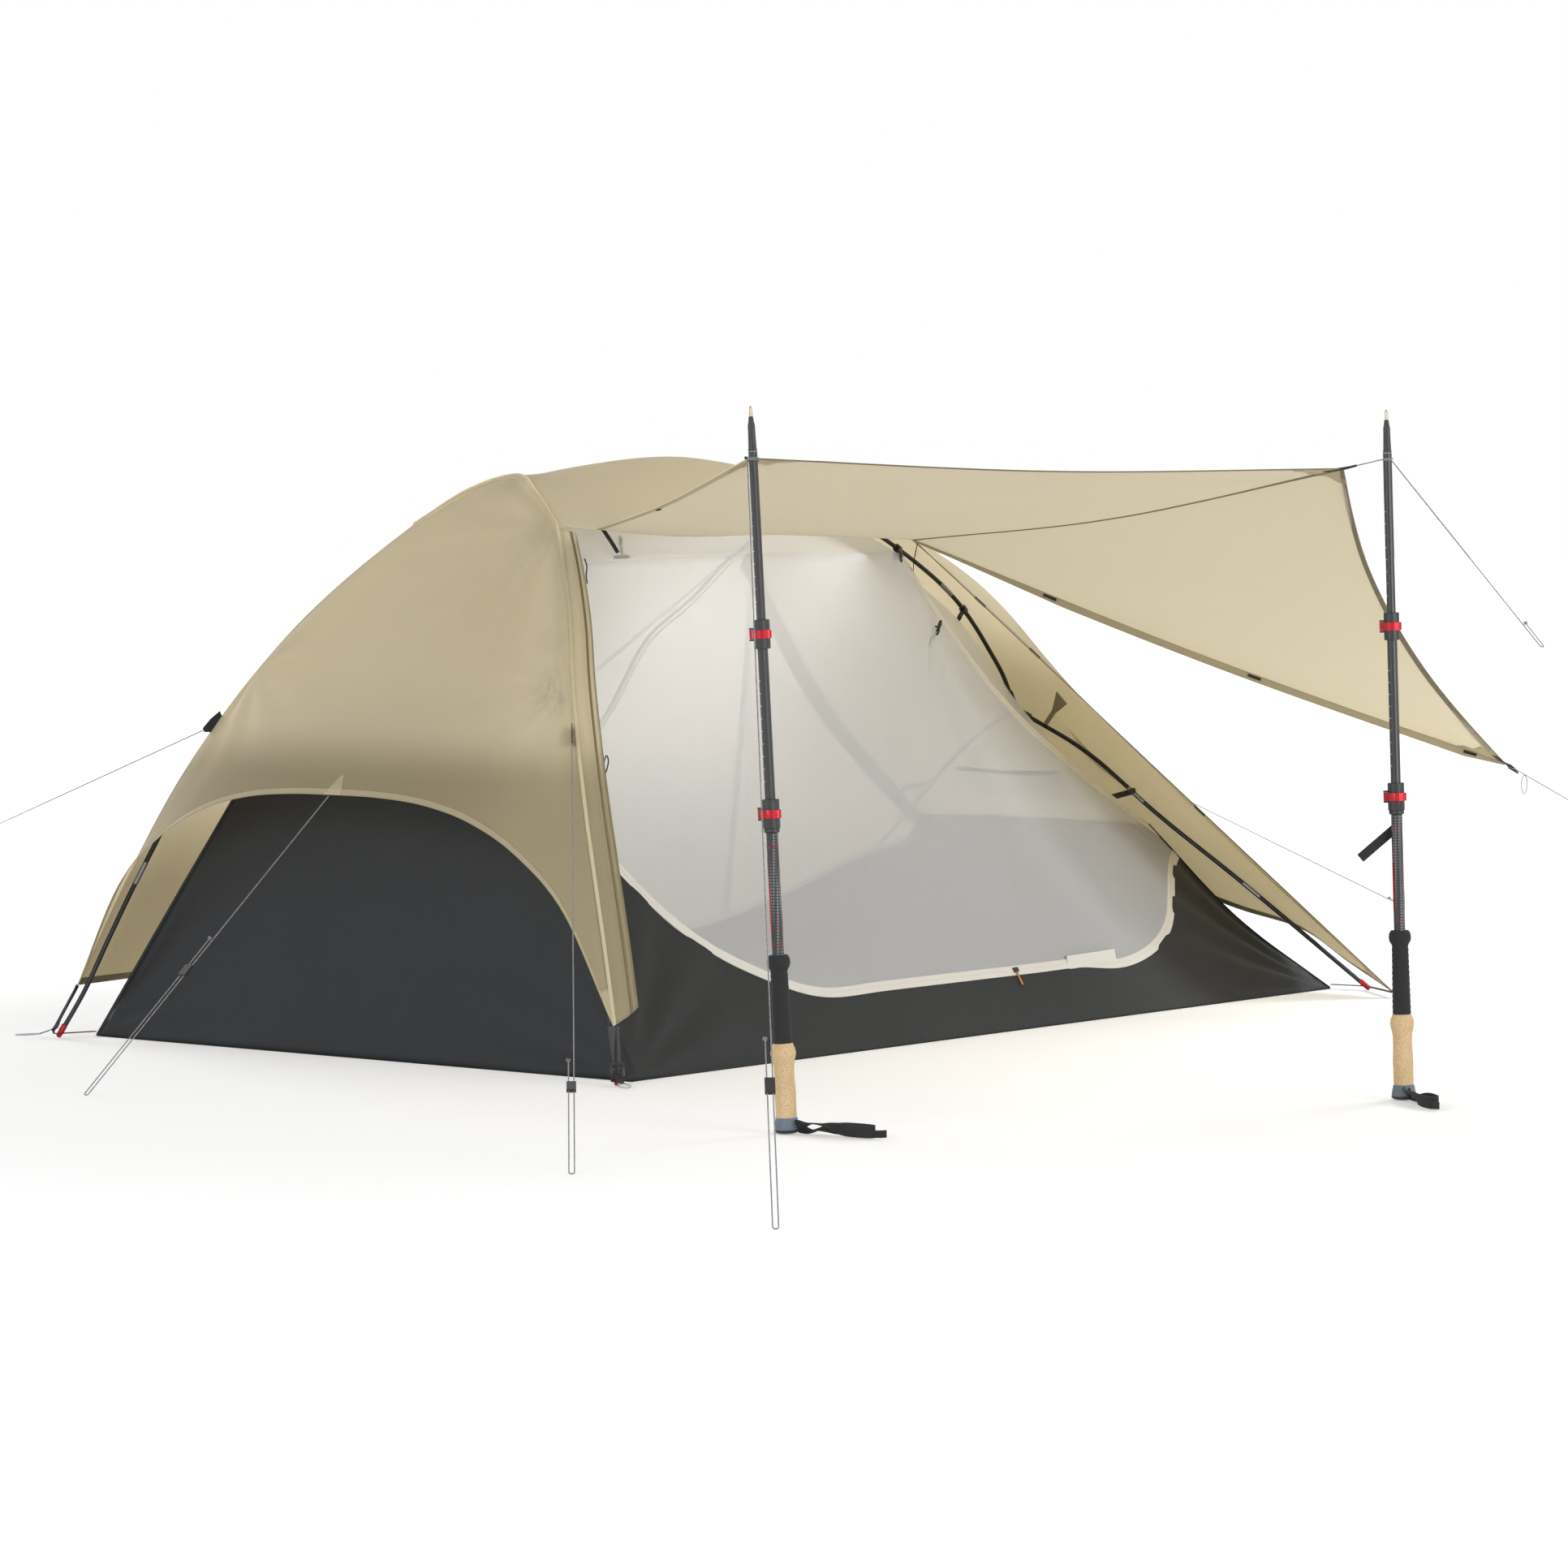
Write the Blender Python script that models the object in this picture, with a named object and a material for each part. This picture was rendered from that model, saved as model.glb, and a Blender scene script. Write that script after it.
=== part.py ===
# Ultralight two-person tent with its door side raised as an awning on two trekking poles.
# Metres, +Z up. The origin is on the ground under the middle of the floor. +X points to the
# foot end, -Y to the side with the open door. The two long sides mirror each other.

import math

import bmesh
import bpy
import numpy as np
from mathutils import Matrix, Vector

# Clearances and cloth
CLOTH = 0.0007
SEAM = 0.00048
TOUCH = 0.0004

# Floor
FLOOR_LENGTH = 2.25
FLOOR_WIDTH = 1.30
HALF_L = FLOOR_LENGTH / 2
HALF_W = FLOOR_WIDTH / 2
FLOOR_THICKNESS = 0.0012
WALL_FOOT = FLOOR_THICKNESS + TOUCH
FLOOR_RIM = 0.002

# Pole frame
POLE_RADIUS = 0.0045
HEAD_HUB = Vector((-HALF_L + 0.465, 0, 1.030))
FOOT_HUB = Vector((HALF_L - 0.207, 0, 0.565))
HEAD_FOOT_OUT = (0.070, 0.026)
FOOT_FOOT_OUT = (0.015, 0.080)
HUB_BALL = 0.013
SOCKET_RADIUS = 0.0075
SOCKET_LENGTH = 0.026
LEG_POINTS = 15
SPINE_POINTS = 25
RIDGE_POLE_X = HEAD_HUB.x + 0.060
RIDGE_POLE_SPAN = 0.37
RIDGE_POLE_RADIUS = 0.0038
RIDGE_POLE_GAP = 0.0005
CLIP_WIDTH = 0.012
CLIP_THICKNESS = 0.0008
CLIP_INSET = 0.008
STRAP_WIDTH = 0.012
STRAP_THICKNESS = 0.0012
STRAP_HEIGHT = 0.009
STRAP_TURN = 0.012
GROMMET_REACH = 0.02

# Shares of the way from a leg's foot to its hub, along X, Y and Z
HEAD_LEG_BOW = [(0.065, 0.065, 0.097), (0.144, 0.157, 0.252), (0.297, 0.327, 0.505),
                (0.514, 0.504, 0.709), (0.776, 0.704, 0.888)]
FOOT_LEG_BOW = [(0.405, 0.315, 0.354), (0.676, 0.566, 0.614), (0.833, 0.781, 0.841)]
# Share of the way along the spine, and its rise above the straight line between the hubs
SPINE_RISE = [(0.241, 0.152), (0.399, 0.212), (0.608, 0.238), (0.845, 0.182), (0.972, 0.061)]

# Fly sheet
FLY_OVER_SPINE = 0.013
FLY_OVER_LEG = 0.018
FLY_OVER_FOOT_LEG = 0.009
DRAPE_PASSES = 12
DRAPE_REACH = 0.05
FLY_HEM_HEIGHT = 0.10
HEADER_HALF = 0.200
HEADER_HEIGHT = 0.923
HEADER_ARCH = 0.012
HEADER_END_X = 0.294
HEAD_ARCH_HEIGHT = 0.377
HEAD_ARCH_OUT = 0.0044
CORNER_HEIGHT = 0.012
FOOT_CORNER_BACK = 0.105
FOOT_CORNER_OUT = 0.215
FLY_FOOT_CORNER = (HALF_L - FOOT_CORNER_BACK, HALF_W + FOOT_CORNER_OUT, CORNER_HEIGHT)
FOOT_ARCH_HEIGHT = 0.285
# Shares of the way from the foot hem's middle to its corner, with its height and its reach past the hub
FOOT_HEM_SHARES = (0.5, 0.72)
FOOT_HEM_HEIGHTS = (0.155, 0.098)
FOOT_HEM_OUT = (0.182, 0.190, 0.196)
HEAD_ARCH_BACK = 0.003
HUB_COVER_HEAD = (-0.012, 0.004)
HUB_COVER_FOOT = (0.016, 0.004)
# The fly's line half-way between its edge and its ridge
MIDDLE_SHARE = 0.54
MIDDLE_LIFT = 0.014
HEAD_MIDDLE_DROP = 0.045
HEAD_MIDDLE = (0.245, 0.200, 0.765)
ROOF_MIDDLE = (-0.280, 1.043)
FOOT_MIDDLE = (0.640, 0.150, 0.800)
PLACKET_WIDTH = 0.062
PLACKET_FOLD = 0.004
# The closed door's lowest point, and how far its seam and hems curve off straight lines
VESTIBULE_X = -0.100
VESTIBULE_DEPTH = 0.650
VESTIBULE_APEX = (VESTIBULE_X, HALF_W + VESTIBULE_DEPTH, CORNER_HEIGHT)
VESTIBULE_SEAM_BOW = (0, 0.010, -0.012)
VESTIBULE_HEAD_HEM_BOW = (0.020, -0.035, 0.012)
VESTIBULE_FOOT_HEM_BOW = (-0.010, -0.045, 0.010)
RIDGE_POLE_DROP = HEAD_HUB.z - HEADER_HEIGHT + 0.015

# Inner tent. Pairs and triples give a place in from the floor's end, out from the middle, and up.
INNER_DROP = 0.042
INNER_HEADER_HALF = 0.190
INNER_HEADER_HEIGHT = 0.890
INNER_HEADER_TILT = 0.005
INNER_HEADER_ARCH = 0.008
INNER_HEAD_TOP = 0.340
INNER_HEAD_TOP_X = -HALF_L + INNER_HEAD_TOP
INNER_FOOT_TOP_X = 0.260
INNER_HEAD_EDGE = ((0.075, 0.438, 0.356), (0.195, 0.300, 0.660))
INNER_HEAD_RIDGE = ((0.080, 0.350), (0.195, 0.680))
INNER_CROWN = (0.065, 0.985)
INNER_SLOPE_EDGE = ((0.530, 0.229, 0.625), (0.754, 0.260, 0.468))
INNER_SLOPE_END = (0.020, 0.440)
INNER_FOOT_EDGE = (0.072, 0.465, 0.142)
INNER_FOOT_RIDGE = (0.062, 0.160)
INNER_BULGE = 0.012
INNER_POLE_STEP = 0.050
WING_BACK = 0.139
WING_TOP = (HALF_L - WING_BACK, 0.291, 0.331)
WING_DIP = (0.002, 0.004)
DOOR_ZIP_HEIGHT = 0.105
# The door zip in shares of the side panel's length and height
DOOR_ZIP = [(0.056, 0.41), (0.101, 0.30), (0.135, 0.243), (0.202, 0.167), (0.25, 0.13),
            (0.70, 0.13), (0.757, 0.165), (0.82, 0.247), (0.87, 0.37), (0.915, 0.53), (0.96, 0.70)]
DOOR_STRAIGHT = (0.26, 0.68)

# Trekking poles, stood on their handles
TREK_LENGTH = 1.155
TREK_1 = (Vector((-1.560, -1.330, 0)), Vector((-1.596, -1.284, 0)))
TREK_2 = (Vector((-0.540, -1.847, 0)), Vector((-0.563, -1.818, 0)))
TREK_SIDES = 16
TREK_UPPER_R = 0.0095
TREK_MIDDLE_R = 0.0085
TREK_LOWER_R = 0.0075
TREK_WALL = 0.0006
TREK_HEAD_TOP = 0.024
TREK_CORK_TOP = 0.144
TREK_FOAM_TOP = 0.285
TREK_UPPER_TOP = 0.530
TREK_MIDDLE_TOP = 0.815
TREK_TIP_LENGTH = 0.072
TREK_FERRULE_Z = TREK_LENGTH - TREK_TIP_LENGTH
TREK_INSERT = 0.110
HITCH_UNDER_TIP = 0.081
HITCH_HEIGHT = TREK_LENGTH - HITCH_UNDER_TIP
LOCK_HEIGHT = 0.046
LOCK_WALL = 0.0047
LOCK_OVER_TUBE = 0.45
LEVER_HEIGHT = 0.014
LEVER_SPAN = 165
LEVER_START = 4
LEVER_STEPS = 14
LEVER_KNUCKLE = 0.0036
LEVER_BAND = 0.0024
LEVER_BAND_SHARE = 0.97
LEVER_FLARE = 0.0022
LEVER_FACING = 110
EAR_HEIGHT = 0.003
NUT_RADIUS = 0.0045
NUT_REACH = 0.006
GRIP_BASE_R = 0.012
GRIP_HEAD_R = 0.021
FOAM_R = 0.0150
# Radius and height pairs, from the ground up
GRIP_OUTLINE = [(0.0190, 0.004), (GRIP_HEAD_R, 0.012), (0.0185, TREK_HEAD_TOP),
                (0.0170, TREK_HEAD_TOP + 0.001), (0.0178, 0.045), (0.0160, 0.070), (0.0152, 0.095),
                (0.0162, 0.120), (0.0170, TREK_CORK_TOP)]
FOAM_OUTLINE = [(0.0146, 0.200), (FOAM_R, 0.250), (0.0180, 0.262), (0.0185, 0.272),
                (FOAM_R, TREK_FOAM_TOP)]
TIP_OUTLINE = [(0.0068, 0), (0.0060, 0.044), (0.0034, 0.050)]
TIP_POINT = (0.0026, 0.003)
WRIST_WIDTH = 0.020
WRIST_THICKNESS = 0.0016
STRAP_1_WAY = (0.03, -0.17)
STRAP_2_WAY = (-0.13, -0.16)
STRAP_1_LENGTH = 0.18
STRAP_2_LENGTH = 0.17

# Awning
AWNING_B = (-1.574, -1.263, HITCH_HEIGHT - 0.002)
AWNING_C = (-0.607, -1.763, HITCH_HEIGHT - 0.017)
AWNING_D = (1.220, -1.000, 0.470)
AWNING_SAG = 0.021
AWNING_HOLLOW = 0.065

# Cords
CORD_R = 0.0010
LOOP_R = 0.0042
LINE_POINTS = 8
TENSIONER = (0.028, 0.0150, 0.0062)
TENSIONER_BORE = 0.0032
TAIL = 0.070
SHORT_TAIL = 0.060
TENSIONER_AT = {"guy_head": 0.33, "guy_near": 0.28, "guy_pole_1": 0.26}
HITCH_TURNS = 1.1
HITCH_PITCH = 0.0026
GUY_TAB_HEIGHT = 0.527
TAB_LENGTH = 0.030
TAB_WIDTH = 0.010
TAB_THICKNESS = 0.0010
TAB_INSET = 0.020
STAKE_HEAD = (-1.855, -0.062, CORD_R)
STAKE_NEAR = (-2.166, -1.399, CORD_R)
STAKE_FAR = (-1.420, 0.782, 0.348)
STAKE_FOOT = (3.220, 0.490, CORD_R)
STAKE_POLE_1 = (-2.462, -2.018, CORD_R)
STAKE_POLE_2 = (-0.200, -1.906, 0.753)
STAKE_AWNING = (1.470, -1.140, 0.320)

# Door zip slider
SLIDER = (0.014, 0.009, 0.005)
SLIDER_GAP = 0.0006
SLIDER_SHARE = 0.545
PULL = (0.004, 0.026, 0.0016)
PULL_PIVOT = 0.0012
PULL_EYE = 0.0005

NEAR = -1
FAR = 1
HEAD_ROWS = 9
ROOF_ROWS = 11
FOOT_ROWS = 9
ACROSS = 13
COLOURS = {
    "tan": ((0.48, 0.42, 0.30), 0.65, 0.0),
    "tan_light": ((0.66, 0.58, 0.43), 0.65, 0.0),
    "charcoal": ((0.045, 0.048, 0.052), 0.6, 0.0),
    "mesh": ((0.72, 0.69, 0.65), 0.8, 0.0),
    "pole": ((0.05, 0.05, 0.055), 0.35, 0.6),
    "black": ((0.02, 0.02, 0.022), 0.5, 0.0),
    "webbing": ((0.03, 0.03, 0.032), 0.8, 0.0),
    "red": ((0.50, 0.02, 0.03), 0.3, 0.3),
    "foam": ((0.025, 0.025, 0.027), 0.95, 0.0),
    "cork": ((0.62, 0.43, 0.24), 0.8, 0.0),
    "steel": ((0.55, 0.52, 0.48), 0.3, 1.0),
    "cord": ((0.30, 0.30, 0.31), 0.8, 0.0),
    "orange": ((0.75, 0.30, 0.05), 0.6, 0.0),
}


def clear_scene():
    for item in list(bpy.data.objects):
        bpy.data.objects.remove(item, do_unlink=True)


def material(name):
    found = bpy.data.materials.get(name)
    if found:
        return found
    colour, roughness, metallic = COLOURS[name]
    made = bpy.data.materials.new(name)
    made.use_nodes = True
    shader = made.node_tree.nodes["Principled BSDF"]
    shader.inputs["Base Color"].default_value = (*colour, 1)
    shader.inputs["Roughness"].default_value = roughness
    shader.inputs["Metallic"].default_value = metallic
    return made


def link(name, data, colour):
    made = bpy.data.objects.new(name, data)
    data.materials.append(material(colour))
    bpy.context.collection.objects.link(made)
    return made


def volume(face):
    """Six times the signed volume between a face and the origin."""
    places = [vertex.co for vertex in face.verts]
    return sum(places[0].dot(b.cross(c)) for b, c in zip(places[1:], places[2:]))


def add_solids(name, solids, colour, frame=None, smooth=True):
    """One object from closed solids, each a pair of points and faces."""
    work = bmesh.new()
    for points, faces in solids:
        vertices = [work.verts.new(p) for p in points]
        made = [work.faces.new([vertices[i] for i in face]) for face in faces]
        bmesh.ops.recalc_face_normals(work, faces=made)
        if sum(volume(face) for face in made) < 0:
            bmesh.ops.reverse_faces(work, faces=made)
    mesh = bpy.data.meshes.new(name)
    work.to_mesh(mesh)
    work.free()
    if smooth:
        mesh.shade_smooth()
        mesh.set_sharp_from_angle(angle=math.radians(35))
    made = link(name, mesh, colour)
    if frame is not None:
        made.matrix_world = frame
    return made


def add_tubes(name, routes, radius, colour, resolution=2):
    """Round rods or cords along lists of points, as bevelled poly curves with filled caps."""
    curve = bpy.data.curves.new(name, "CURVE")
    curve.dimensions = "3D"
    curve.bevel_depth = radius
    curve.bevel_resolution = resolution
    curve.use_fill_caps = True
    for route in routes:
        spline = curve.splines.new("POLY")
        spline.points.add(len(route) - 1)
        for point, place in zip(spline.points, route):
            point.co = (*place, 1)
    return link(name, curve, colour)


def combine(target, name, solids, operation, frame=None):
    """Joins solids to an object or cuts them out of it, with a hidden helper."""
    other = add_solids(name, solids, target.data.materials[0].name, frame)
    other.hide_render = True
    other.display_type = "WIRE"
    modifier = target.modifiers.new(name, "BOOLEAN")
    modifier.operation = operation
    modifier.object = other


# Curves and surfaces


def smooth_curve(points, count, dense=24):
    """Count points, evenly spaced, on a smooth curve through the points."""
    pts = [np.array(p, float) for p in points]
    if len(pts) == 2:
        return np.array([pts[0] + (pts[1] - pts[0]) * t for t in np.linspace(0, 1, count)])
    ends = [2 * pts[0] - pts[1], *pts, 2 * pts[-1] - pts[-2]]
    fine = []
    for a, b, c, d in zip(ends, ends[1:], ends[2:], ends[3:]):
        for t in np.arange(dense) / dense:
            fine.append(0.5 * (2 * b + (c - a) * t + (2 * a - 5 * b + 4 * c - d) * t**2
                               + (3 * b - a - 3 * c + d) * t**3))
    fine = np.array(fine + [pts[-1]])
    run = np.concatenate([[0], np.cumsum(np.linalg.norm(np.diff(fine, axis=0), axis=1))])
    wanted = np.linspace(0, run[-1], count)
    return np.stack([np.interp(wanted, run, fine[:, k]) for k in range(3)], axis=1)


def at_share(curve, share):
    """The point at a share of a sampled curve's length."""
    place = share * (len(curve) - 1)
    low = min(int(place), len(curve) - 2)
    return curve[low] + (curve[low + 1] - curve[low]) * (place - low)


def at_height(curve, height):
    """The point where a sampled curve that climbs passes a height."""
    for a, b in zip(curve, curve[1:]):
        if (a[2] - height) * (b[2] - height) <= 0 and a[2] != b[2]:
            return a + (b - a) * (height - a[2]) / (b[2] - a[2])
    return curve[-1]


def net(guides, across):
    """A grid whose rows run smoothly across the guide curves."""
    return np.array([smooth_curve(row, across) for row in zip(*guides)])


def coons(bottom, top, left, right):
    """A patch between four sampled edges; rows go from bottom to top."""
    rows, columns = len(left), len(bottom)
    grid = np.zeros((rows, columns, 3))
    for i in range(rows):
        v = i / (rows - 1)
        for j in range(columns):
            u = j / (columns - 1)
            ruled = (1 - v) * bottom[j] + v * top[j] + (1 - u) * left[i] + u * right[i]
            corners = ((1 - u) * (1 - v) * bottom[0] + u * (1 - v) * bottom[-1]
                       + (1 - u) * v * top[0] + u * v * top[-1])
            grid[i, j] = ruled - corners
    return grid


def drawn_in(grid, gap):
    """The grid with its four edges drawn in by the gap."""
    moved = grid.copy()
    for edge, inner in (((0, slice(None)), (1, slice(None))), ((-1, slice(None)), (-2, slice(None))),
                        ((slice(None), 0), (slice(None), 1)), ((slice(None), -1), (slice(None), -2))):
        step = moved[inner] - moved[edge]
        length = np.linalg.norm(step, axis=-1, keepdims=True)
        moved[edge] += step * (gap / np.maximum(length, gap))
    return moved


def cloth(grid, thickness=CLOTH, gap=SEAM):
    """A closed thin solid on both sides of a grid of points."""
    grid = drawn_in(np.asarray(grid), gap)
    along = np.gradient(grid, axis=0)
    across = np.gradient(grid, axis=1)
    normal = np.cross(along, across)
    normal /= np.linalg.norm(normal, axis=-1, keepdims=True)
    rows, columns = grid.shape[:2]
    points = np.concatenate([(grid + normal * thickness / 2).reshape(-1, 3),
                             (grid - normal * thickness / 2).reshape(-1, 3)])
    under = rows * columns
    faces = []
    for corners in cells(rows, columns):
        half = [i * columns + j for i, j in corners]
        faces.append(half)
        faces.append([under + k for k in reversed(half)])
    rim = [j for j in range(columns)]
    rim += [i * columns + columns - 1 for i in range(1, rows)]
    rim += [(rows - 1) * columns + j for j in range(columns - 2, -1, -1)]
    rim += [i * columns for i in range(rows - 2, 0, -1)]
    for a, b in zip(rim, rim[1:] + rim[:1]):
        faces.append([b, a, under + a, under + b])
    return points, faces


def sagged(grid, depth):
    """The grid with its middle let down by the depth."""
    rows, columns = grid.shape[:2]
    down = np.outer(np.sin(np.linspace(0, math.pi, rows)), np.sin(np.linspace(0, math.pi, columns)))
    moved = grid.copy()
    moved[:, :, 2] -= down * depth
    return moved


# Small solids


def turned(profile, sides=TREK_SIDES, phase=0.0):
    """A solid turned about Z from radius and height pairs; radius 0 closes an end to a point."""
    rings, points = [], []
    for radius, height in profile:
        if radius == 0:
            rings.append([len(points)])
            points.append((0, 0, height))
            continue
        rings.append(list(range(len(points), len(points) + sides)))
        for k in range(sides):
            angle = phase + 2 * math.pi * k / sides
            points.append((radius * math.cos(angle), radius * math.sin(angle), height))
    closed = profile[0][0] > 0 and profile[-1][0] > 0
    faces = []
    for low, high in zip(rings, rings[1:] + (rings[:1] if closed else [])):
        for k in range(sides):
            after = (k + 1) % sides
            quad = [low[k % len(low)], low[after % len(low)], high[after % len(high)], high[k % len(high)]]
            faces.append(list(dict.fromkeys(quad)))
    return points, faces


def rod(radius, low, high):
    """The profile of a plain cylinder."""
    return [(0, low), (radius, low), (radius, high), (0, high)]


def pipe(outer, inner, low, high):
    """A turned tube with a bore."""
    return turned([(outer, low), (outer, high), (inner, high), (inner, low)])


def bar(a, b, width, thickness, side=None):
    """A flat strip from a to b; side is the direction that its width takes."""
    a, b = Vector(a), Vector(b)
    along = (b - a).normalized()
    side = Vector(side) if side is not None else Vector((0, 0, 1))
    across = (side - along * side.dot(along)).normalized()
    up = along.cross(across)
    points = [place + across * s * width / 2 + up * t * thickness / 2
              for place in (a, b) for s, t in ((-1, -1), (1, -1), (1, 1), (-1, 1))]
    faces = [[0, 1, 2, 3], [4, 5, 6, 7], [0, 1, 5, 4], [1, 2, 6, 5], [2, 3, 7, 6], [3, 0, 4, 7]]
    return points, faces


def strip(path, width, thickness, side):
    """A flat webbing that bends along a path, its width along the side direction."""
    path = [Vector(p) for p in path]
    side = Vector(side)
    points = []
    for k, place in enumerate(path):
        along = (path[min(k + 1, len(path) - 1)] - path[max(k - 1, 0)]).normalized()
        across = (side - along * side.dot(along)).normalized()
        up = along.cross(across)
        points += [place + across * s * width / 2 + up * t * thickness / 2
                   for s, t in ((-1, -1), (1, -1), (1, 1), (-1, 1))]
    faces = [[0, 1, 2, 3], [len(points) - 4 + k for k in range(4)]]
    for k in range(len(path) - 1):
        at = 4 * k
        faces += [[at + i, at + (i + 1) % 4, at + 4 + (i + 1) % 4, at + 4 + i] for i in range(4)]
    return points, faces


def bored_block(size, bore, spacing):
    """A block along X with two square bores along X, side by side in Y."""
    length, width, height = size
    ys = [-width / 2, -spacing / 2 - bore / 2, -spacing / 2 + bore / 2,
          spacing / 2 - bore / 2, spacing / 2 + bore / 2, width / 2]
    zs = [-height / 2, -bore / 2, bore / 2, height / 2]
    holes = {(1, 1), (3, 1)}
    points = [(x, y, z) for x in (-length / 2, length / 2) for y in ys for z in zs]

    def index(end, i, j):
        return end * len(ys) * len(zs) + i * len(zs) + j

    solid = {(i, j) for i in range(5) for j in range(3)} - holes
    faces = []
    for i, j in sorted(solid):
        for end in (0, 1):
            faces.append([index(end, i, j), index(end, i + 1, j),
                          index(end, i + 1, j + 1), index(end, i, j + 1)])
        for (di, dj), (p, q) in {(-1, 0): ((0, 0), (0, 1)), (1, 0): ((1, 0), (1, 1)),
                                 (0, -1): ((0, 0), (1, 0)), (0, 1): ((0, 1), (1, 1))}.items():
            if (i + di, j + dj) not in solid:
                low, high = (i + p[0], j + p[1]), (i + q[0], j + q[1])
                faces.append([index(0, *low), index(1, *low), index(1, *high), index(0, *high)])
    return points, faces


def frame_along(start, end, up=(0, 0, 1)):
    """A frame at start whose X points to end, with Z as near up as it can be."""
    x = (Vector(end) - Vector(start)).normalized()
    z = (Vector(up) - x * x.dot(Vector(up))).normalized()
    y = z.cross(x)
    return Matrix.Translation(start) @ Matrix((x, y, z)).transposed().to_4x4()


def upright(foot, top):
    """A frame at foot whose Z points to top."""
    z = (Vector(top) - Vector(foot)).normalized()
    x = (Vector((1, 0, 0)) - z * z.x).normalized()
    return Matrix.Translation(foot) @ Matrix((x, z.cross(x), z)).transposed().to_4x4()


# The pole frame's centre lines


def leg_curve(foot, hub, bow, side, count=40):
    """A bent leg from its foot to its hub."""
    points = [foot]
    for share in bow:
        points.append(Vector([foot[k] + (hub[k] - foot[k]) * share[k] for k in range(3)]))
    points.append(hub)
    curve = smooth_curve(points, count)
    curve[:, 1] *= side * np.sign(foot[1])
    return curve


def spine_curve(lift=0.0, count=60):
    """The spine from the head hub to the foot hub, or a curve at a distance over it."""
    points = [HEAD_HUB]
    points += [HEAD_HUB.lerp(FOOT_HUB, share) + Vector((0, 0, rise)) for share, rise in SPINE_RISE]
    points.append(FOOT_HUB)
    curve = smooth_curve(points, count)
    slope = np.gradient(curve, axis=0)
    slope /= np.linalg.norm(slope, axis=1, keepdims=True)
    out = np.stack([-slope[:, 2], np.zeros(count), slope[:, 0]], axis=1)
    return curve + out * lift


HEAD_FOOT = Vector((-HALF_L - HEAD_FOOT_OUT[0], HALF_W + HEAD_FOOT_OUT[1], POLE_RADIUS))
FOOT_FOOT = Vector((HALF_L + FOOT_FOOT_OUT[0], HALF_W + FOOT_FOOT_OUT[1], POLE_RADIUS))
LEGS = {
    "head_leg_near": leg_curve(HEAD_FOOT, HEAD_HUB, HEAD_LEG_BOW, NEAR),
    "head_leg_far": leg_curve(HEAD_FOOT, HEAD_HUB, HEAD_LEG_BOW, FAR),
    "foot_leg_near": leg_curve(FOOT_FOOT, FOOT_HUB, FOOT_LEG_BOW, NEAR),
    "foot_leg_far": leg_curve(FOOT_FOOT, FOOT_HUB, FOOT_LEG_BOW, FAR),
}
SPINE = spine_curve()


def trimmed(curve, centre, distance):
    """The part of a curve beyond a distance from its end at the centre, starting right there."""
    curve = [Vector(p) for p in curve]
    centre = Vector(centre)
    for k, (a, b) in enumerate(zip(curve, curve[1:])):
        low, high = (a - centre).length, (b - centre).length
        if low <= distance < high:
            rest = curve[k + 2:] if high - distance < 0.004 else curve[k + 1:]
            return [a.lerp(b, (distance - low) / (high - low))] + rest
    return curve


def pole_routes():
    """The points of each pole's tube, which starts and ends just inside the hub sockets."""
    routes = {}
    for name, leg in LEGS.items():
        routes[name] = smooth_curve(trimmed(leg[::-1], leg[-1], HUB_BALL + TOUCH), LEG_POINTS)
    spine = trimmed(SPINE, SPINE[0], HUB_BALL + TOUCH)
    spine = trimmed(spine[::-1], SPINE[-1], HUB_BALL + TOUCH)
    routes["spine_pole"] = smooth_curve(spine, SPINE_POINTS)[::-1]
    return routes


POLES = pole_routes()


def nearest_place(route, target):
    """The point of a line of straight runs that lies nearest to a target."""
    target = Vector(target)
    best = None
    for a, b in zip(route, route[1:]):
        a, b = Vector(a), Vector(b)
        share = min(max((target - a).dot(b - a) / (b - a).length_squared, 0), 1)
        place = a.lerp(b, share)
        if best is None or (place - target).length < (best - target).length:
            best = place
    return best


# The fly sheet's net of points


def head_seam():
    """The fly's edge over the near head leg, from its hem up to the header."""
    leg = LEGS["head_leg_near"]
    low = at_height(leg, FLY_HEM_HEIGHT)
    shares = (0.19, 0.36, 0.53, 0.69, 0.845)
    places = [low] + [at_share(leg, share) for share in shares]
    outs = [Vector((-0.6, -0.8, 0.0)), Vector((-0.62, -0.72, 0.30)), Vector((-0.60, -0.65, 0.46)),
            Vector((-0.56, -0.55, 0.62)), Vector((-0.48, -0.45, 0.75)), Vector((-0.30, -0.30, 0.90))]
    return [Vector(place) + out.normalized() * FLY_OVER_LEG for place, out in zip(places, outs)]


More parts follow.
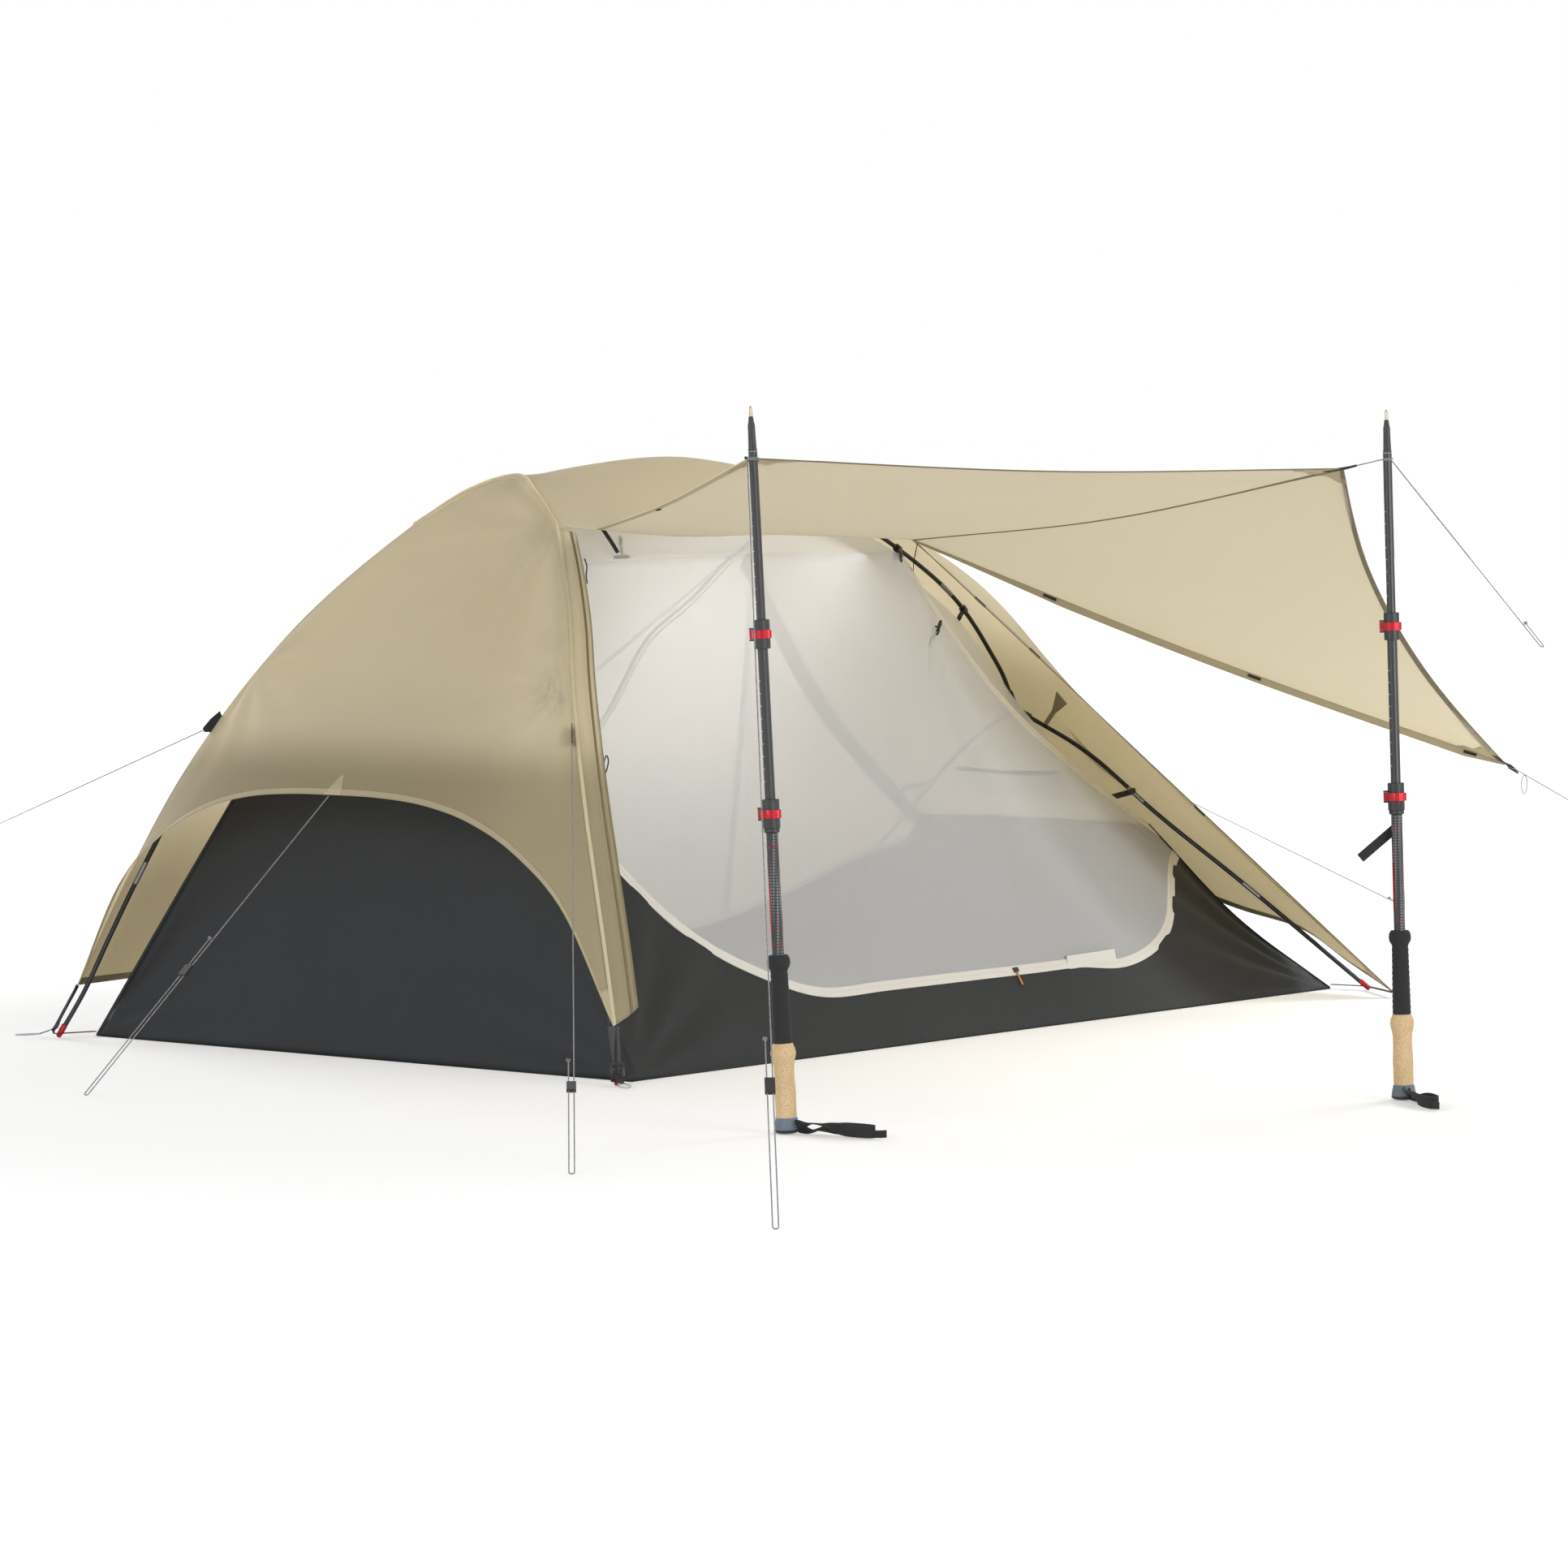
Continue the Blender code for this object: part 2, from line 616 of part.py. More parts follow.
def fly_guides():
    """Five guides from the head hem to the foot hem: near edge, near middle, ridge and their mirrors."""
    seam = head_seam()
    corner, top = seam[0], seam[-1]
    arch_x = corner.x + HEAD_ARCH_BACK
    ridge_line = spine_curve(FLY_OVER_SPINE)
    hub_top = Vector(ridge_line[0]) + Vector((HUB_COVER_HEAD[0], 0, HUB_COVER_HEAD[1]))
    peak = Vector((arch_x, 0, FLY_HEM_HEIGHT + HEAD_ARCH_HEIGHT))
    header = [top, Vector((HEADER_END_X * 0.3 + top.x * 0.7, -HEADER_HALF, HEADER_HEIGHT + HEADER_ARCH)),
              Vector((HEADER_END_X * 0.6 + top.x * 0.4, -HEADER_HALF, HEADER_HEIGHT + HEADER_ARCH)),
              Vector((HEADER_END_X, -HEADER_HALF, HEADER_HEIGHT))]
    foot_corner = Vector((FLY_FOOT_CORNER[0], -FLY_FOOT_CORNER[1], FLY_FOOT_CORNER[2]))
    roof_ridge = [p for p in ridge_line if p[0] < HEADER_END_X]
    foot_ridge = [p for p in ridge_line if p[0] >= HEADER_END_X]
    crown = Vector((HEADER_END_X, 0, float(np.interp(HEADER_END_X, ridge_line[:, 0], ridge_line[:, 2]))))
    leg = LEGS["foot_leg_near"]
    over = [Vector(at_share(leg, s)) + Vector((0.7, -0.3, 0.65)).normalized() * FLY_OVER_LEG
            for s in (0.80, 0.58, 0.38, 0.19)]
    hub_end = Vector(ridge_line[-1]) + Vector((HUB_COVER_FOOT[0], 0, HUB_COVER_FOOT[1]))
    hem_end = Vector((FOOT_HUB.x + FOOT_HEM_OUT[0], 0, FOOT_ARCH_HEIGHT))
    lift = Vector((0, 0, MIDDLE_LIFT))
    head_end = top.lerp(hub_top, 0.52) + lift
    roof_end = crown.lerp(header[-1], 0.52) + lift
    near = (
        smooth_curve(seam, HEAD_ROWS),
        smooth_curve(header, ROOF_ROWS),
        smooth_curve([header[-1], foot_corner], FOOT_ROWS),
    )
    middle = (
        smooth_curve([Vector((arch_x, corner.y * MIDDLE_SHARE, peak.z - HEAD_MIDDLE_DROP)),
                      Vector((arch_x + HEAD_MIDDLE[0], -HEAD_MIDDLE[1], HEAD_MIDDLE[2])),
                      head_end], HEAD_ROWS),
        smooth_curve([head_end, Vector((ROOF_MIDDLE[0], -HEADER_HALF * MIDDLE_SHARE, ROOF_MIDDLE[1])),
                      roof_end], ROOF_ROWS),
        smooth_curve([roof_end, Vector((FOOT_MIDDLE[0], -FOOT_MIDDLE[1], FOOT_MIDDLE[2])), *over],
                     FOOT_ROWS),
    )
    ridge = (
        smooth_curve([peak, peak.lerp(hub_top, 0.5) + Vector((-0.012, 0, 0.008)), hub_top], HEAD_ROWS),
        smooth_curve([hub_top, *roof_ridge[3::6], crown], ROOF_ROWS),
        smooth_curve([crown, *foot_ridge[4:-4:5], hub_end, hem_end], FOOT_ROWS),
    )
    return near, middle, ridge


def fly_net():
    """The fly's head, roof and foot grids. Their rows run from the near side to the far side."""
    near, middle, ridge = fly_guides()
    grids = []
    flip = np.array([1, -1, 1])
    for edge, half, centre in zip(near, middle, ridge):
        grids.append(net([edge, half, centre, half * flip, edge * flip], ACROSS))
    head, roof, foot = grids
    corner = near[0][0]
    u = np.linspace(-1, 1, ACROSS)
    arch = (1 - np.abs(u) ** 3) ** 0.8
    hem = np.stack([np.full(ACROSS, corner[0]) - HEAD_ARCH_OUT * arch, u * abs(corner[1]),
                    corner[2] + HEAD_ARCH_HEIGHT * arch], axis=1)
    for i in range(HEAD_ROWS):
        head[i] += (hem - head[0]) * (1 - i / (HEAD_ROWS - 1)) ** 2 if i else 0
    head[0] = hem
    foot_corner = near[2][-1]
    shares = [0, *FOOT_HEM_SHARES, 1]
    rise = np.interp(np.abs(u), shares, [FOOT_ARCH_HEIGHT, *FOOT_HEM_HEIGHTS, foot_corner[2]])
    out = np.interp(np.abs(u), shares, [*(FOOT_HUB.x + reach for reach in FOOT_HEM_OUT), foot_corner[0]])
    foot_hem = np.stack([out, u * abs(foot_corner[1]), rise], axis=1)
    for i in range(FOOT_ROWS):
        foot[i] += (foot_hem - foot[-1]) * (i / (FOOT_ROWS - 1)) ** 3 if i < FOOT_ROWS - 1 else 0
    foot[-1] = foot_hem
    return head, roof, draped(foot)


def draped(grid):
    """The foot panel pushed off the poles under it, with its shared edges kept."""
    grid = grid.copy()
    names = ("foot_leg_near", "foot_leg_far", "spine_pole")
    poles = np.concatenate([smooth_curve(POLES[name], 160) for name in names])
    rows, columns = grid.shape[:2]
    free = np.ones((rows, columns))
    free[0] = free[:, 0] = free[:, -1] = 0
    for _ in range(DRAPE_PASSES):
        for corners in cells(rows, columns):
            places = np.array([grid[p] for p in corners])
            normal = np.cross(places[1] - places[0], places[2] - places[0])
            normal *= (1 if normal[2] > 0 else -1) / np.linalg.norm(normal)
            height = (poles - places[0]) @ normal
            flat = poles - height[:, None] * normal
            corners_1 = np.vstack([places.T, np.ones(3)])
            flat_1 = np.vstack([flat.T, np.ones(len(flat))])
            shares = np.linalg.lstsq(corners_1, flat_1, rcond=None)[0]
            over = (shares.min(axis=0) > -0.02) & (np.abs(height) < DRAPE_REACH)
            short = np.where(over, height + FLY_OVER_FOOT_LEG, 0)
            worst = int(np.argmax(short))
            weight = shares[:, worst] * [free[p] for p in corners]
            if short[worst] > 0 and weight.max() > 0.05:
                for p, w in zip(corners, weight):
                    grid[p] += normal * short[worst] * w / (weight @ weight + 0.2)
    return grid


def cells(rows, columns):
    """The corners of each triangle of a grid, which is split alike on its two halves."""
    for i in range(rows - 1):
        for j in range(columns - 1):
            a, b, c, d = (i, j), (i, j + 1), (i + 1, j + 1), (i + 1, j)
            for half in ([(a, b, c), (a, c, d)] if 2 * j < columns - 1 else [(a, b, d), (b, c, d)]):
                yield half


FLY_HEAD, FLY_ROOF, FLY_FOOT = fly_net()


# The inner tent's net of points


def inner_guides():
    """The inner tent's near edge, near middle and ridge, from the head floor edge to the foot one."""
    head_top = Vector((INNER_HEAD_TOP_X, -INNER_HEADER_HALF, INNER_HEADER_HEIGHT - INNER_HEADER_TILT))
    foot_top = Vector((INNER_FOOT_TOP_X, -INNER_HEADER_HALF, INNER_HEADER_HEIGHT + INNER_HEADER_TILT))
    wing = Vector((WING_TOP[0], -WING_TOP[1], WING_TOP[2]))
    corner = Vector((-HALF_L + FLOOR_RIM, -HALF_W + FLOOR_RIM, WALL_FOOT))
    foot_corner = Vector((HALF_L - FLOOR_RIM, -HALF_W + FLOOR_RIM, WALL_FOOT))
    under = spine_curve(-INNER_DROP)
    crown_head = Vector((INNER_HEAD_TOP_X + INNER_CROWN[0], 0, INNER_CROWN[1]))
    step = INNER_POLE_STEP
    roof = [p for p in under if crown_head.x + step < p[0] < INNER_FOOT_TOP_X - step]
    crown_foot = Vector((INNER_FOOT_TOP_X, 0, float(np.interp(INNER_FOOT_TOP_X, under[:, 0], under[:, 2]))))
    slope = [p for p in under if INNER_FOOT_TOP_X + step < p[0] < FOOT_HUB.x - step]
    wing_middle = Vector((wing.x + WING_DIP[0], 0, wing.z + WING_DIP[1]))
    arched = head_top.lerp(foot_top, 0.5) + Vector((0, 0, INNER_HEADER_ARCH))
    near = {
        "head": [corner, *(Vector((x - HALF_L, -y, z)) for x, y, z in INNER_HEAD_EDGE), head_top],
        "roof": [head_top, arched, foot_top],
        "slope": [foot_top, *(Vector((x, -y, z)) for x, y, z in INNER_SLOPE_EDGE), wing],
        "foot": [wing, Vector((HALF_L - INNER_FOOT_EDGE[0], *INNER_FOOT_EDGE[1:])) * Vector((1, -1, 1)),
                 foot_corner],
    }
    ridge = {
        "head": [Vector((corner.x, 0, WALL_FOOT)),
                 *(Vector((x - HALF_L, 0, z)) for x, z in INNER_HEAD_RIDGE), crown_head],
        "roof": [crown_head, *roof[::6], crown_foot],
        "slope": [crown_foot, *slope[::6],
                  Vector((FOOT_HUB.x + INNER_SLOPE_END[0], 0, INNER_SLOPE_END[1])), wing_middle],
        "foot": [wing_middle, Vector((HALF_L - INNER_FOOT_RIDGE[0], 0, INNER_FOOT_RIDGE[1])),
                 Vector((foot_corner.x, 0, WALL_FOOT))],
    }
    return near, ridge


INNER_ACROSS = 9
INNER_ROWS = {"head": 10, "roof": 10, "slope": 9, "foot": 7}
WALL_ROWS = 6
DOOR_ROWS = INNER_ROWS["head"] - WALL_ROWS + 1
SIDE_LEVELS = (INNER_ROWS["head"] - 1) * (INNER_ROWS["foot"] - 1) + 1


def inner_net():
    """The inner tent's grids from head to foot, and its near edge's points."""
    near, ridge = inner_guides()
    flip = np.array([1, -1, 1])
    grids, edges = {}, {}
    for part, rows in INNER_ROWS.items():
        edge = smooth_curve(near[part], rows)
        centre = smooth_curve(ridge[part], rows)
        bulge = np.array([0, 0, INNER_BULGE]) if part in ("roof", "slope") else np.zeros(3)
        sine = np.sin(np.linspace(0, math.pi, rows))[:, None] if part == "slope" else np.ones((rows, 1))
        half = edge * 0.5 + centre * 0.5 + bulge * sine
        if part in ("head", "foot"):
            across = np.linspace(-1, 1, INNER_ACROSS)
            grids[part] = np.array([[(e[0] * u * u + c[0] * (1 - u * u), abs(e[1]) * u,
                                      e[2] * u * u + c[2] * (1 - u * u)) for u in across]
                                    for e, c in zip(edge, centre)])
        else:
            grids[part] = net([edge, half, centre, half * flip, edge * flip], INNER_ACROSS)
        edges[part] = edge
    grids["roof"][0] = grids["head"][-1]
    grids["slope"][-1] = grids["foot"][0]
    return grids, edges


INNER, INNER_EDGE = inner_net()


def side_panel():
    """The near long side as one patch from the floor up to the header, and its door zip's heights."""
    top = np.concatenate([INNER_EDGE["roof"], INNER_EDGE["slope"][1:]])
    share = np.concatenate([np.linspace(0, 0.6, INNER_ROWS["roof"]),
                            np.linspace(0.6, 1.0, INNER_ROWS["slope"])[1:]])
    left, right = INNER_EDGE["head"], INNER_EDGE["foot"][::-1]
    bottom = np.array([left[0] + (right[0] - left[0]) * s for s in share])
    levels = np.linspace(0, 1, SIDE_LEVELS)
    grid = np.zeros((SIDE_LEVELS, len(top), 3))
    for i, v in enumerate(levels):
        start, end = at_share(left, v), at_share(right, v)
        for j, u in enumerate(share):
            ruled = (1 - v) * bottom[j] + v * top[j] + (1 - u) * start + u * end
            corners = ((1 - u) * (1 - v) * bottom[0] + u * (1 - v) * bottom[-1]
                       + (1 - u) * v * top[0] + u * v * top[-1])
            grid[i, j] = ruled - corners
    zip_line = [(0, (WALL_ROWS - 1) / (INNER_ROWS["head"] - 1))]
    zip_line += DOOR_ZIP + [(1, (WALL_ROWS - 1) / (INNER_ROWS["foot"] - 1))]
    zip_level = np.interp(share, *zip(*zip_line))
    for j, u in enumerate(share):
        if DOOR_STRAIGHT[0] <= u <= DOOR_STRAIGHT[1]:
            zip_level[j] = np.interp(DOOR_ZIP_HEIGHT, grid[:, j, 2], levels)
    return grid, share, zip_level


def column_piece(grid, low, high, rows):
    """A part of each column of the side patch, between two shares of its height."""
    count = grid.shape[1]
    piece = np.zeros((rows, count, 3))
    levels = np.linspace(0, 1, grid.shape[0])
    for j in range(count):
        for i, v in enumerate(np.linspace(low[j], high[j], rows)):
            piece[i, j] = [np.interp(v, levels, grid[:, j, k]) for k in range(3)]
    return piece


SIDE, SIDE_SHARE, ZIP_LEVEL = side_panel()


# The inner tent


def build_inner():
    corners = [(-HALF_L, -HALF_W), (HALF_L, -HALF_W), (HALF_L, HALF_W), (-HALF_L, HALF_W)]
    floor = [(x, y, z) for z in (0, FLOOR_THICKNESS) for x, y in corners]
    add_solids("tub_floor", [(floor, [[0, 1, 2, 3], [4, 5, 6, 7], [0, 1, 5, 4], [1, 2, 6, 5],
                                      [2, 3, 7, 6], [3, 0, 4, 7]])], "charcoal")
    flip = np.array([1, -1, 1])
    floor_line = np.zeros(len(SIDE_SHARE))
    full = np.ones(len(SIDE_SHARE))
    wall = column_piece(SIDE, floor_line, ZIP_LEVEL, WALL_ROWS)
    door = column_piece(SIDE, ZIP_LEVEL, full, DOOR_ROWS)
    add_solids("tub_front_wall", [cloth(wall)], "charcoal")
    add_solids("tub_back_wall", [cloth(wall * flip)], "charcoal")
    add_solids("door_mesh", [cloth(door)], "mesh")
    add_solids("back_mesh", [cloth(door * flip)], "mesh")
    add_solids("tub_head_wall", [cloth(INNER["head"][:WALL_ROWS])], "charcoal")
    add_solids("tub_foot_wall", [cloth(INNER["foot"])], "charcoal")
    canopy = np.concatenate([INNER["head"][WALL_ROWS - 1:], INNER["roof"][1:], INNER["slope"][1:]])
    return add_solids("canopy_mesh", [cloth(canopy)], "mesh")


# The fly sheet and the awning

SEAM_LINE = FLY_HEAD[:, 0]
HEADER_LINE = FLY_ROOF[:, 0]
FOOT_EDGE = FLY_FOOT[:, 0]


def placket_grid():
    """The storm flap beside the near head leg, where the awning's zip runs."""
    low, high = Vector((0.85, -0.20, 0.48)), Vector((0.96, 0.03, -0.27))
    grid = []
    for i, place in enumerate(SEAM_LINE):
        way = low.lerp(high, i / (len(SEAM_LINE) - 1)).normalized() * PLACKET_WIDTH
        middle = place + np.array(way) / 2 - np.array((0, PLACKET_FOLD, 0))
        grid.append([place, middle, place + np.array(way)])
    return np.array(grid)


def build_fly():
    panels = {}
    for name, grid in (("fly_head", FLY_HEAD), ("fly_roof", FLY_ROOF), ("fly_foot", FLY_FOOT)):
        panels[name] = add_solids(name, [cloth(grid)], "tan")
    add_solids("fly_placket", [cloth(placket_grid())], "tan")
    flip = np.array([1, -1, 1])
    left = SEAM_LINE * flip
    header = HEADER_LINE * flip
    right = FOOT_EDGE * flip
    apex = np.array(VESTIBULE_APEX)
    middle = (apex + header[-1]) / 2 + np.array(VESTIBULE_SEAM_BOW)
    seam = smooth_curve([apex, middle, header[-1]], HEAD_ROWS)
    middle = (left[0] + apex) / 2 + np.array(VESTIBULE_HEAD_HEM_BOW)
    hem = smooth_curve([left[0], middle, apex], ROOF_ROWS)
    front = coons(hem, header, left, seam)
    middle = (apex + right[-1]) / 2 + np.array(VESTIBULE_FOOT_HEM_BOW)
    hem = smooth_curve([apex, middle, right[-1]], 7)
    edge = smooth_curve([right[0], right[-1]], 6 + HEAD_ROWS)
    side = coons(hem, edge[:7], seam, edge[:5:-1])
    add_solids("back_vestibule", [cloth(np.concatenate([front, side[:, 1:]], axis=1))], "tan")
    return panels


def awning_grid():
    """The raised door: a main panel from the header, and a side panel down to its low corner."""
    header = HEADER_LINE[1:]
    a, e = header[0], header[-1]
    b, c, d = np.array(AWNING_B), np.array(AWNING_C), np.array(AWNING_D)
    drop = np.array((0, 0, -AWNING_SAG))
    front = smooth_curve([b, (b + c) / 2 + drop * 0.6, c], len(header))
    near_edge = smooth_curve([a, (a + b) / 2 + drop * 0.5, b], 8)
    seam = smooth_curve([e, (e + c) / 2 + drop, c], 8)
    main = sagged(coons(header, front, near_edge, seam), AWNING_SAG * 0.5)
    hollow = (e - (c + d) / 2) * AWNING_HOLLOW
    hem = smooth_curve([c, c + (d - c) * 0.25 + hollow * 0.75, (c + d) / 2 + hollow,
                        c + (d - c) * 0.75 + hollow * 0.75, d], 8)
    zip_edge = smooth_curve([e, (e + d) / 2 + drop * 0.6, d], 15)
    side = coons(zip_edge[:8], hem, seam, zip_edge[7:])
    return np.concatenate([main, side[:, 1:]], axis=1)


def build_awning():
    add_solids("awning", [cloth(awning_grid())], "tan_light")


# The pole frame


def build_hub(name, hub, ends):
    """A round hub with a socket for each pole end, given as its first two points, that meets there."""
    angles = np.radians([-60, -30, 0, 30, 60])
    profile = [(0, -HUB_BALL)] + [(HUB_BALL * math.cos(a), HUB_BALL * math.sin(a)) for a in angles]
    ball = turned(profile + [(0, HUB_BALL)], 12, 0.1)
    made = add_solids(name, [ball], "black", Matrix.Translation(hub))
    inside = -HUB_BALL / 2
    bore_radius = POLE_RADIUS + TOUCH
    for number, (first, second) in enumerate(ends, 1):
        frame = upright(first, second)
        socket = turned(rod(SOCKET_RADIUS, inside, SOCKET_LENGTH), 12, 0.3)
        combine(made, f"{name}_socket_{number}", [socket], "UNION", frame)
        bore = turned(rod(bore_radius, -TOUCH, SOCKET_LENGTH * 2), 12)
        combine(made, f"{name}_bore_{number}", [bore], "DIFFERENCE", frame)


def build_frame():
    for name, route in POLES.items():
        add_tubes(name, [route], POLE_RADIUS, "pole")
    under = nearest_place(POLES["spine_pole"], (RIDGE_POLE_X, 0, HEAD_HUB.z))
    under.z -= POLE_RADIUS + RIDGE_POLE_RADIUS + RIDGE_POLE_GAP
    half = RIDGE_POLE_SPAN / 2
    arc = [(under.x, y, under.z - RIDGE_POLE_DROP * (y / half) ** 2) for y in np.linspace(-half, half, 11)]
    add_tubes("ridge_pole", [arc], RIDGE_POLE_RADIUS, "pole")
    spine = POLES["spine_pole"]
    legs = {name: route[:2] for name, route in POLES.items()}
    build_hub("head_hub", HEAD_HUB, [legs["head_leg_near"], legs["head_leg_far"], spine[:2]])
    build_hub("foot_hub", FOOT_HUB, [legs["foot_leg_near"], legs["foot_leg_far"], spine[:-3:-1]])


def nearest(curve, place):
    curve = np.asarray(curve)
    return int(np.argmin(np.linalg.norm(curve - np.array(place), axis=1)))


def clip(pole_point, cloth_point, along):
    """A hook strap that is sewn to the inner tent and reaches to a pole's side."""
    a, b = Vector(pole_point), Vector(cloth_point)
    way = (b - a).normalized()
    return bar(a + way * (POLE_RADIUS + TOUCH), b + way * CLOTH, CLIP_WIDTH, CLIP_THICKNESS, along)


def build_clips(canopy):
    """The straps that hang the inner tent from the spine and the legs."""
    solids = []
    spine = POLES["spine_pole"]
    middle = INNER_ACROSS // 2
    for part, row in (("roof", 3), ("roof", 6), ("slope", 2), ("slope", 4)):
        grid = INNER[part]
        target = grid[row, middle]
        tangent = grid[row + 1, middle] - grid[row - 1, middle]
        solids.append(clip(nearest_place(spine, target), target, tangent))
    for part, row, leg in (("head", 7, "head_leg_near"), ("slope", -2, "foot_leg_near")):
        grid = INNER[part]
        inward = (grid[row, 1] - grid[row, 0]) / np.linalg.norm(grid[row, 1] - grid[row, 0])
        target = grid[row, 0] + inward * CLIP_INSET
        place = np.array(nearest_place(POLES[leg], target))
        tangent = grid[row + 1, 0] - grid[row - 1, 0]
        for side in (1, -1):
            flip = np.array((1, side, 1))
            solids.append(clip(place * flip, target * flip, tangent * flip))
    combine(canopy, "canopy_clips", solids, "UNION")


def build_corners():
    """At each corner, webbing from the tub through a grommet on the pole's foot and up to the fly."""
    up = Vector((0, 0, 1))
    for side, word in ((NEAR, "near"), (FAR, "far")):
        flip = Vector((1, -side, 1))
        for end, part, corner in ((-1, "head", Vector(SEAM_LINE[0])), (1, "foot", Vector(FOOT_EDGE[-1]))):
            leg = LEGS[part + "_leg_near"]
            foot = Vector(leg[0])
            lean = (Vector(leg[3]) - foot).normalized()
            tub = Vector((end * HALF_L, -HALF_W, STRAP_HEIGHT))
            grommet = foot + lean * ((STRAP_HEIGHT - foot.z) / lean.z)
            out = grommet - tub
            out.normalize()
            way = corner - grommet
            if part == "head":
                turn = grommet + out * STRAP_TURN
                path = [tub + out * TOUCH, grommet, turn, turn + out * 0.003 + up * 0.005,
                        corner - way.normalized() * (TOUCH + CLOTH)]
                solid = strip(path, STRAP_WIDTH, STRAP_THICKNESS, out.cross(up))
            else:
                way.normalize()
                path = [tub + out * TOUCH, grommet - out * STRAP_WIDTH, grommet,
                        grommet + way * STRAP_WIDTH, corner - way * (TOUCH + 2 * CLOTH)]
                solid = strip(path, STRAP_THICKNESS, STRAP_WIDTH, up)
            points, faces = solid
            name = f"corner_strap_{part}_{word}"
            made = add_solids(name, [([Vector(p) * flip for p in points], faces)], "webbing", smooth=False)
            hole = turned(rod(POLE_RADIUS + TOUCH, -GROMMET_REACH, GROMMET_REACH))
            combine(made, name + "_grommet", [hole], "DIFFERENCE",
                    upright(grommet * flip, (grommet + lean) * flip))


# The trekking poles


def trek_frames():
    frames = []
    for foot, top in (TREK_1, TREK_2):
        tip = Vector((top.x, top.y, TREK_LENGTH))
        tilt = math.atan2((tip - foot).xy.length, TREK_LENGTH)
        lift = Vector((0, 0, GRIP_BASE_R * math.sin(tilt)))
        frames.append(upright(foot + lift, tip + lift))
    return frames


def placed(solid, frame):
    points, faces = solid
    return [frame @ Vector(p) for p in points], faces


def build_lock(name, radius, height, frame):
    """A clamp collar on a tube's end: two lugs for the lever's pin, and a thumb nut opposite."""
    half = LOCK_HEIGHT / 2
    collar = radius + LOCK_WALL
    made = add_solids(name, [pipe(collar, radius + TOUCH, height - half, height + half)], "black", frame)
    turn = lever_frame(frame, height)
    solids = []
    for sign in (-1, 1):
        z = sign * (LEVER_HEIGHT / 2 + TOUCH + EAR_HEIGHT / 2)
        solids.append(bar((collar - LOCK_WALL / 2, 0, z), (collar + LEVER_KNUCKLE * 2, 0, z),
                          LEVER_KNUCKLE * 2, EAR_HEIGHT, (0, 1, 0)))
    nut = turned(rod(NUT_RADIUS, -LOCK_WALL / 2, NUT_REACH), 10)
    side = upright((-collar, 0, -LEVER_HEIGHT), (-collar - 1, 0, -LEVER_HEIGHT))
    solids.append(placed(nut, side))
    combine(made, name + "_lugs", solids, "UNION", turn)


def lever_frame(frame, height):
    return frame @ Matrix.Translation((0, 0, height)) @ Matrix.Rotation(math.radians(LEVER_FACING), 4, "Z")


def build_lever(name, radius, height, frame):
    """A flip lever: a knuckle round its pin, and a band that wraps round the collar."""
    collar = radius + LOCK_WALL
    pin = collar + LEVER_KNUCKLE + TOUCH
    turn = lever_frame(frame, height) @ Matrix.Translation((pin, 0, 0))
    low, high = -LEVER_HEIGHT / 2, LEVER_HEIGHT / 2
    made = add_solids(name, [turned(rod(LEVER_KNUCKLE, low, high), 16)], "red", turn)
    points = []
    for k in range(LEVER_STEPS + 1):
        angle = math.radians(LEVER_START + (LEVER_SPAN - LEVER_START) * k / LEVER_STEPS)
        flare = LEVER_FLARE * max(0, k - LEVER_STEPS + 3) / 3
        for r in (collar + TOUCH, collar + TOUCH + LEVER_BAND + flare):
            x, y = r * math.cos(angle) - pin, r * math.sin(angle)
            points += [(x, y, low * LEVER_BAND_SHARE), (x, y, high * LEVER_BAND_SHARE)]
    last = len(points) - 4
    faces = [[0, 1, 3, 2], [last, last + 1, last + 3, last + 2]]
    for k in range(LEVER_STEPS):
        at = 4 * k
        faces += [[at + a, at + b, at + 4 + b, at + 4 + a] for a, b in ((0, 1), (1, 3), (3, 2), (2, 0))]
    combine(made, name + "_band", [(points, faces)], "UNION", turn)


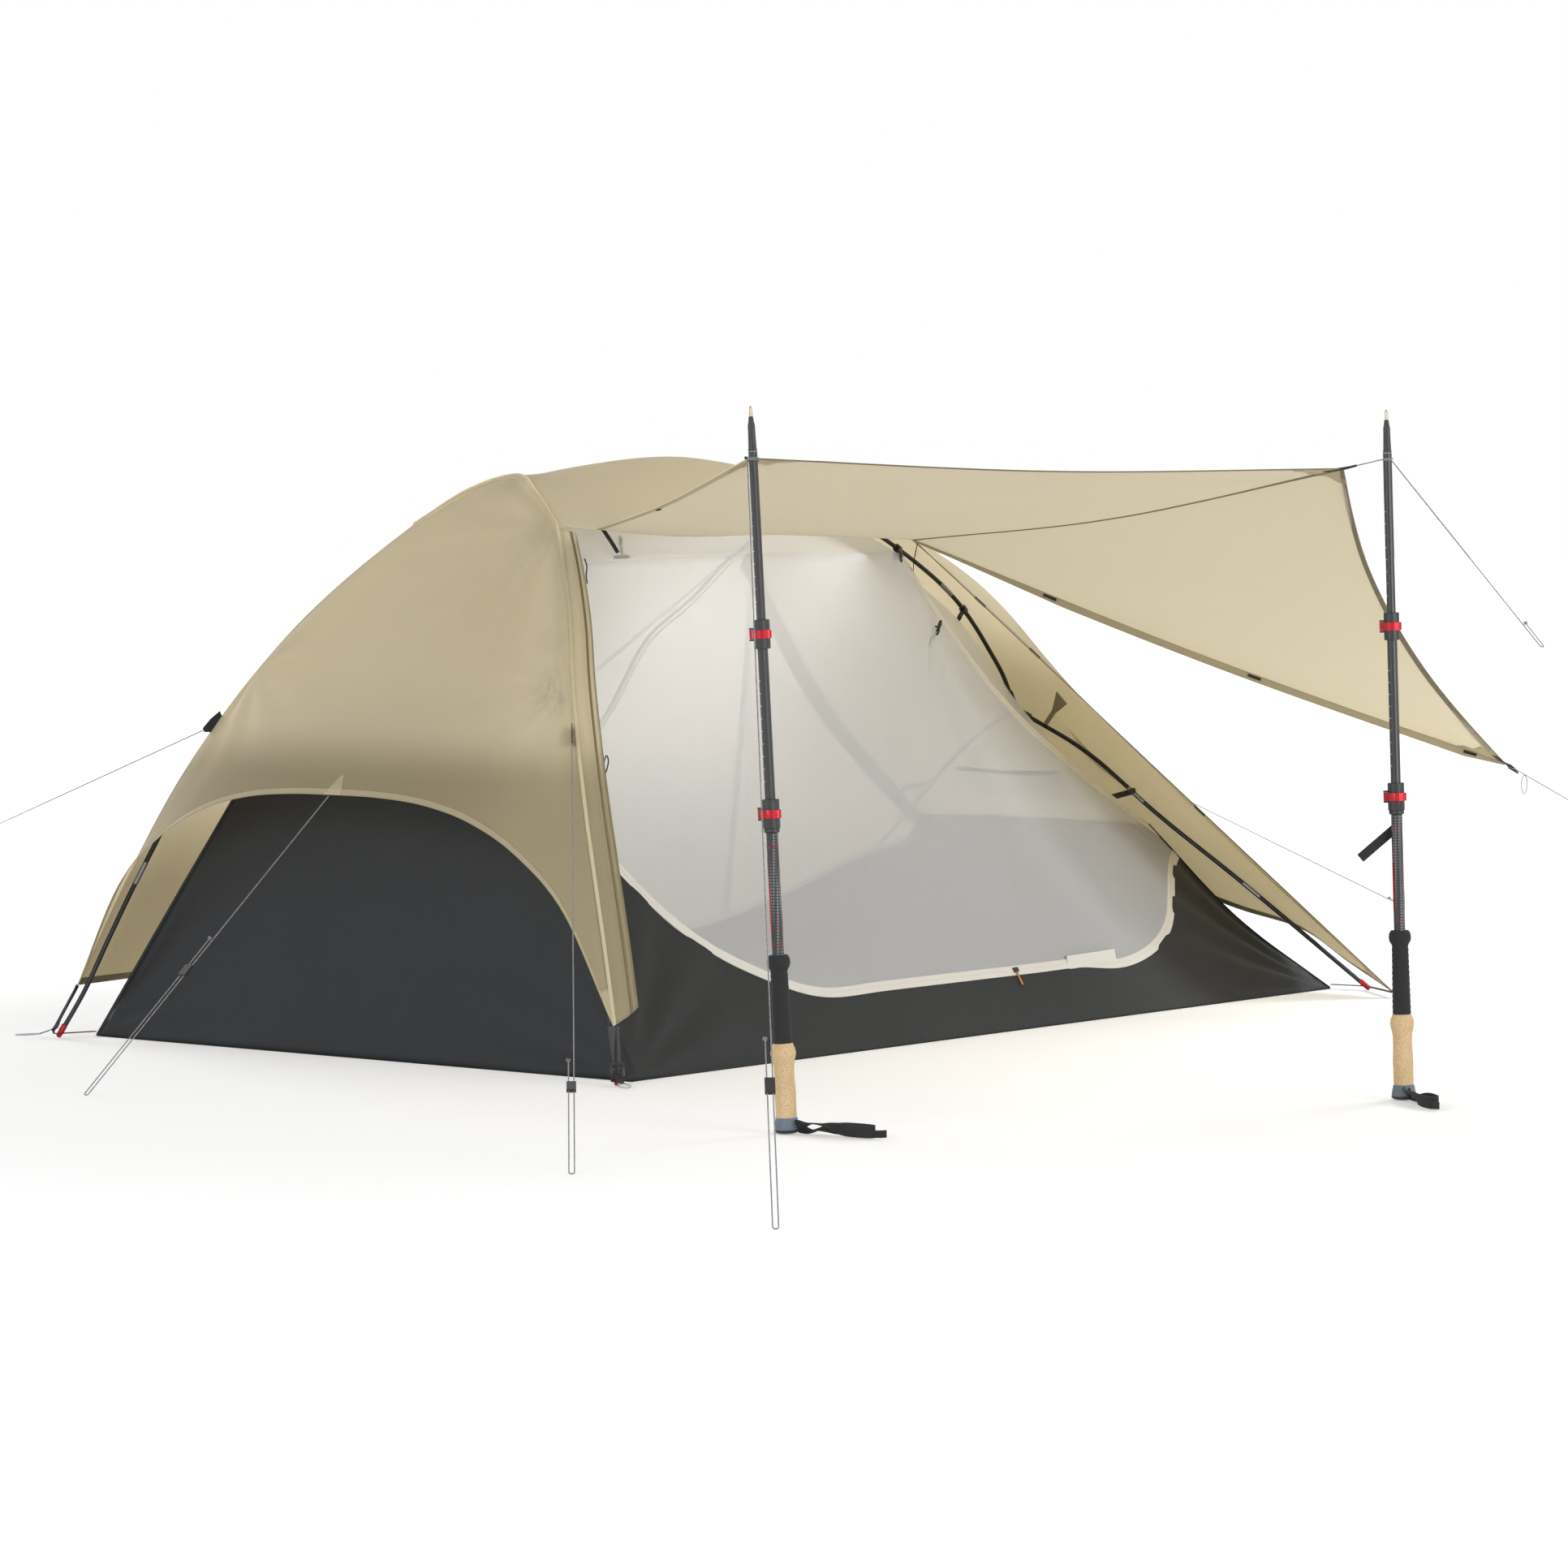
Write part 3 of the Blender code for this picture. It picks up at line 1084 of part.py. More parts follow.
def build_treks():
    bore = TREK_UPPER_R + TOUCH
    low = TREK_HEAD_TOP + TOUCH
    for number, frame in enumerate(trek_frames(), 1):
        name = f"trek_{number}_"
        grip = [(0, 0), (GRIP_BASE_R, 0), *GRIP_OUTLINE]
        grip += [(bore, TREK_CORK_TOP), (bore, low), (0, low)]
        foot = TREK_CORK_TOP + TOUCH
        foam = [(FOAM_R, foot), *FOAM_OUTLINE, (bore, TREK_FOAM_TOP), (bore, foot)]
        add_solids(name + "cork_grip", [turned(grip)], "cork", frame)
        add_solids(name + "foam_grip", [turned(foam)], "foam", frame)
        tubes = (("upper_tube", TREK_UPPER_R, low + TOUCH, TREK_UPPER_TOP, "black"),
                 ("middle_tube", TREK_MIDDLE_R, TREK_UPPER_TOP - TREK_INSERT, TREK_MIDDLE_TOP, "black"),
                 ("lower_tube", TREK_LOWER_R, TREK_MIDDLE_TOP - TREK_INSERT, TREK_FERRULE_Z, "pole"))
        for part, radius, start, end, colour in tubes:
            add_solids(name + part, [pipe(radius, radius - TREK_WALL, start, end)], colour, frame)
        locks = (("upper", TREK_UPPER_R, TREK_UPPER_TOP), ("lower", TREK_MIDDLE_R, TREK_MIDDLE_TOP))
        for level, radius, top in locks:
            height = top - LOCK_HEIGHT * LOCK_OVER_TUBE
            build_lock(name + level + "_lock", radius, height, frame)
            build_lever(name + level + "_lever", radius, height, frame)
        base = TREK_FERRULE_Z + TOUCH
        tip = [(0, base), *((radius, base + rise) for radius, rise in TIP_OUTLINE)]
        tip += [(TIP_POINT[0], TREK_LENGTH - TIP_POINT[1]), (0, TREK_LENGTH)]
        add_solids(name + "tip", [turned(tip)], "steel", frame)
    build_wrist_strap("trek_1_wrist_strap", TREK_1[0], STRAP_1_WAY, STRAP_1_LENGTH)
    build_wrist_strap("trek_2_wrist_strap", TREK_2[0], STRAP_2_WAY, STRAP_2_LENGTH)


def build_wrist_strap(name, foot, way, length):
    """A webbing loop that lies on its edge on the ground beside the handle."""
    way = Vector((*way, 0)).normalized()
    across = way.cross(Vector((0, 0, 1)))
    start = GRIP_HEAD_R
    plan = [(start, 0.004), (0.05, 0.010), (0.10, 0.015), (length - 0.02, 0.014), (length, 0.0),
            (length - 0.02, -0.012), (0.10, -0.009), (0.05, -0.006), (start, -0.004)]
    base = foot + Vector((0, 0, WRIST_WIDTH / 2 + TOUCH))
    path = smooth_curve([base + way * x + across * y for x, y in plan], 26)
    add_solids(name, [strip(path, WRIST_WIDTH, WRIST_THICKNESS, (0, 0, 1))], "webbing", smooth=False)


# Guy lines


def guy_tabs():
    """The fly's four guy points: the panel, the place on it, its outward way and the line's far end."""
    middle = ACROSS // 2
    row = nearest(SEAM_LINE, (-HALF_L + 0.09, -0.464, GUY_TAB_HEIGHT))
    inward = Vector(FLY_HEAD[row, 1] - FLY_HEAD[row, 0]).normalized()
    near = Vector(FLY_HEAD[row, 0]) + inward * TAB_INSET
    hem, above = Vector(FLY_HEAD[0, middle]), Vector(FLY_HEAD[1, middle])
    peak = hem + (above - hem).normalized() * TAB_INSET
    foot = Vector(FLY_FOOT[-3, middle])
    return [("guy_near", "fly_head", near, Vector(STAKE_NEAR)),
            ("guy_far", "fly_head", near * Vector((1, -1, 1)), Vector(STAKE_FAR)),
            ("guy_head", "fly_head", peak, Vector(STAKE_HEAD)),
            ("guy_foot", "fly_foot", foot, Vector(STAKE_FOOT))]


def loop_end(end, along, tail):
    """A turn-back at the end of a line, and the strand that runs back beside it."""
    side = along.cross(Vector((0, 0, 1))).normalized()
    centre = end - along * LOOP_R + side * LOOP_R
    points = []
    for k in range(9):
        angle = -math.pi / 2 + math.pi * k / 8
        points.append(centre + along * LOOP_R * math.cos(angle) + side * LOOP_R * math.sin(angle))
    back = points[-1] - along * tail
    points += [points[-1].lerp(back, s) for s in np.linspace(0.08, 1, 4)]
    return points


def line_route(start, end, tail, count=LINE_POINTS):
    """A taut line from start to its looped end."""
    along = (end - start).normalized()
    stop = end - along * LOOP_R
    return [start.lerp(stop, s) for s in np.linspace(0, 0.985, count)] + loop_end(end, along, tail)


def hitch_route(frame, corner, height, end, tail):
    """A line from an awning corner, round a pole in a falling coil, and on to its end."""
    inside = frame.inverted()
    radius = TREK_LOWER_R + CORD_R + TOUCH
    a, b = inside @ Vector(corner), inside @ Vector(end)
    first = math.atan2(a.y, a.x) + math.acos(radius / math.hypot(a.x, a.y))
    last = math.atan2(b.y, b.x) - math.acos(radius / math.hypot(b.x, b.y))
    while last - first < 2 * math.pi * HITCH_TURNS:
        last += 2 * math.pi
    steps = int((last - first) / (2 * math.pi) * 16)
    fall = HITCH_PITCH * (last - first) / (2 * math.pi)
    coil = []
    for k in range(steps + 1):
        angle = first + (last - first) * k / steps
        coil.append(frame @ Vector((radius * math.cos(angle), radius * math.sin(angle),
                                    height - fall * k / steps)))
    lead = [Vector(corner).lerp(coil[0], s) for s in np.linspace(0, 0.9, 4)]
    return lead + coil[:-1] + line_route(coil[-1], Vector(end), tail), coil[-1]


def tensioner_frame(start, end, distance):
    """A frame for a tensioner on a looped line, at a distance from the line's end."""
    along = (end - start).normalized()
    side = along.cross(Vector((0, 0, 1))).normalized()
    centre = end - along * distance + side * LOOP_R
    return frame_along(centre, centre + along)


def build_cords(panels):
    lines, tabs = {}, {"fly_head": [], "fly_foot": []}
    for name, panel, place, stake in guy_tabs():
        way = (stake - place).normalized()
        tip = place + way * TAB_LENGTH
        side = way.cross(Vector((0, 0, 1)))
        tabs[panel].append(bar(place - way * CLOTH, tip, TAB_WIDTH, TAB_THICKNESS, side))
        start = tip + way * TOUCH
        looped = name in TENSIONER_AT
        tail = TENSIONER_AT[name] + TENSIONER[0] / 2 + TAIL if looped else SHORT_TAIL
        lines[name] = (start, stake)
        add_tubes(name, [line_route(start, stake, tail)], CORD_R, "cord")
    for panel, solids in tabs.items():
        combine(panels[panel], panel + "_tabs", solids, "UNION")
    frames = trek_frames()
    tail = TENSIONER_AT["guy_pole_1"] + TENSIONER[0] / 2 + TAIL
    route, start = hitch_route(frames[0], AWNING_B, HITCH_HEIGHT, STAKE_POLE_1, tail)
    add_tubes("guy_pole_1", [route], CORD_R, "cord")
    lines["guy_pole_1"] = (start, Vector(STAKE_POLE_1))
    route, start = hitch_route(frames[1], AWNING_C, HITCH_HEIGHT, STAKE_POLE_2, SHORT_TAIL)
    add_tubes("guy_pole_2", [route], CORD_R, "cord")
    route = line_route(Vector(AWNING_D), Vector(STAKE_AWNING), SHORT_TAIL)
    add_tubes("guy_awning", [route], CORD_R, "cord")
    for name, distance in TENSIONER_AT.items():
        block = bored_block(TENSIONER, TENSIONER_BORE, 2 * LOOP_R)
        frame = tensioner_frame(*lines[name], distance)
        add_solids(name.replace("guy", "tensioner"), [block], "black", frame, smooth=False)


# The door zip's slider


def build_slider():
    u = SLIDER_SHARE
    levels = np.linspace(0, 1, SIDE.shape[0])

    def on_side(share, level):
        column = [np.interp(share, SIDE_SHARE, [SIDE[i, j, k] for j in range(SIDE.shape[1])])
                  for i in range(SIDE.shape[0]) for k in range(3)]
        column = np.array(column).reshape(-1, 3)
        return Vector([np.interp(level, levels, column[:, k]) for k in range(3)])

    level = float(np.interp(u, SIDE_SHARE, ZIP_LEVEL))
    place = on_side(u, level)
    along = (on_side(u + 0.08, float(np.interp(u + 0.08, SIDE_SHARE, ZIP_LEVEL)))
             - on_side(u - 0.08, float(np.interp(u - 0.08, SIDE_SHARE, ZIP_LEVEL)))).normalized()
    up = (on_side(u, level + 0.05) - on_side(u, level - 0.05)).normalized()
    out = along.cross(up).normalized()
    if out.y > 0:
        out = -out
    centre = place + out * (CLOTH / 2 + SLIDER_GAP + SLIDER[2] / 2)
    add_solids("zip_slider", [bar(centre - along * SLIDER[0] / 2, centre + along * SLIDER[0] / 2,
                                  SLIDER[1], SLIDER[2], up)], "black", smooth=False)
    pivot = centre - up * (SLIDER[1] / 2 + PULL_PIVOT)
    pull = bar((PULL_EYE, 0, 0), (-PULL[1], 0, 0), PULL[0], PULL[2], (0, 0, 1))
    frame = frame_along(pivot, pivot + up, along)
    add_solids("zip_pull", [pull], "orange", frame, smooth=False)


def main():
    clear_scene()
    canopy = build_inner()
    panels = build_fly()
    build_awning()
    build_frame()
    build_clips(canopy)
    build_corners()
    build_treks()
    build_cords(panels)
    build_slider()


main()
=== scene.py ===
# %% [markdown]
# # An ultralight tent with one door raised as an awning
#
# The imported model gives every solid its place. This script dresses those solids: each cloth panel
# becomes a fine curved sheet, each pole a smooth tube with its ferrules, and each small fitting a
# modelled piece. Lengths are in metres. The head end of the tent is towards -X, the open door
# towards -Y, and the ground is z = 0.

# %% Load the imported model
import math

import bmesh
import bpy
import numpy as np
from mathutils import Matrix, Vector


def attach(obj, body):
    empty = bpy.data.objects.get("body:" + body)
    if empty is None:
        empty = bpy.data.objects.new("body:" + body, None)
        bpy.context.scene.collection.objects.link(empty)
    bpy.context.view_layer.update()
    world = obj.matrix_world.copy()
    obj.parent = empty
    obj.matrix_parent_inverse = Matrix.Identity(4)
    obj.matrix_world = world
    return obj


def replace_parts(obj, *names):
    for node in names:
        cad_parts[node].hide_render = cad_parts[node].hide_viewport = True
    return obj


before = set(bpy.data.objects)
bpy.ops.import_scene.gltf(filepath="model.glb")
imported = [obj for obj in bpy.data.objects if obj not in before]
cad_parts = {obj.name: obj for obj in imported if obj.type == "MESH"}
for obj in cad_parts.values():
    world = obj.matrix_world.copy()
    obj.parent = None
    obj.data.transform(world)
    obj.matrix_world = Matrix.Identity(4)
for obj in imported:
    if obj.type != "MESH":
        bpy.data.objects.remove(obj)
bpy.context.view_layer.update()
UP = Vector((0, 0, 1))

# %% [markdown]
# ## The camera
#
# The camera stands where the photograph was taken: low, far off with a long lens, and turned to look
# along the tent from the head end. Its place was solved from the four corners of the floor, the feet
# and tips of the two trekking poles, and the horizon. A long lens keeps the far side nearly as large
# as the near one.

# %% Place the camera
PICTURE_SIZE, FOCAL_PIXELS, HORIZON_PIXELS, SENSOR_WIDTH = 1932, 6796.38, 366, 36
CAMERA_PLACE = (-8.4423, -6.6926, 1.0264)
CAMERA_YAW = math.radians(37.959)
CAMERA_PITCH = math.atan(HORIZON_PIXELS / FOCAL_PIXELS)


def placed(name, data):
    """An object of the scene that shows the data."""
    made = bpy.data.objects.new(name, data)
    bpy.context.scene.collection.objects.link(made)
    return made


camera_data = bpy.data.cameras.new("camera")
camera_data.sensor_width = SENSOR_WIDTH
camera_data.lens = FOCAL_PIXELS / PICTURE_SIZE * SENSOR_WIDTH
camera_data.clip_end = 200
camera = placed("camera", camera_data)
camera.location = CAMERA_PLACE
looking = Vector((math.cos(CAMERA_YAW) * math.cos(CAMERA_PITCH),
                  math.sin(CAMERA_YAW) * math.cos(CAMERA_PITCH), -math.sin(CAMERA_PITCH)))
camera.rotation_euler = looking.to_track_quat("-Z", "Y").to_euler()
bpy.context.scene.camera = camera
print("lens:", round(camera_data.lens, 2), "mm")

# %% [markdown]
# ## Node helpers
#
# A material is a small network of nodes. The helpers keep that readable: one adds a node with its
# settings and its links in one call, one adds a calculation, and one opens a node group with named
# sockets. A group is the right home for an effect that several materials share, because each material
# then gives the group its own colours and sizes. Patterns are drawn on the object's own coordinates, or
# on the cloth's UV map, which holds metres across and along the cloth.

# %% Add nodes and groups in one call
def node(tree, kind, sockets=None, **settings):
    """A new shader node. A socket is given another node's output, or a plain value."""
    made = tree.nodes.new("ShaderNode" + kind)
    for key, value in settings.items():
        setattr(made, key, value)
    for key, value in (sockets or {}).items():
        if isinstance(value, bpy.types.NodeSocket):
            tree.links.new(value, made.inputs[key])
        else:
            made.inputs[key].default_value = value
    return made


def calc(tree, operation, a, b=0):
    """What a Math node works out from one or two values."""
    return node(tree, "Math", {0: a, 1: b}, operation=operation).outputs[0]


def on_object(tree):
    """The place on the object, in metres."""
    return node(tree, "TexCoord").outputs["Object"]


def on_cloth(tree):
    """The place across and along the cloth, in metres."""
    return node(tree, "SeparateXYZ", {0: node(tree, "UVMap").outputs[0]}).outputs


def noise(tree, scale, detail=2, roughness=0.5):
    """Soft random values that stay in their place on the object."""
    values = {"Vector": on_object(tree), "Scale": scale, "Detail": detail, "Roughness": roughness}
    return node(tree, "TexNoise", values).outputs[0]


def open_group(name, inputs, outputs):
    """A node group with named sockets. An input's first value says whether it is a colour or a number."""
    tree = bpy.data.node_groups.new(name, "ShaderNodeTree")
    for socket, value in inputs.items():
        kind = "Color" if isinstance(value, tuple) else "Float"
        made = tree.interface.new_socket(socket, in_out="INPUT", socket_type="NodeSocket" + kind)
        made.default_value = value
    for socket, kind in outputs.items():
        tree.interface.new_socket(socket, in_out="OUTPUT", socket_type="NodeSocket" + kind)
    return tree, tree.nodes.new("NodeGroupInput").outputs, tree.nodes.new("NodeGroupOutput").inputs


def colour(r, g, b):
    """A colour as the eye reads it, 0 to 255, turned into the linear values that a shader takes."""
    return tuple(((c / 255 + 0.055) / 1.055) ** 2.4 if c > 10 else c / 255 / 12.92 for c in (r, g, b)) + (1,)


# %% [markdown]
# ## Ripstop cloth
#
# The fly and the tub are thin coated nylon with a grid of thicker yarns every few millimetres, which
# stops a tear from running. Up close the grid catches the light. From afar only a slight unevenness
# of colour is left, where the coating is thicker or the sheet has been folded.

# %% Group: ripstop
GREY = (0.5, 0.5, 0.5, 1)
ripstop, given, out = open_group(
    "ripstop",
    {"Color": GREY, "Worn": GREY, "Grid": 0.006, "Depth": 0.3, "Crumple": 0.3, "Roughness": 0.6},
    {"Color": "Color", "Roughness": "Float", "Normal": "Vector"})
place = on_cloth(ripstop)
half = calc(ripstop, "MULTIPLY", given["Grid"], 0.5)
lines = [calc(ripstop, "DIVIDE", calc(ripstop, "PINGPONG", place[k], half), half) for k in (0, 1)]
yarn = calc(ripstop, "MAXIMUM", *[calc(ripstop, "LESS_THAN", line, 0.12) for line in lines])
patches, crumple = noise(ripstop, 2.2, 4, 0.55), noise(ripstop, 17, 5, 0.6)
mixed = node(ripstop, "MixRGB", {0: patches, 1: given["Color"], 2: given["Worn"]})
ripstop.links.new(mixed.outputs[0], out["Color"])
rough = node(ripstop, "MapRange", {0: patches, 3: -0.06, 4: 0.06}).outputs[0]
ripstop.links.new(calc(ripstop, "ADD", given["Roughness"], rough), out["Roughness"])
fine_bump = node(ripstop, "Bump", {"Height": yarn, "Strength": given["Depth"], "Distance": 0.0002})
wide_bump = node(ripstop, "Bump", {"Height": crumple, "Strength": given["Crumple"], "Distance": 0.004,
                                   "Normal": fine_bump.outputs[0]})
ripstop.links.new(wide_bump.outputs[0], out["Normal"])

# %% [markdown]
# ## Grain
#
# Plastic, rubber, foam, cork and anodised metal all have a fine random texture, and differ in its
# size, its depth and how far its two colours lie apart. One group serves them all. It reads the
# object's own coordinates, so the grain is the same size everywhere.

# %% Group: grain
grain, given, out = open_group(
    "grain",
    {"Color": GREY, "Second": GREY, "Scale": 300, "Contrast": 0.5, "Depth": 0.2, "Roughness": 0.5},
    {"Color": "Color", "Roughness": "Float", "Normal": "Vector"})
specks = noise(grain, given["Scale"], 3)
clouds = noise(grain, calc(grain, "MULTIPLY", given["Scale"], 0.06))
sharp = node(grain, "MapRange", {0: specks, 1: 0.4, 2: 0.6}).outputs[0]
spread = calc(grain, "MULTIPLY", given["Contrast"], 0.6)
share = calc(grain, "MULTIPLY", calc(grain, "ADD", sharp, clouds), spread)
mixed = node(grain, "MixRGB", {0: share, 1: given["Color"], 2: given["Second"]}, use_clamp=True)
grain.links.new(mixed.outputs[0], out["Color"])
rough = node(grain, "MapRange", {0: clouds, 3: -0.08, 4: 0.08}).outputs[0]
grain.links.new(calc(grain, "ADD", given["Roughness"], rough), out["Roughness"])
bump = node(grain, "Bump", {"Height": specks, "Strength": given["Depth"], "Distance": 0.0005})
grain.links.new(bump.outputs[0], out["Normal"])

# %% [markdown]
# ## Webbing and tape
#
# Straps, bindings and hems are narrow woven bands. Their ribs run across, and a row of stitches runs
# along one edge. The group measures along and across the band on its UV map.

# %% Group: band
band, given, out = open_group(
    "band",
    {"Color": GREY, "Stitch": GREY, "Rib": 0.0012, "Inset": 0.0015, "Depth": 0.4},
    {"Color": "Color", "Normal": "Vector"})
place = on_cloth(band)
rib = calc(band, "DIVIDE", calc(band, "PINGPONG", place[1], given["Rib"]), given["Rib"])
from_row = calc(band, "ABSOLUTE", calc(band, "SUBTRACT", place[0], given["Inset"]))
row = calc(band, "LESS_THAN", from_row, 0.00035)
dash = calc(band, "LESS_THAN", calc(band, "PINGPONG", place[1], 0.0022), 0.0014)
stitch = calc(band, "MULTIPLY", row, dash)
mixed = node(band, "MixRGB", {0: stitch, 1: given["Color"], 2: given["Stitch"]})
band.links.new(mixed.outputs[0], out["Color"])
height = calc(band, "SUBTRACT", rib, calc(band, "MULTIPLY", stitch, 0.5))
bump = node(band, "Bump", {"Height": height, "Strength": given["Depth"], "Distance": 0.0003})
band.links.new(bump.outputs[0], out["Normal"])

# %% [markdown]
# ## Finishes
#
# A finish is a Principled shader fed by one of the groups. A maker for each kind of surface takes what
# differs: the group's own values, and then the numbers that are the same all over the surface, which go
# straight on the shader. Colours are given as the eye reads them in the photograph.

# %% Make a finish from a group
def finish(name, group, values, **shader_values):
    """A material whose shader is fed by a group; plain numbers go on the shader itself."""
    made = bpy.data.materials.new(name)
    made.use_nodes = True
    tree = made.node_tree
    shader = tree.nodes["Principled BSDF"]
    effect = tree.nodes.new("ShaderNodeGroup")
    effect.node_tree = group
    for key, value in values.items():
        effect.inputs[key].default_value = value
    for socket, target in (("Color", "Base Color"), ("Roughness", "Roughness"), ("Normal", "Normal")):
        if socket in effect.outputs:
            tree.links.new(effect.outputs[socket], shader.inputs[target])
    for key, value in shader_values.items():
        shader.inputs[key.replace("_", " ")].default_value = value
    return made


def cloth_finish(name, main, worn, roughness=0.62, crumple=0.22, sheen=0.12):
    """Ripstop in its main colour and the colour of its worn patches."""
    values = {"Color": colour(*main), "Worn": colour(*worn), "Roughness": roughness, "Crumple": crumple}
    return finish(name, ripstop, values, Sheen_Weight=sheen, Sheen_Roughness=0.4, Specular_IOR_Level=0.3)


def woven(name, main, stitch, roughness=0.75, **values):
    """Tape or webbing in its own colour and its thread's."""
    values.update(Color=colour(*main), Stitch=colour(*stitch))
    return finish(name, band, values, Roughness=roughness)


def grained(name, main, second, scale, depth, roughness, contrast=0.5, **shader_values):
    """A hard or foamed surface with grain of two colours, at a scale and a depth."""
    values = {"Color": colour(*main), "Second": colour(*second), "Scale": scale, "Contrast": contrast,
              "Depth": depth, "Roughness": roughness}
    return finish(name, grain, values, **shader_values)


def let_light_through(made, share, tint):
    """Thin cloth glows with the light behind it: a share of the light passes, and takes a tint."""
    tree = made.node_tree
    plain, behind = tree.nodes["Principled BSDF"], node(tree, "BsdfTranslucent", {"Color": tint})
    mixed = node(tree, "MixShader", {0: share, 1: plain.outputs[0], 2: behind.outputs[0]})
    tree.links.new(mixed.outputs[0], tree.nodes["Material Output"].inputs[0])
    return made


FLY_COLOURS, FLY_SHARE, FLY_LIGHT = ((232, 224, 203), (224, 215, 191)), 0.6, colour(246, 239, 221)
# The awning is the fly's own ripstop; its darker colours and smaller share of light let through are painted
# shade.
AWNING_PAINTED_SHADE_COLOURS, AWNING_SHARE, AWNING_LIGHT = ((208, 199, 177), (199, 190, 167)), 0.58, colour(244, 238, 222)
FLY = let_light_through(cloth_finish("fly_ripstop", *FLY_COLOURS), FLY_SHARE, FLY_LIGHT)
AWNING = let_light_through(cloth_finish("awning_ripstop_painted_shade", *AWNING_PAINTED_SHADE_COLOURS), AWNING_SHARE, AWNING_LIGHT)
TUB = cloth_finish("tub_ripstop", (46, 48, 51), (40, 42, 45), 0.6, 0.3, 0.05)
HEM = woven("hem_tape", (122, 112, 84), (150, 140, 110))
PALE_HEM = woven("pale_hem", (205, 194, 160), (180, 168, 132))
BINDING = woven("white_binding", (232, 230, 224), (205, 203, 198), 0.8)
ARCH_HEM = woven("arch_hem", (178, 167, 136), (150, 140, 110))
MID_HEM = woven("mid_hem", (148, 138, 108), (120, 110, 84))
# The far bindings and the far zip use this grey: the white binding with painted shade.
GREY_TAPE = woven("grey_tape", (178, 175, 170), (160, 158, 154), 0.8)
WEBBING = woven("black_webbing", (34, 34, 36), (60, 60, 62), 0.85, Rib=0.0009, Depth=0.7)
POLE = grained("anodised_pole", (62, 64, 68), (48, 50, 54), 500, 0.03, 0.34, Metallic=0.85)
FERRULE = grained("bright_ferrule", (150, 151, 154), (130, 131, 134), 700, 0.03, 0.3, Metallic=0.95)
PLASTIC = grained("black_plastic", (30, 30, 32), (42, 42, 44), 900, 0.1, 0.42)
RED = grained("red_anodised", (176, 26, 38), (150, 18, 30), 600, 0.04, 0.28, Metallic=0.55)
FOAM = grained("foam", (30, 30, 32), (48, 48, 50), 1400, 0.6, 0.92, 0.7)
CORK = grained("cork", (234, 208, 164), (184, 144, 98), 420, 0.45, 0.78, 0.62)
RUBBER = grained("grip_rubber", (112, 124, 138), (92, 102, 114), 800, 0.12, 0.6)
BRASS = grained("tip_metal", (170, 160, 138), (140, 128, 104), 600, 0.05, 0.32, Metallic=1.0)
CORD = grained("guy_cord", (104, 104, 106), (196, 196, 198), 260, 0.4, 0.7, 0.45)
BLACK_CORD = grained("black_cord", (28, 28, 30), (52, 52, 54), 700, 0.4, 0.8)
ORANGE = grained("orange_cord", (222, 148, 70), (198, 124, 52), 700, 0.4, 0.75)
SILVER = grained("silver_cord", (196, 198, 202), (150, 152, 156), 500, 0.3, 0.45)

# %% [markdown]
# ## Insect mesh
#
# The inner tent is no-see-um mesh: white knitted polyester with holes about a millimetre apart. At
# this distance the holes melt into a pale veil that shows what is behind it. The finish draws the
# knit as a mask for Alpha, on the sheet's UV map, so near and far both look right.

# %% Finish: mesh
NET = bpy.data.materials.new("insect_mesh")
NET.use_nodes = True
tree = NET.node_tree
shader = tree.nodes["Principled BSDF"]
KNIT_WAVES = 2600
place = on_cloth(tree)
waves = [calc(tree, "SINE", calc(tree, "MULTIPLY", place[k], KNIT_WAVES)) for k in (0, 1)]
knit = calc(tree, "MAXIMUM", *[calc(tree, "ABSOLUTE", wave) for wave in waves])
cloud = noise(tree, 3.0)
veil = node(tree, "MapRange", {0: knit, 1: 0.3, 2: 1.0, 3: 0.20, 4: 0.42}).outputs[0]
tree.links.new(veil, shader.inputs["Alpha"])
tint = node(tree, "MixRGB", {0: cloud, 1: colour(246, 248, 252), 2: colour(239, 241, 246)})
tree.links.new(tint.outputs[0], shader.inputs["Base Color"])
shader.inputs["Roughness"].default_value = 0.9
print("finishes:", len(bpy.data.materials))

# %% [markdown]
# ## Cords first
#
# Six thin guy lines leave the fly and the awning, and a seventh ties the awning's low corner. They are
# 2 mm braided cord with a few reflective flecks, pulled taut, so each runs dead straight from where it
# is tied to the place where its peg would be. There it turns back in a small loop. Where a tensioner
# sits on it, the cord goes through the tensioner's second hole and ends in a knot. A curve with a
# round bevel is the natural way to make it: the curve's own line is the cord's centre line.

# %% Routes of the guy lines
CORD_R, LOOP_R, SHORT_TAIL, STRAIGHT_POINTS = 0.001, 0.0042, 0.060, 12
TREK_LENGTH, TREK_LOWER_R, HITCH_HEIGHT = 1.155, 0.0075, 1.074
COIL_GAP, COIL_FALL, COIL_STEPS, LEAST_TURNS = 0.0004, 0.0026, 24, 1.1


def loop_end(end, along, tail):
    """A turn back at the end of a line, and the strand that runs back beside it."""
    side = along.cross(UP).normalized()
    centre = end - along * LOOP_R + side * LOOP_R
    points = []
    for k in range(13):
        angle = math.pi * (k / 12 - 0.5)
        points.append(centre + along * LOOP_R * math.cos(angle) + side * LOOP_R * math.sin(angle))
    back = points[-1] - along * tail
    return points + [points[-1].lerp(back, s) for s in np.linspace(0.05, 1, 8)]


def line_route(start, end, tail):
    """A taut line from start to its looped end."""
    along = (end - start).normalized()
    stop = end - along * LOOP_R
    return [start.lerp(stop, s) for s in np.linspace(0, 0.99, STRAIGHT_POINTS)] + loop_end(end, along, tail)


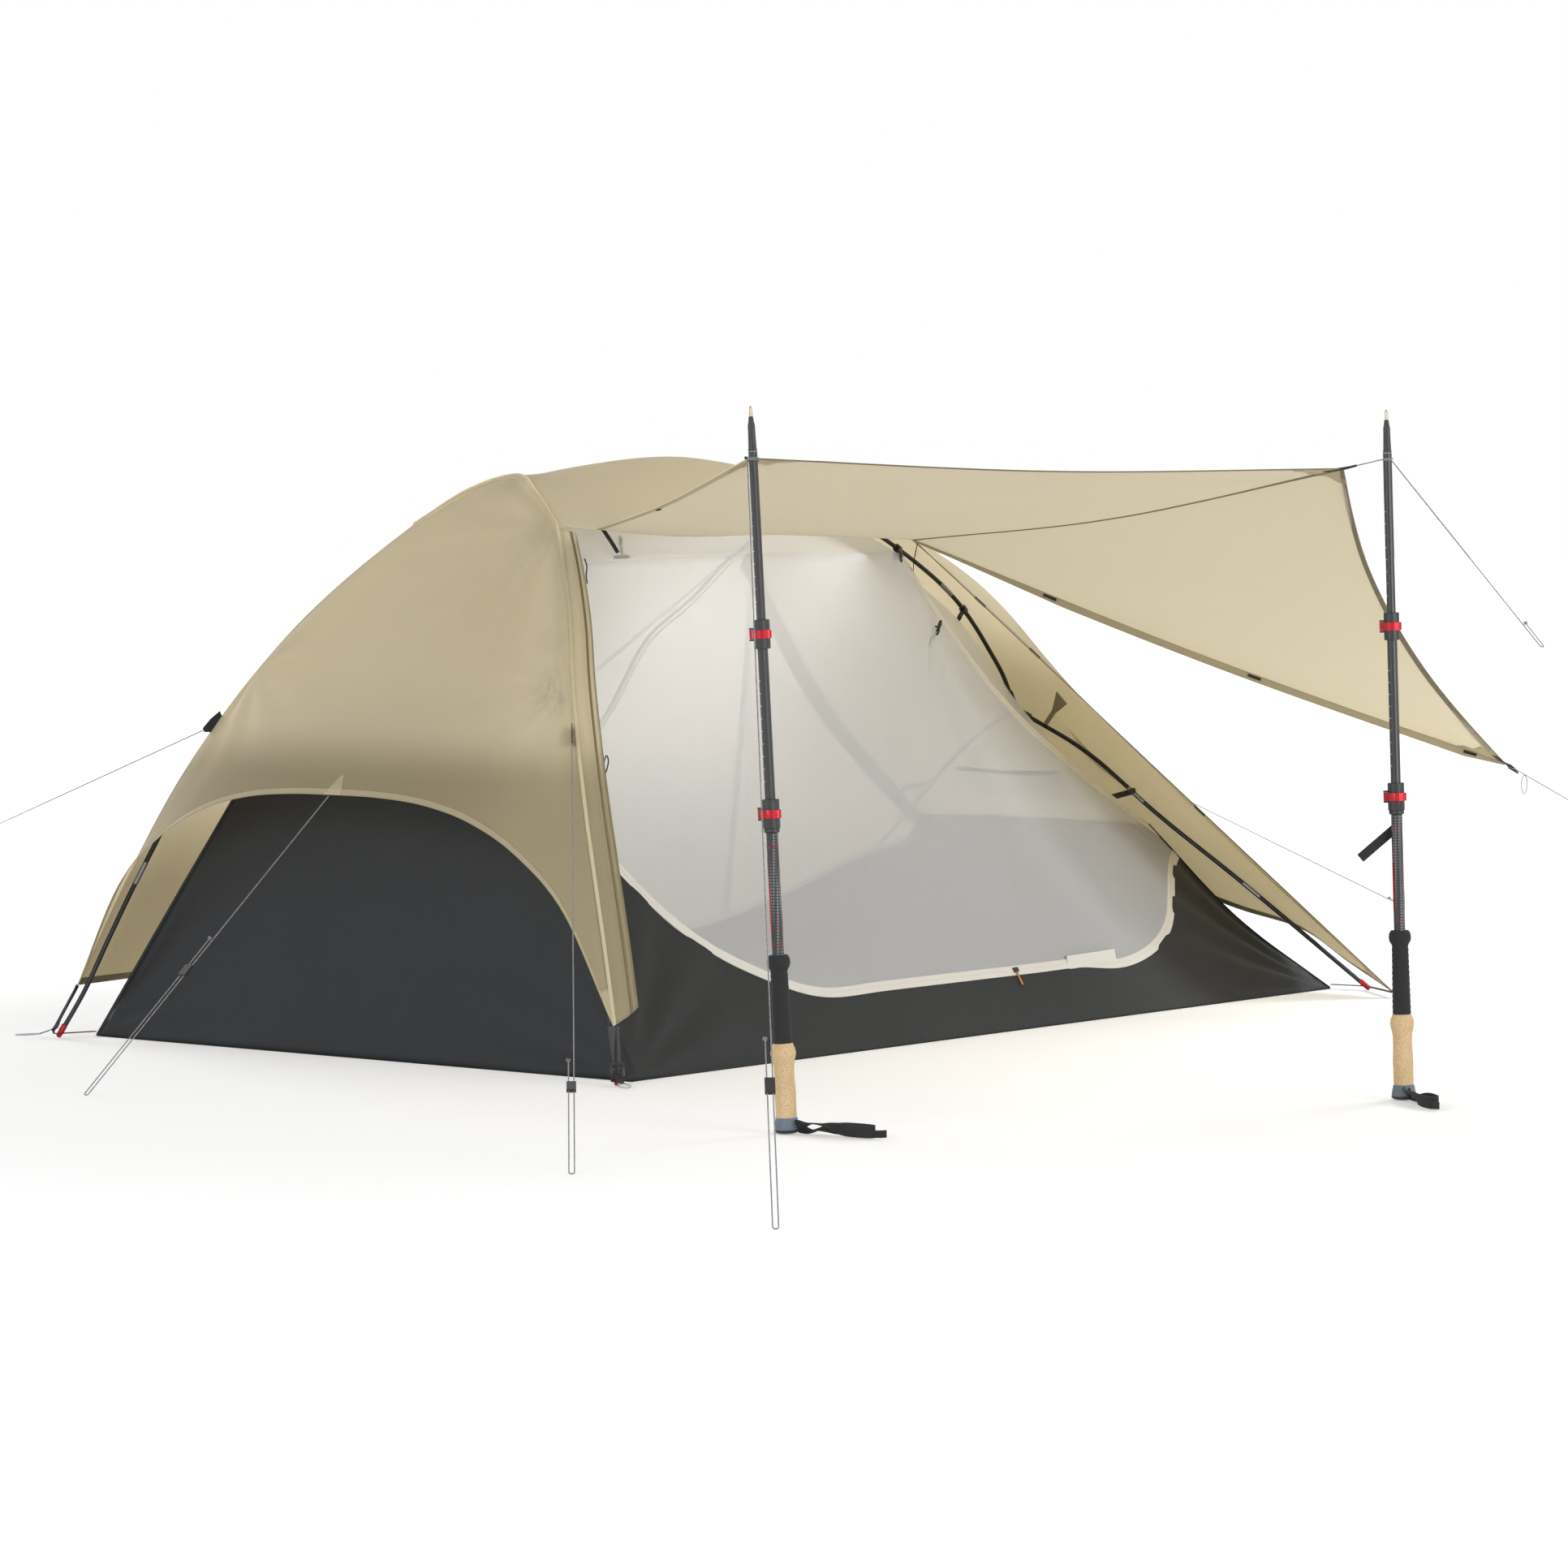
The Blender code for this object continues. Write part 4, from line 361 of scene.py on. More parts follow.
def hitch_route(pole, corner, height, end, tail):
    """A line from an awning corner, round a trekking pole in a falling coil, and on to its end."""
    inside = pole.inverted()
    radius = TREK_LOWER_R + CORD_R + COIL_GAP
    a, b = inside @ corner, inside @ end
    first = math.atan2(a.y, a.x) + math.acos(radius / math.hypot(a.x, a.y))
    last = math.atan2(b.y, b.x) - math.acos(radius / math.hypot(b.x, b.y))
    while last - first < 2 * math.pi * LEAST_TURNS:
        last += 2 * math.pi
    turns = (last - first) / (2 * math.pi)
    steps = int(turns * COIL_STEPS)
    coil = []
    for k in range(steps + 1):
        angle = first + (last - first) * k / steps
        z = height - COIL_FALL * turns * k / steps
        coil.append(pole @ Vector((radius * math.cos(angle), radius * math.sin(angle), z)))
    lead = [corner.lerp(coil[0], s) for s in np.linspace(0, 0.9, 4)]
    return lead + coil[:-1] + line_route(coil[-1], end, tail)


def upright(foot, top):
    """A frame at foot whose Z points to top."""
    z = (Vector(top) - Vector(foot)).normalized()
    x = (Vector((1, 0, 0)) - z * z.x).normalized()
    return Matrix.Translation(foot) @ Matrix((x, z.cross(x), z)).transposed().to_4x4()


TREK_1 = upright((-1.560, -1.330, 0.000606), (-1.596, -1.284, TREK_LENGTH + 0.000606))
TREK_2 = upright((-0.540, -1.847, 0.000384), (-0.563, -1.818, TREK_LENGTH + 0.000384))
AWNING_B = Vector((-1.574, -1.263, 1.072))
AWNING_C = Vector((-0.607, -1.763, 1.057))
AWNING_D = Vector((1.220, -1.000, 0.470))

# %% [markdown]
# The end of each line is tied in a small overhand knot. Its centre line is a trefoil, the plainest
# closed knot, drawn with two sines a turn and pulled down to the cord's own thickness.

# %% Make the cords, with their end knots
KNOT_SIZE, KNOT_R, KNOT_POINTS = 0.0011, 0.00085, 48


def tube(name, points, radius, material, resolution=3, cyclic=False):
    """A round cord or pole along points: a bevelled curve of one spline, which the tent carries."""
    data = bpy.data.curves.new(name, "CURVE")
    data.dimensions = "3D"
    data.bevel_depth = radius
    data.bevel_resolution = resolution
    data.use_fill_caps = True
    spline = data.splines.new("POLY")
    spline.points.add(len(points) - 1)
    for point, place in zip(spline.points, points):
        point.co = (*place, 1)
    spline.use_cyclic_u = cyclic
    data.materials.append(material)
    made = placed(name, data)
    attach(made, "tent")
    return made


def knot(name, place, along):
    """An overhand knot round a place on a cord that runs along a direction."""
    turn = along.to_track_quat("Z", "Y").to_matrix()
    points = []
    for k in range(KNOT_POINTS):
        t = 2 * math.pi * k / KNOT_POINTS
        x, y = math.sin(t) + 2 * math.sin(2 * t), math.cos(t) - 2 * math.cos(2 * t)
        points.append(Vector(place) + turn @ (Vector((x, y, -1.6 * math.sin(3 * t))) * KNOT_SIZE))
    return tube(name, points, KNOT_R, CORD, 2, cyclic=True)


def line_run(line):
    """The distance along a line at each of its points."""
    return np.concatenate([[0], np.cumsum(np.linalg.norm(np.diff(line, axis=0), axis=1))])


def limp_cord(piece, points, radius):
    """Says what cord a piece is, with the length measured along its own centre line."""
    length = round(float(line_run(points)[-1]), 3)
    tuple(points[0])
    print(piece.name, "length", length)


GUY_ENDS = {
    "guy_head": ((-1.18874, -0.00222, 0.47491), (-1.855, -0.062, 0.001), 0.414),
    "guy_near": ((-1.04246, -0.44729, 0.57713), (-2.166, -1.399, 0.001), 0.364),
    "guy_far": ((-1.04162, 0.44736, 0.57571), (-1.420, 0.782, 0.348), SHORT_TAIL),
    "guy_foot": ((0.99971, 0.0063, 0.52701), (3.220, 0.490, 0.001), SHORT_TAIL),
    "guy_awning": (AWNING_D, (1.470, -1.140, 0.320), SHORT_TAIL),
}
POLE_1_PEG, POLE_2_END = Vector((-2.462, -2.018, 0.001)), Vector((-0.200, -1.906, 0.753))
routes = {name: line_route(Vector(a), Vector(b), tail) for name, (a, b, tail) in GUY_ENDS.items()}
routes["guy_pole_1"] = hitch_route(TREK_1, AWNING_B, HITCH_HEIGHT, POLE_1_PEG, 0.344)
routes["guy_pole_2"] = hitch_route(TREK_2, AWNING_C, HITCH_HEIGHT, POLE_2_END, SHORT_TAIL)
for name, route in routes.items():
    line = tube(name + "_line", route, CORD_R, CORD)
    end_knot = knot(name + "_knot", route[-1], route[-1] - route[-2])
    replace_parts(line, name)
    limp_cord(line, route, CORD_R)

# %% [markdown]
# ## Curves and nets
#
# A pitched tent is a set of tensioned curves with cloth between them. The curves come first: smooth
# lines through a few known points. A net then joins matching curves with smooth cross lines, which
# gives a panel as rows and columns of points. The points here are the ones that the solids were made
# from, so the fine panels lie on the solids.

# %% Curve helpers
def through_four(a, b, c, d, t):
    """The place at a share of the way from b to c, on a smooth curve through four points."""
    return 0.5 * (2 * b + (c - a) * t + (2 * a - 5 * b + 4 * c - d) * t**2 + (3 * b - a - 3 * c + d) * t**3)


def unit(ways):
    """Directions, each brought to the length of one."""
    return ways / np.maximum(np.linalg.norm(ways, axis=-1, keepdims=True), 1e-9)


def smooth_curve(points, count, dense=24):
    """Count points, evenly spaced, on a smooth curve through the points."""
    pts = [np.array(p, float) for p in points]
    if len(pts) == 2:
        return np.array([pts[0] + (pts[1] - pts[0]) * t for t in np.linspace(0, 1, count)])
    ends = [2 * pts[0] - pts[1], *pts, 2 * pts[-1] - pts[-2]]
    fours = zip(ends, ends[1:], ends[2:], ends[3:])
    dots = np.array([through_four(*four, t) for four in fours for t in np.arange(dense) / dense] + [pts[-1]])
    run = line_run(dots)
    wanted = np.linspace(0, run[-1], count)
    return np.stack([np.interp(wanted, run, dots[:, k]) for k in range(3)], axis=1)


def at_share(curve, share):
    """The point at a share of a sampled curve's length."""
    spot = share * (len(curve) - 1)
    low = min(int(spot), len(curve) - 2)
    return curve[low] + (curve[low + 1] - curve[low]) * (spot - low)


def at_height(curve, height):
    """The point where a sampled curve that climbs passes a height."""
    for a, b in zip(curve, curve[1:]):
        if (a[2] - height) * (b[2] - height) <= 0 and a[2] != b[2]:
            return a + (b - a) * (height - a[2]) / (b[2] - a[2])
    return curve[-1]


def net(guides, across):
    """A grid whose rows run smoothly across the guide curves."""
    return np.array([smooth_curve(row, across) for row in zip(*guides)])


def coons(bottom, top, left, right, across=None):
    """A patch between four sampled edges; rows go from bottom to top, and columns stand as told."""
    v = np.linspace(0, 1, len(left))[:, None, None]
    u = (np.linspace(0, 1, len(bottom)) if across is None else across)[None, :, None]
    ruled = (1 - v) * bottom[None] + v * top[None] + (1 - u) * left[:, None] + u * right[:, None]
    corners = ((1 - u) * (1 - v) * bottom[0] + u * (1 - v) * bottom[-1]
               + (1 - u) * v * top[0] + u * v * top[-1])
    return ruled - corners


def finer_rows(grid, count):
    """The grid with its rows drawn again, count of them, on smooth curves through the old ones."""
    pts = np.concatenate([2 * grid[:1] - grid[1:2], grid, 2 * grid[-1:] - grid[-2:-1]])
    t = np.linspace(0, len(grid) - 1, count)
    i = np.minimum(t.astype(int), len(grid) - 2)
    f = (t - i).reshape(-1, *([1] * (grid.ndim - 1)))
    return through_four(pts[i], pts[i + 1], pts[i + 2], pts[i + 3], f)


def finer(grid, rows, columns):
    """The grid drawn again, with more rows and columns."""
    return finer_rows(finer_rows(np.asarray(grid), rows).transpose(1, 0, 2), columns).transpose(1, 0, 2)


# %% [markdown]
# The frame is one bent spine between two hubs, and two splayed legs at each hub. Each leg's bow is
# given as shares of the way from its foot to its hub.

# %% The pole frame's centre lines
HALF_L, HALF_W = 1.125, 0.65
POLE_R, HUB_R = 0.0045, 0.0134
HEAD_HUB = Vector((-0.660, 0, 1.030))
FOOT_HUB = Vector((0.918, 0, 0.565))
HEAD_FOOT = Vector((-1.195, 0.676, POLE_R))
FOOT_FOOT = Vector((1.140, 0.730, POLE_R))
HEAD_LEG_BOW = [(0.065, 0.065, 0.097), (0.144, 0.157, 0.252), (0.297, 0.327, 0.505),
                (0.514, 0.504, 0.709), (0.776, 0.704, 0.888)]
FOOT_LEG_BOW = [(0.405, 0.315, 0.354), (0.676, 0.566, 0.614), (0.833, 0.781, 0.841)]
SPINE_RISE = [(0.241, 0.152), (0.399, 0.212), (0.608, 0.238), (0.845, 0.182), (0.972, 0.061)]
FLIP = np.array([1.0, -1.0, 1.0])
BOTH_SIDES = (("near", np.ones(3)), ("far", FLIP))


def leg_curve(foot, hub, bow, count=40):
    """A bent leg of the near side, from its foot to its hub."""
    points = [foot]
    for share in bow:
        points.append(Vector([foot[k] + (hub[k] - foot[k]) * share[k] for k in range(3)]))
    return smooth_curve([*points, hub], count) * FLIP


def spine_curve(lift=0.0, count=60):
    """The spine from the head hub to the foot hub, or a curve at a distance over it."""
    points = [HEAD_HUB]
    points += [HEAD_HUB.lerp(FOOT_HUB, share) + UP * rise for share, rise in SPINE_RISE]
    curve = smooth_curve([*points, FOOT_HUB], count)
    slope = unit(np.gradient(curve, axis=0))
    return curve + np.stack([-slope[:, 2], np.zeros(count), slope[:, 0]], axis=1) * lift


HEAD_LEG = leg_curve(HEAD_FOOT, HEAD_HUB, HEAD_LEG_BOW)
FOOT_LEG = leg_curve(FOOT_FOOT, FOOT_HUB, FOOT_LEG_BOW)
SPINE = spine_curve()


def trimmed(curve, distance):
    """The part of a curve beyond a distance from its first point."""
    curve = [Vector(p) for p in curve]
    for k, (a, b) in enumerate(zip(curve, curve[1:])):
        low, high = (a - curve[0]).length, (b - curve[0]).length
        if low <= distance < high:
            rest = curve[k + 2:] if high - distance < 0.004 else curve[k + 1:]
            return [a.lerp(b, (distance - low) / (high - low))] + rest
    return curve


HEAD_LEG_LINE = smooth_curve(trimmed(HEAD_LEG[::-1], HUB_R), 15)
FOOT_LEG_LINE = smooth_curve(trimmed(FOOT_LEG[::-1], HUB_R), 15)
spine_out = trimmed(SPINE, HUB_R)
spine_both = trimmed([SPINE[-1], *spine_out[::-1][1:]], HUB_R)
SPINE_LINE = smooth_curve(spine_both, 25)[::-1]
frame_runs = [round(float(line_run(line)[-1]), 3) for line in (HEAD_LEG_LINE, SPINE_LINE, FOOT_LEG_LINE)]
print("frame lines:", frame_runs, "m")

# %% [markdown]
# ## The fly's net
#
# The fly hangs on the frame from head hem to foot hem in three panels: over the head legs, along the
# roof, and down over the foot legs. Five guides run along each: the near edge, a line half-way up, the
# ridge, and their mirror images. The foot panel would cut through the poles under it, so it is pushed
# off them a little at a time, as cloth does when it is pulled over a pole.

# %% Draw the fly's guides and grids
CORNER_HEIGHT = 0.012
HEADER_HALF, HEADER_HEIGHT, HEADER_X = 0.200, 0.923, 0.294
FLY_FOOT_CORNER = Vector((HALF_L - 0.105, -HALF_W - 0.215, CORNER_HEIGHT))
FLY_CLEAR, OFF_LEG, FOOT_HEM_X, ARCH_RISE = 0.009, 0.018, FOOT_HUB.x + 0.182, 0.377
FLY_ACROSS, DRAPE_ROUNDS = 13, 12
SEAM_SHARES = (0.19, 0.36, 0.53, 0.69, 0.845)
SEAM_OUT = [(-0.6, -0.8, 0.0), (-0.62, -0.72, 0.30), (-0.60, -0.65, 0.46),
            (-0.56, -0.55, 0.62), (-0.48, -0.45, 0.75), (-0.30, -0.30, 0.90)]


def head_seam():
    """The fly's edge over the near head leg, from its hem up to the header."""
    places = [at_height(HEAD_LEG, 0.10)] + [at_share(HEAD_LEG, s) for s in SEAM_SHARES]
    return [Vector(p) + Vector(way).normalized() * OFF_LEG for p, way in zip(places, SEAM_OUT)]


def fly_guides():
    """The near edge, the line half-way up and the ridge of each of the fly's three panels."""
    seam = head_seam()
    corner, top = seam[0], seam[-1]
    arch_x = corner.x + 0.003
    over = spine_curve(0.013)
    hub_top = Vector(over[0]) + Vector((-0.012, 0, 0.004))
    peak = Vector((arch_x, 0, 0.477))
    arched = HEADER_HEIGHT + 0.012
    header = [top, Vector((HEADER_X * 0.3 + top.x * 0.7, -HEADER_HALF, arched)),
              Vector((HEADER_X * 0.6 + top.x * 0.4, -HEADER_HALF, arched)),
              Vector((HEADER_X, -HEADER_HALF, HEADER_HEIGHT))]
    roof_ridge = [p for p in over if p[0] < HEADER_X]
    foot_ridge = [p for p in over if p[0] >= HEADER_X]
    crown = Vector((HEADER_X, 0, float(np.interp(HEADER_X, over[:, 0], over[:, 2]))))
    off_leg = Vector((0.7, -0.3, 0.65)).normalized() * OFF_LEG
    on_leg = [Vector(at_share(FOOT_LEG, s)) + off_leg for s in (0.80, 0.58, 0.38, 0.19)]
    hub_end = Vector(over[-1]) + Vector((0.016, 0, 0.004))
    head_end = top.lerp(hub_top, 0.52) + UP * 0.014
    roof_end = crown.lerp(header[-1], 0.52) + UP * 0.014
    near = (smooth_curve(seam, 9), smooth_curve(header, 11),
            smooth_curve([header[-1], FLY_FOOT_CORNER], 9))
    middle = (
        smooth_curve([Vector((arch_x, corner.y * 0.54, peak.z - 0.045)),
                      Vector((arch_x + 0.245, -0.200, 0.765)), head_end], 9),
        smooth_curve([head_end, Vector((-0.280, -HEADER_HALF * 0.54, 1.043)), roof_end], 11),
        smooth_curve([roof_end, Vector((0.640, -0.150, 0.800)), *on_leg], 9))
    ridge = (
        smooth_curve([peak, peak.lerp(hub_top, 0.5) + Vector((-0.012, 0, 0.008)), hub_top], 9),
        smooth_curve([hub_top, *roof_ridge[3::6], crown], 11),
        smooth_curve([crown, *foot_ridge[4:-4:5], hub_end, Vector((FOOT_HEM_X, 0, 0.285))], 9))
    return near, middle, ridge


def cells(rows, columns):
    """The corners of each triangle of a grid, which is split alike on its two halves."""
    for i in range(rows - 1):
        for j in range(columns - 1):
            a, b, c, d = (i, j), (i, j + 1), (i + 1, j + 1), (i + 1, j)
            yield from ([(a, b, c), (a, c, d)] if 2 * j < columns - 1 else [(a, b, d), (b, c, d)])


def draped(grid):
    """The foot panel pushed off the poles under it, with its shared edges kept."""
    grid = grid.copy()
    lines = (FOOT_LEG_LINE, FOOT_LEG_LINE * FLIP, SPINE_LINE)
    poles = np.concatenate([smooth_curve(line, 160) for line in lines])
    rows, columns = grid.shape[:2]
    free = np.ones((rows, columns))
    free[0] = free[:, 0] = free[:, -1] = 0
    for _ in range(DRAPE_ROUNDS):
        for corners in cells(rows, columns):
            places = np.array([grid[p] for p in corners])
            normal = np.cross(places[1] - places[0], places[2] - places[0])
            normal *= (1 if normal[2] > 0 else -1) / np.linalg.norm(normal)
            height = (poles - places[0]) @ normal
            flat = poles - height[:, None] * normal
            corners_1 = np.vstack([places.T, np.ones(3)])
            flat_1 = np.vstack([flat.T, np.ones(len(flat))])
            shares = np.linalg.lstsq(corners_1, flat_1, rcond=None)[0]
            over = (shares.min(axis=0) > -0.02) & (np.abs(height) < 0.05)
            short = np.where(over, height + FLY_CLEAR, 0)
            worst = int(np.argmax(short))
            weight = shares[:, worst] * [free[p] for p in corners]
            if short[worst] > 0 and weight.max() > 0.05:
                for p, w in zip(corners, weight):
                    grid[p] += normal * short[worst] * w / (weight @ weight + 0.2)
    return grid


near, middle, ridge = fly_guides()
head, roof, foot = [net([e, h, c, h * FLIP, e * FLIP], FLY_ACROSS) for e, h, c in zip(near, middle, ridge)]
corner = near[0][0]
u = np.linspace(-1, 1, FLY_ACROSS)
arch = (1 - np.abs(u) ** 3) ** 0.8
hem_rise = corner[2] + ARCH_RISE * arch
hem = np.stack([corner[0] - 0.0044 * arch, u * abs(corner[1]), hem_rise], axis=1)
for i in range(1, 9):
    head[i] += (hem - head[0]) * (1 - i / 8) ** 2
head[0] = hem
foot_corner, shares = near[2][-1], [0, 0.5, 0.72, 1]
rise = np.interp(np.abs(u), shares, [0.285, 0.155, 0.098, foot_corner[2]])
reach = np.interp(np.abs(u), shares, [FOOT_HEM_X, FOOT_HEM_X + 0.008, FOOT_HEM_X + 0.014, foot_corner[0]])
hem = np.stack([reach, u * abs(foot_corner[1]), rise], axis=1)
for i in range(8):
    foot[i] += (hem - foot[-1]) * (i / 8) ** 3
foot[-1] = hem
FLY_HEAD, FLY_ROOF, FLY_FOOT = head, roof, draped(foot)
SEAM_LINE, HEADER_LINE, FOOT_EDGE = FLY_HEAD[:, 0], FLY_ROOF[:, 0], FLY_FOOT[:, 0]
print("fly panels:", [panel.shape[:2] for panel in (FLY_HEAD, FLY_ROOF, FLY_FOOT)])

# %% [markdown]
# ## From a net to a sheet
#
# A sheet is the net drawn finer, then given a thickness. Its UV map is measured in metres along and
# across the cloth, so the weave has its real size. Cloth under tension also shows faint folds that
# fan out from each point it hangs from. They are added as small waves that die away with distance.

# %% Make a cloth sheet
THREAD, TAPE, HEM_FOLD = 0.0005, 0.0018, 0.0016
FOLD_PEAK, ANY_WAY = 6.75, (0.31, 0.52, 0.79)


def surface_normals(grid):
    """The way out of the cloth at each point of a grid."""
    return unit(np.cross(np.gradient(grid, axis=0), np.gradient(grid, axis=1)))


def fold_fans(grid, places, reach, depth, count):
    """Folds that fan out from where the cloth is held; the sheet's border stays in place."""
    for place in places:
        normal = surface_normals(grid)
        away = grid - np.array(place)
        axis = normal.reshape(-1, 3).mean(axis=0)
        first = np.cross(axis, ANY_WAY)
        first /= np.linalg.norm(first)
        angle = np.arctan2(away @ np.cross(axis, first), away @ first)
        share = np.clip(np.linalg.norm(away, axis=-1) / reach, 0, 1)
        wave = np.cos(count * angle) * share * (1 - share) ** 2 * FOLD_PEAK * depth
        wave[0] = wave[-1] = wave[:, 0] = wave[:, -1] = 0
        grid = grid + normal * wave[..., None]
    return grid


def new_object(name, points, faces, material, uvs):
    """A smooth mesh with a place on its cloth for each point."""
    data = bpy.data.meshes.new(name)
    data.from_pydata([tuple(map(float, p)) for p in points], [], faces)
    data.validate()
    data.materials.append(material)
    layer = data.uv_layers.new(name="UVMap")
    corners = np.zeros(len(data.loops), int)
    data.loops.foreach_get("vertex_index", corners)
    layer.data.foreach_set("uv", np.asarray(uvs, np.float32)[corners].ravel())
    data.polygons.foreach_set("use_smooth", [True] * len(data.polygons))
    return placed(name, data)


def grid_uvs(grid):
    """Metres across and along the cloth for each point of a grid."""
    rows, columns = grid.shape[:2]
    steps = [np.linalg.norm(np.diff(grid, axis=way), axis=-1).mean(axis=1 - way) for way in (1, 0)]
    across, along = [np.concatenate([[0], np.cumsum(step)]) for step in steps]
    return np.stack([np.tile(across, rows), np.repeat(along, columns)], axis=1)


def sheet_area(grid):
    """The area of a grid of points, from the diagonals of its cells."""
    a, b = grid[1:, 1:] - grid[:-1, :-1], grid[1:, :-1] - grid[:-1, 1:]
    return float(np.linalg.norm(np.cross(a, b), axis=-1).sum() / 2)


def cloth(name, grid, material, stands_for=(), thickness=THREAD):
    """A closed thin sheet from a grid of points, with the cloth's own UV map."""
    rows, columns = grid.shape[:2]
    faces = [(i * columns + j, i * columns + j + 1, (i + 1) * columns + j + 1, (i + 1) * columns + j)
             for i in range(rows - 1) for j in range(columns - 1)]
    made = new_object(name, grid.reshape(-1, 3), faces, material, grid_uvs(grid))
    shell = made.modifiers.new("thickness", "SOLIDIFY")
    shell.thickness = thickness
    shell.offset = 0
    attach(made, "tent")
    for solid in stands_for:
        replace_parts(made, solid)
    return made


def spans(grid):
    """The longest way across and along a grid, rounded up to a centimetre."""
    across = np.linalg.norm(np.diff(grid, axis=1), axis=-1).sum(axis=1).max()
    along = np.linalg.norm(np.diff(grid, axis=0), axis=-1).sum(axis=0).max()
    return math.ceil(across * 100) / 100, math.ceil(along * 100) / 100


def declared(piece, grid, flat=None):
    """Says what size a sheet was cut to, and its area."""
    flat = flat or spans(grid)
    area = min(round(sheet_area(grid), 3), flat[0] * flat[1])
    print(piece.name, "flat", flat, "area", area)


# %% [markdown]
# ## Bands
#
# Hems, seams, zip tapes and straps are all narrow bands that follow a curve on the cloth. One maker
# serves them all: it takes the band's two borders and gives it a thickness. A hem's borders are the
# panel's edge and a line a little way in, so the band wraps the edge as a folded hem does.

# %% Make a band between two borders
def band_piece(name, left, right, thickness, material, body="tent"):
    """A band that is a little thicker in its middle, with metres across and along it as its UV map."""
    left, right = np.asarray(left, float), np.asarray(right, float)
    middle = (left + right) / 2
    normal = unit(np.cross(np.gradient(middle, axis=0), right - left))
    section = ((left, 1), (middle, 1.15), (right, 1), (right, -1), (middle, -1.15), (left, -1))
    points = np.stack([side + normal * (t * thickness / 2) for side, t in section], axis=1).reshape(-1, 3)
    wide = np.linalg.norm(right - left, axis=1).mean()
    uvs = [(share * wide, along) for along in line_run(middle) for share in (0, 0.5, 1, 1, 0.5, 0)]
    faces = [tuple(reversed(range(6))), tuple(range(len(points) - 6, len(points)))]
    for k in range(0, len(points) - 6, 6):
        faces += [(k + i, k + (i + 1) % 6, k + 6 + (i + 1) % 6, k + 6 + i) for i in range(6)]
    made = new_object(name, points, faces, material, uvs)
    work = bmesh.new()
    work.from_mesh(made.data)
    bmesh.ops.recalc_face_normals(work, faces=work.faces)
    work.to_mesh(made.data)
    work.free()
    made.data.shade_smooth()
    made.data.set_sharp_from_angle(angle=math.radians(50))
    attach(made, body)
    return made


def inward(grid, edge, width):
    """The border line of a hem: a way in from the grid's first or last row or column."""
    grid = grid if edge in ("left", "right") else grid.transpose(1, 0, 2)
    grid = grid[:, ::-1] if edge in ("right", "top") else grid
    return np.array([[np.interp(width, line_run(row), row[:, k]) for k in range(3)] for row in grid])


def hem_band(name, grid, edge, width, material, thickness=HEM_FOLD):
    """A hem round an edge of a sheet, which stands out from the edge by less than its own thickness."""
    outer, inner = inward(grid, edge, 0.0), inward(grid, edge, width)
    return band_piece(name, outer + unit(outer - inner) * 0.0004, inner, thickness, material)


def seam_band(name, line, normals, width, thickness, material):
    """A band along a line, flat to the surface whose normals are given."""
    side = unit(np.cross(np.gradient(line, axis=0), normals)) * width / 2
    return band_piece(name, line + side, line - side, thickness, material)


def grid_seam(name, grid, spot, width, thickness, material):
    """A band along a row or a column of a sheet."""
    return seam_band(name, grid[spot], surface_normals(grid)[spot], width, thickness, material)


def sewn_patch(name, grid, rows, column, halves, material):
    """A patch that lies on some rows of a sheet; its half width changes evenly from row to row."""
    borders = [[], []]
    for i, half in zip(rows, np.linspace(*halves, len(rows))):
        run = line_run(grid[i])
        for border, way in zip(borders, (-1, 1)):
            border.append([np.interp(run[column] + way * half, run, grid[i][:, k]) for k in range(3)])
    return band_piece(name, *borders, TAPE, material)


def corner_patch(name, grid, reach, material, count=10):
    """A triangle of cloth sewn over the grid's first corner, up to a distance along its two edges."""
    far = np.linspace(0.03, 1, count) * reach
    down = np.interp(far, line_run(grid[:, 0]), np.arange(len(grid)))
    across = np.interp(far, line_run(grid[0]), np.arange(grid.shape[1]))
    rows = []
    for i, j in zip(down, across):
        spots = [(i * (1 - s), j * s) for s in np.linspace(0, 1, count)]
        rows.append([between(grid, *spot) for spot in spots])
    return cloth(name, np.array(rows), material, thickness=HEM_FOLD)


def between(grid, i, j):
    """The place between a grid's points at part numbers of its rows and columns."""
    top, left = min(int(i), len(grid) - 2), min(int(j), grid.shape[1] - 2)
    s, t = i - top, j - left
    upper = grid[top, left] * (1 - t) + grid[top, left + 1] * t
    lower = grid[top + 1, left] * (1 - t) + grid[top + 1, left + 1] * t
    return upper * (1 - s) + lower * s


# %% [markdown]
# ## The fly sheet
#
# Three panels of tan ripstop are sewn together across the roof, with the seams over the frame's
# corners. Below the level of the dark tub the fly reads darker in the photograph, because thin cloth
# lets what is behind it show. A painted shade that follows the height, a darker colour with less light
# let through, gives the head panel, the foot panel and the far door the same look.

# %% Sew the three fly panels
def first_node(tree, kind):
    """The first node of a kind in a material that is already made."""
    return next(found for found in tree.nodes if found.type == kind)


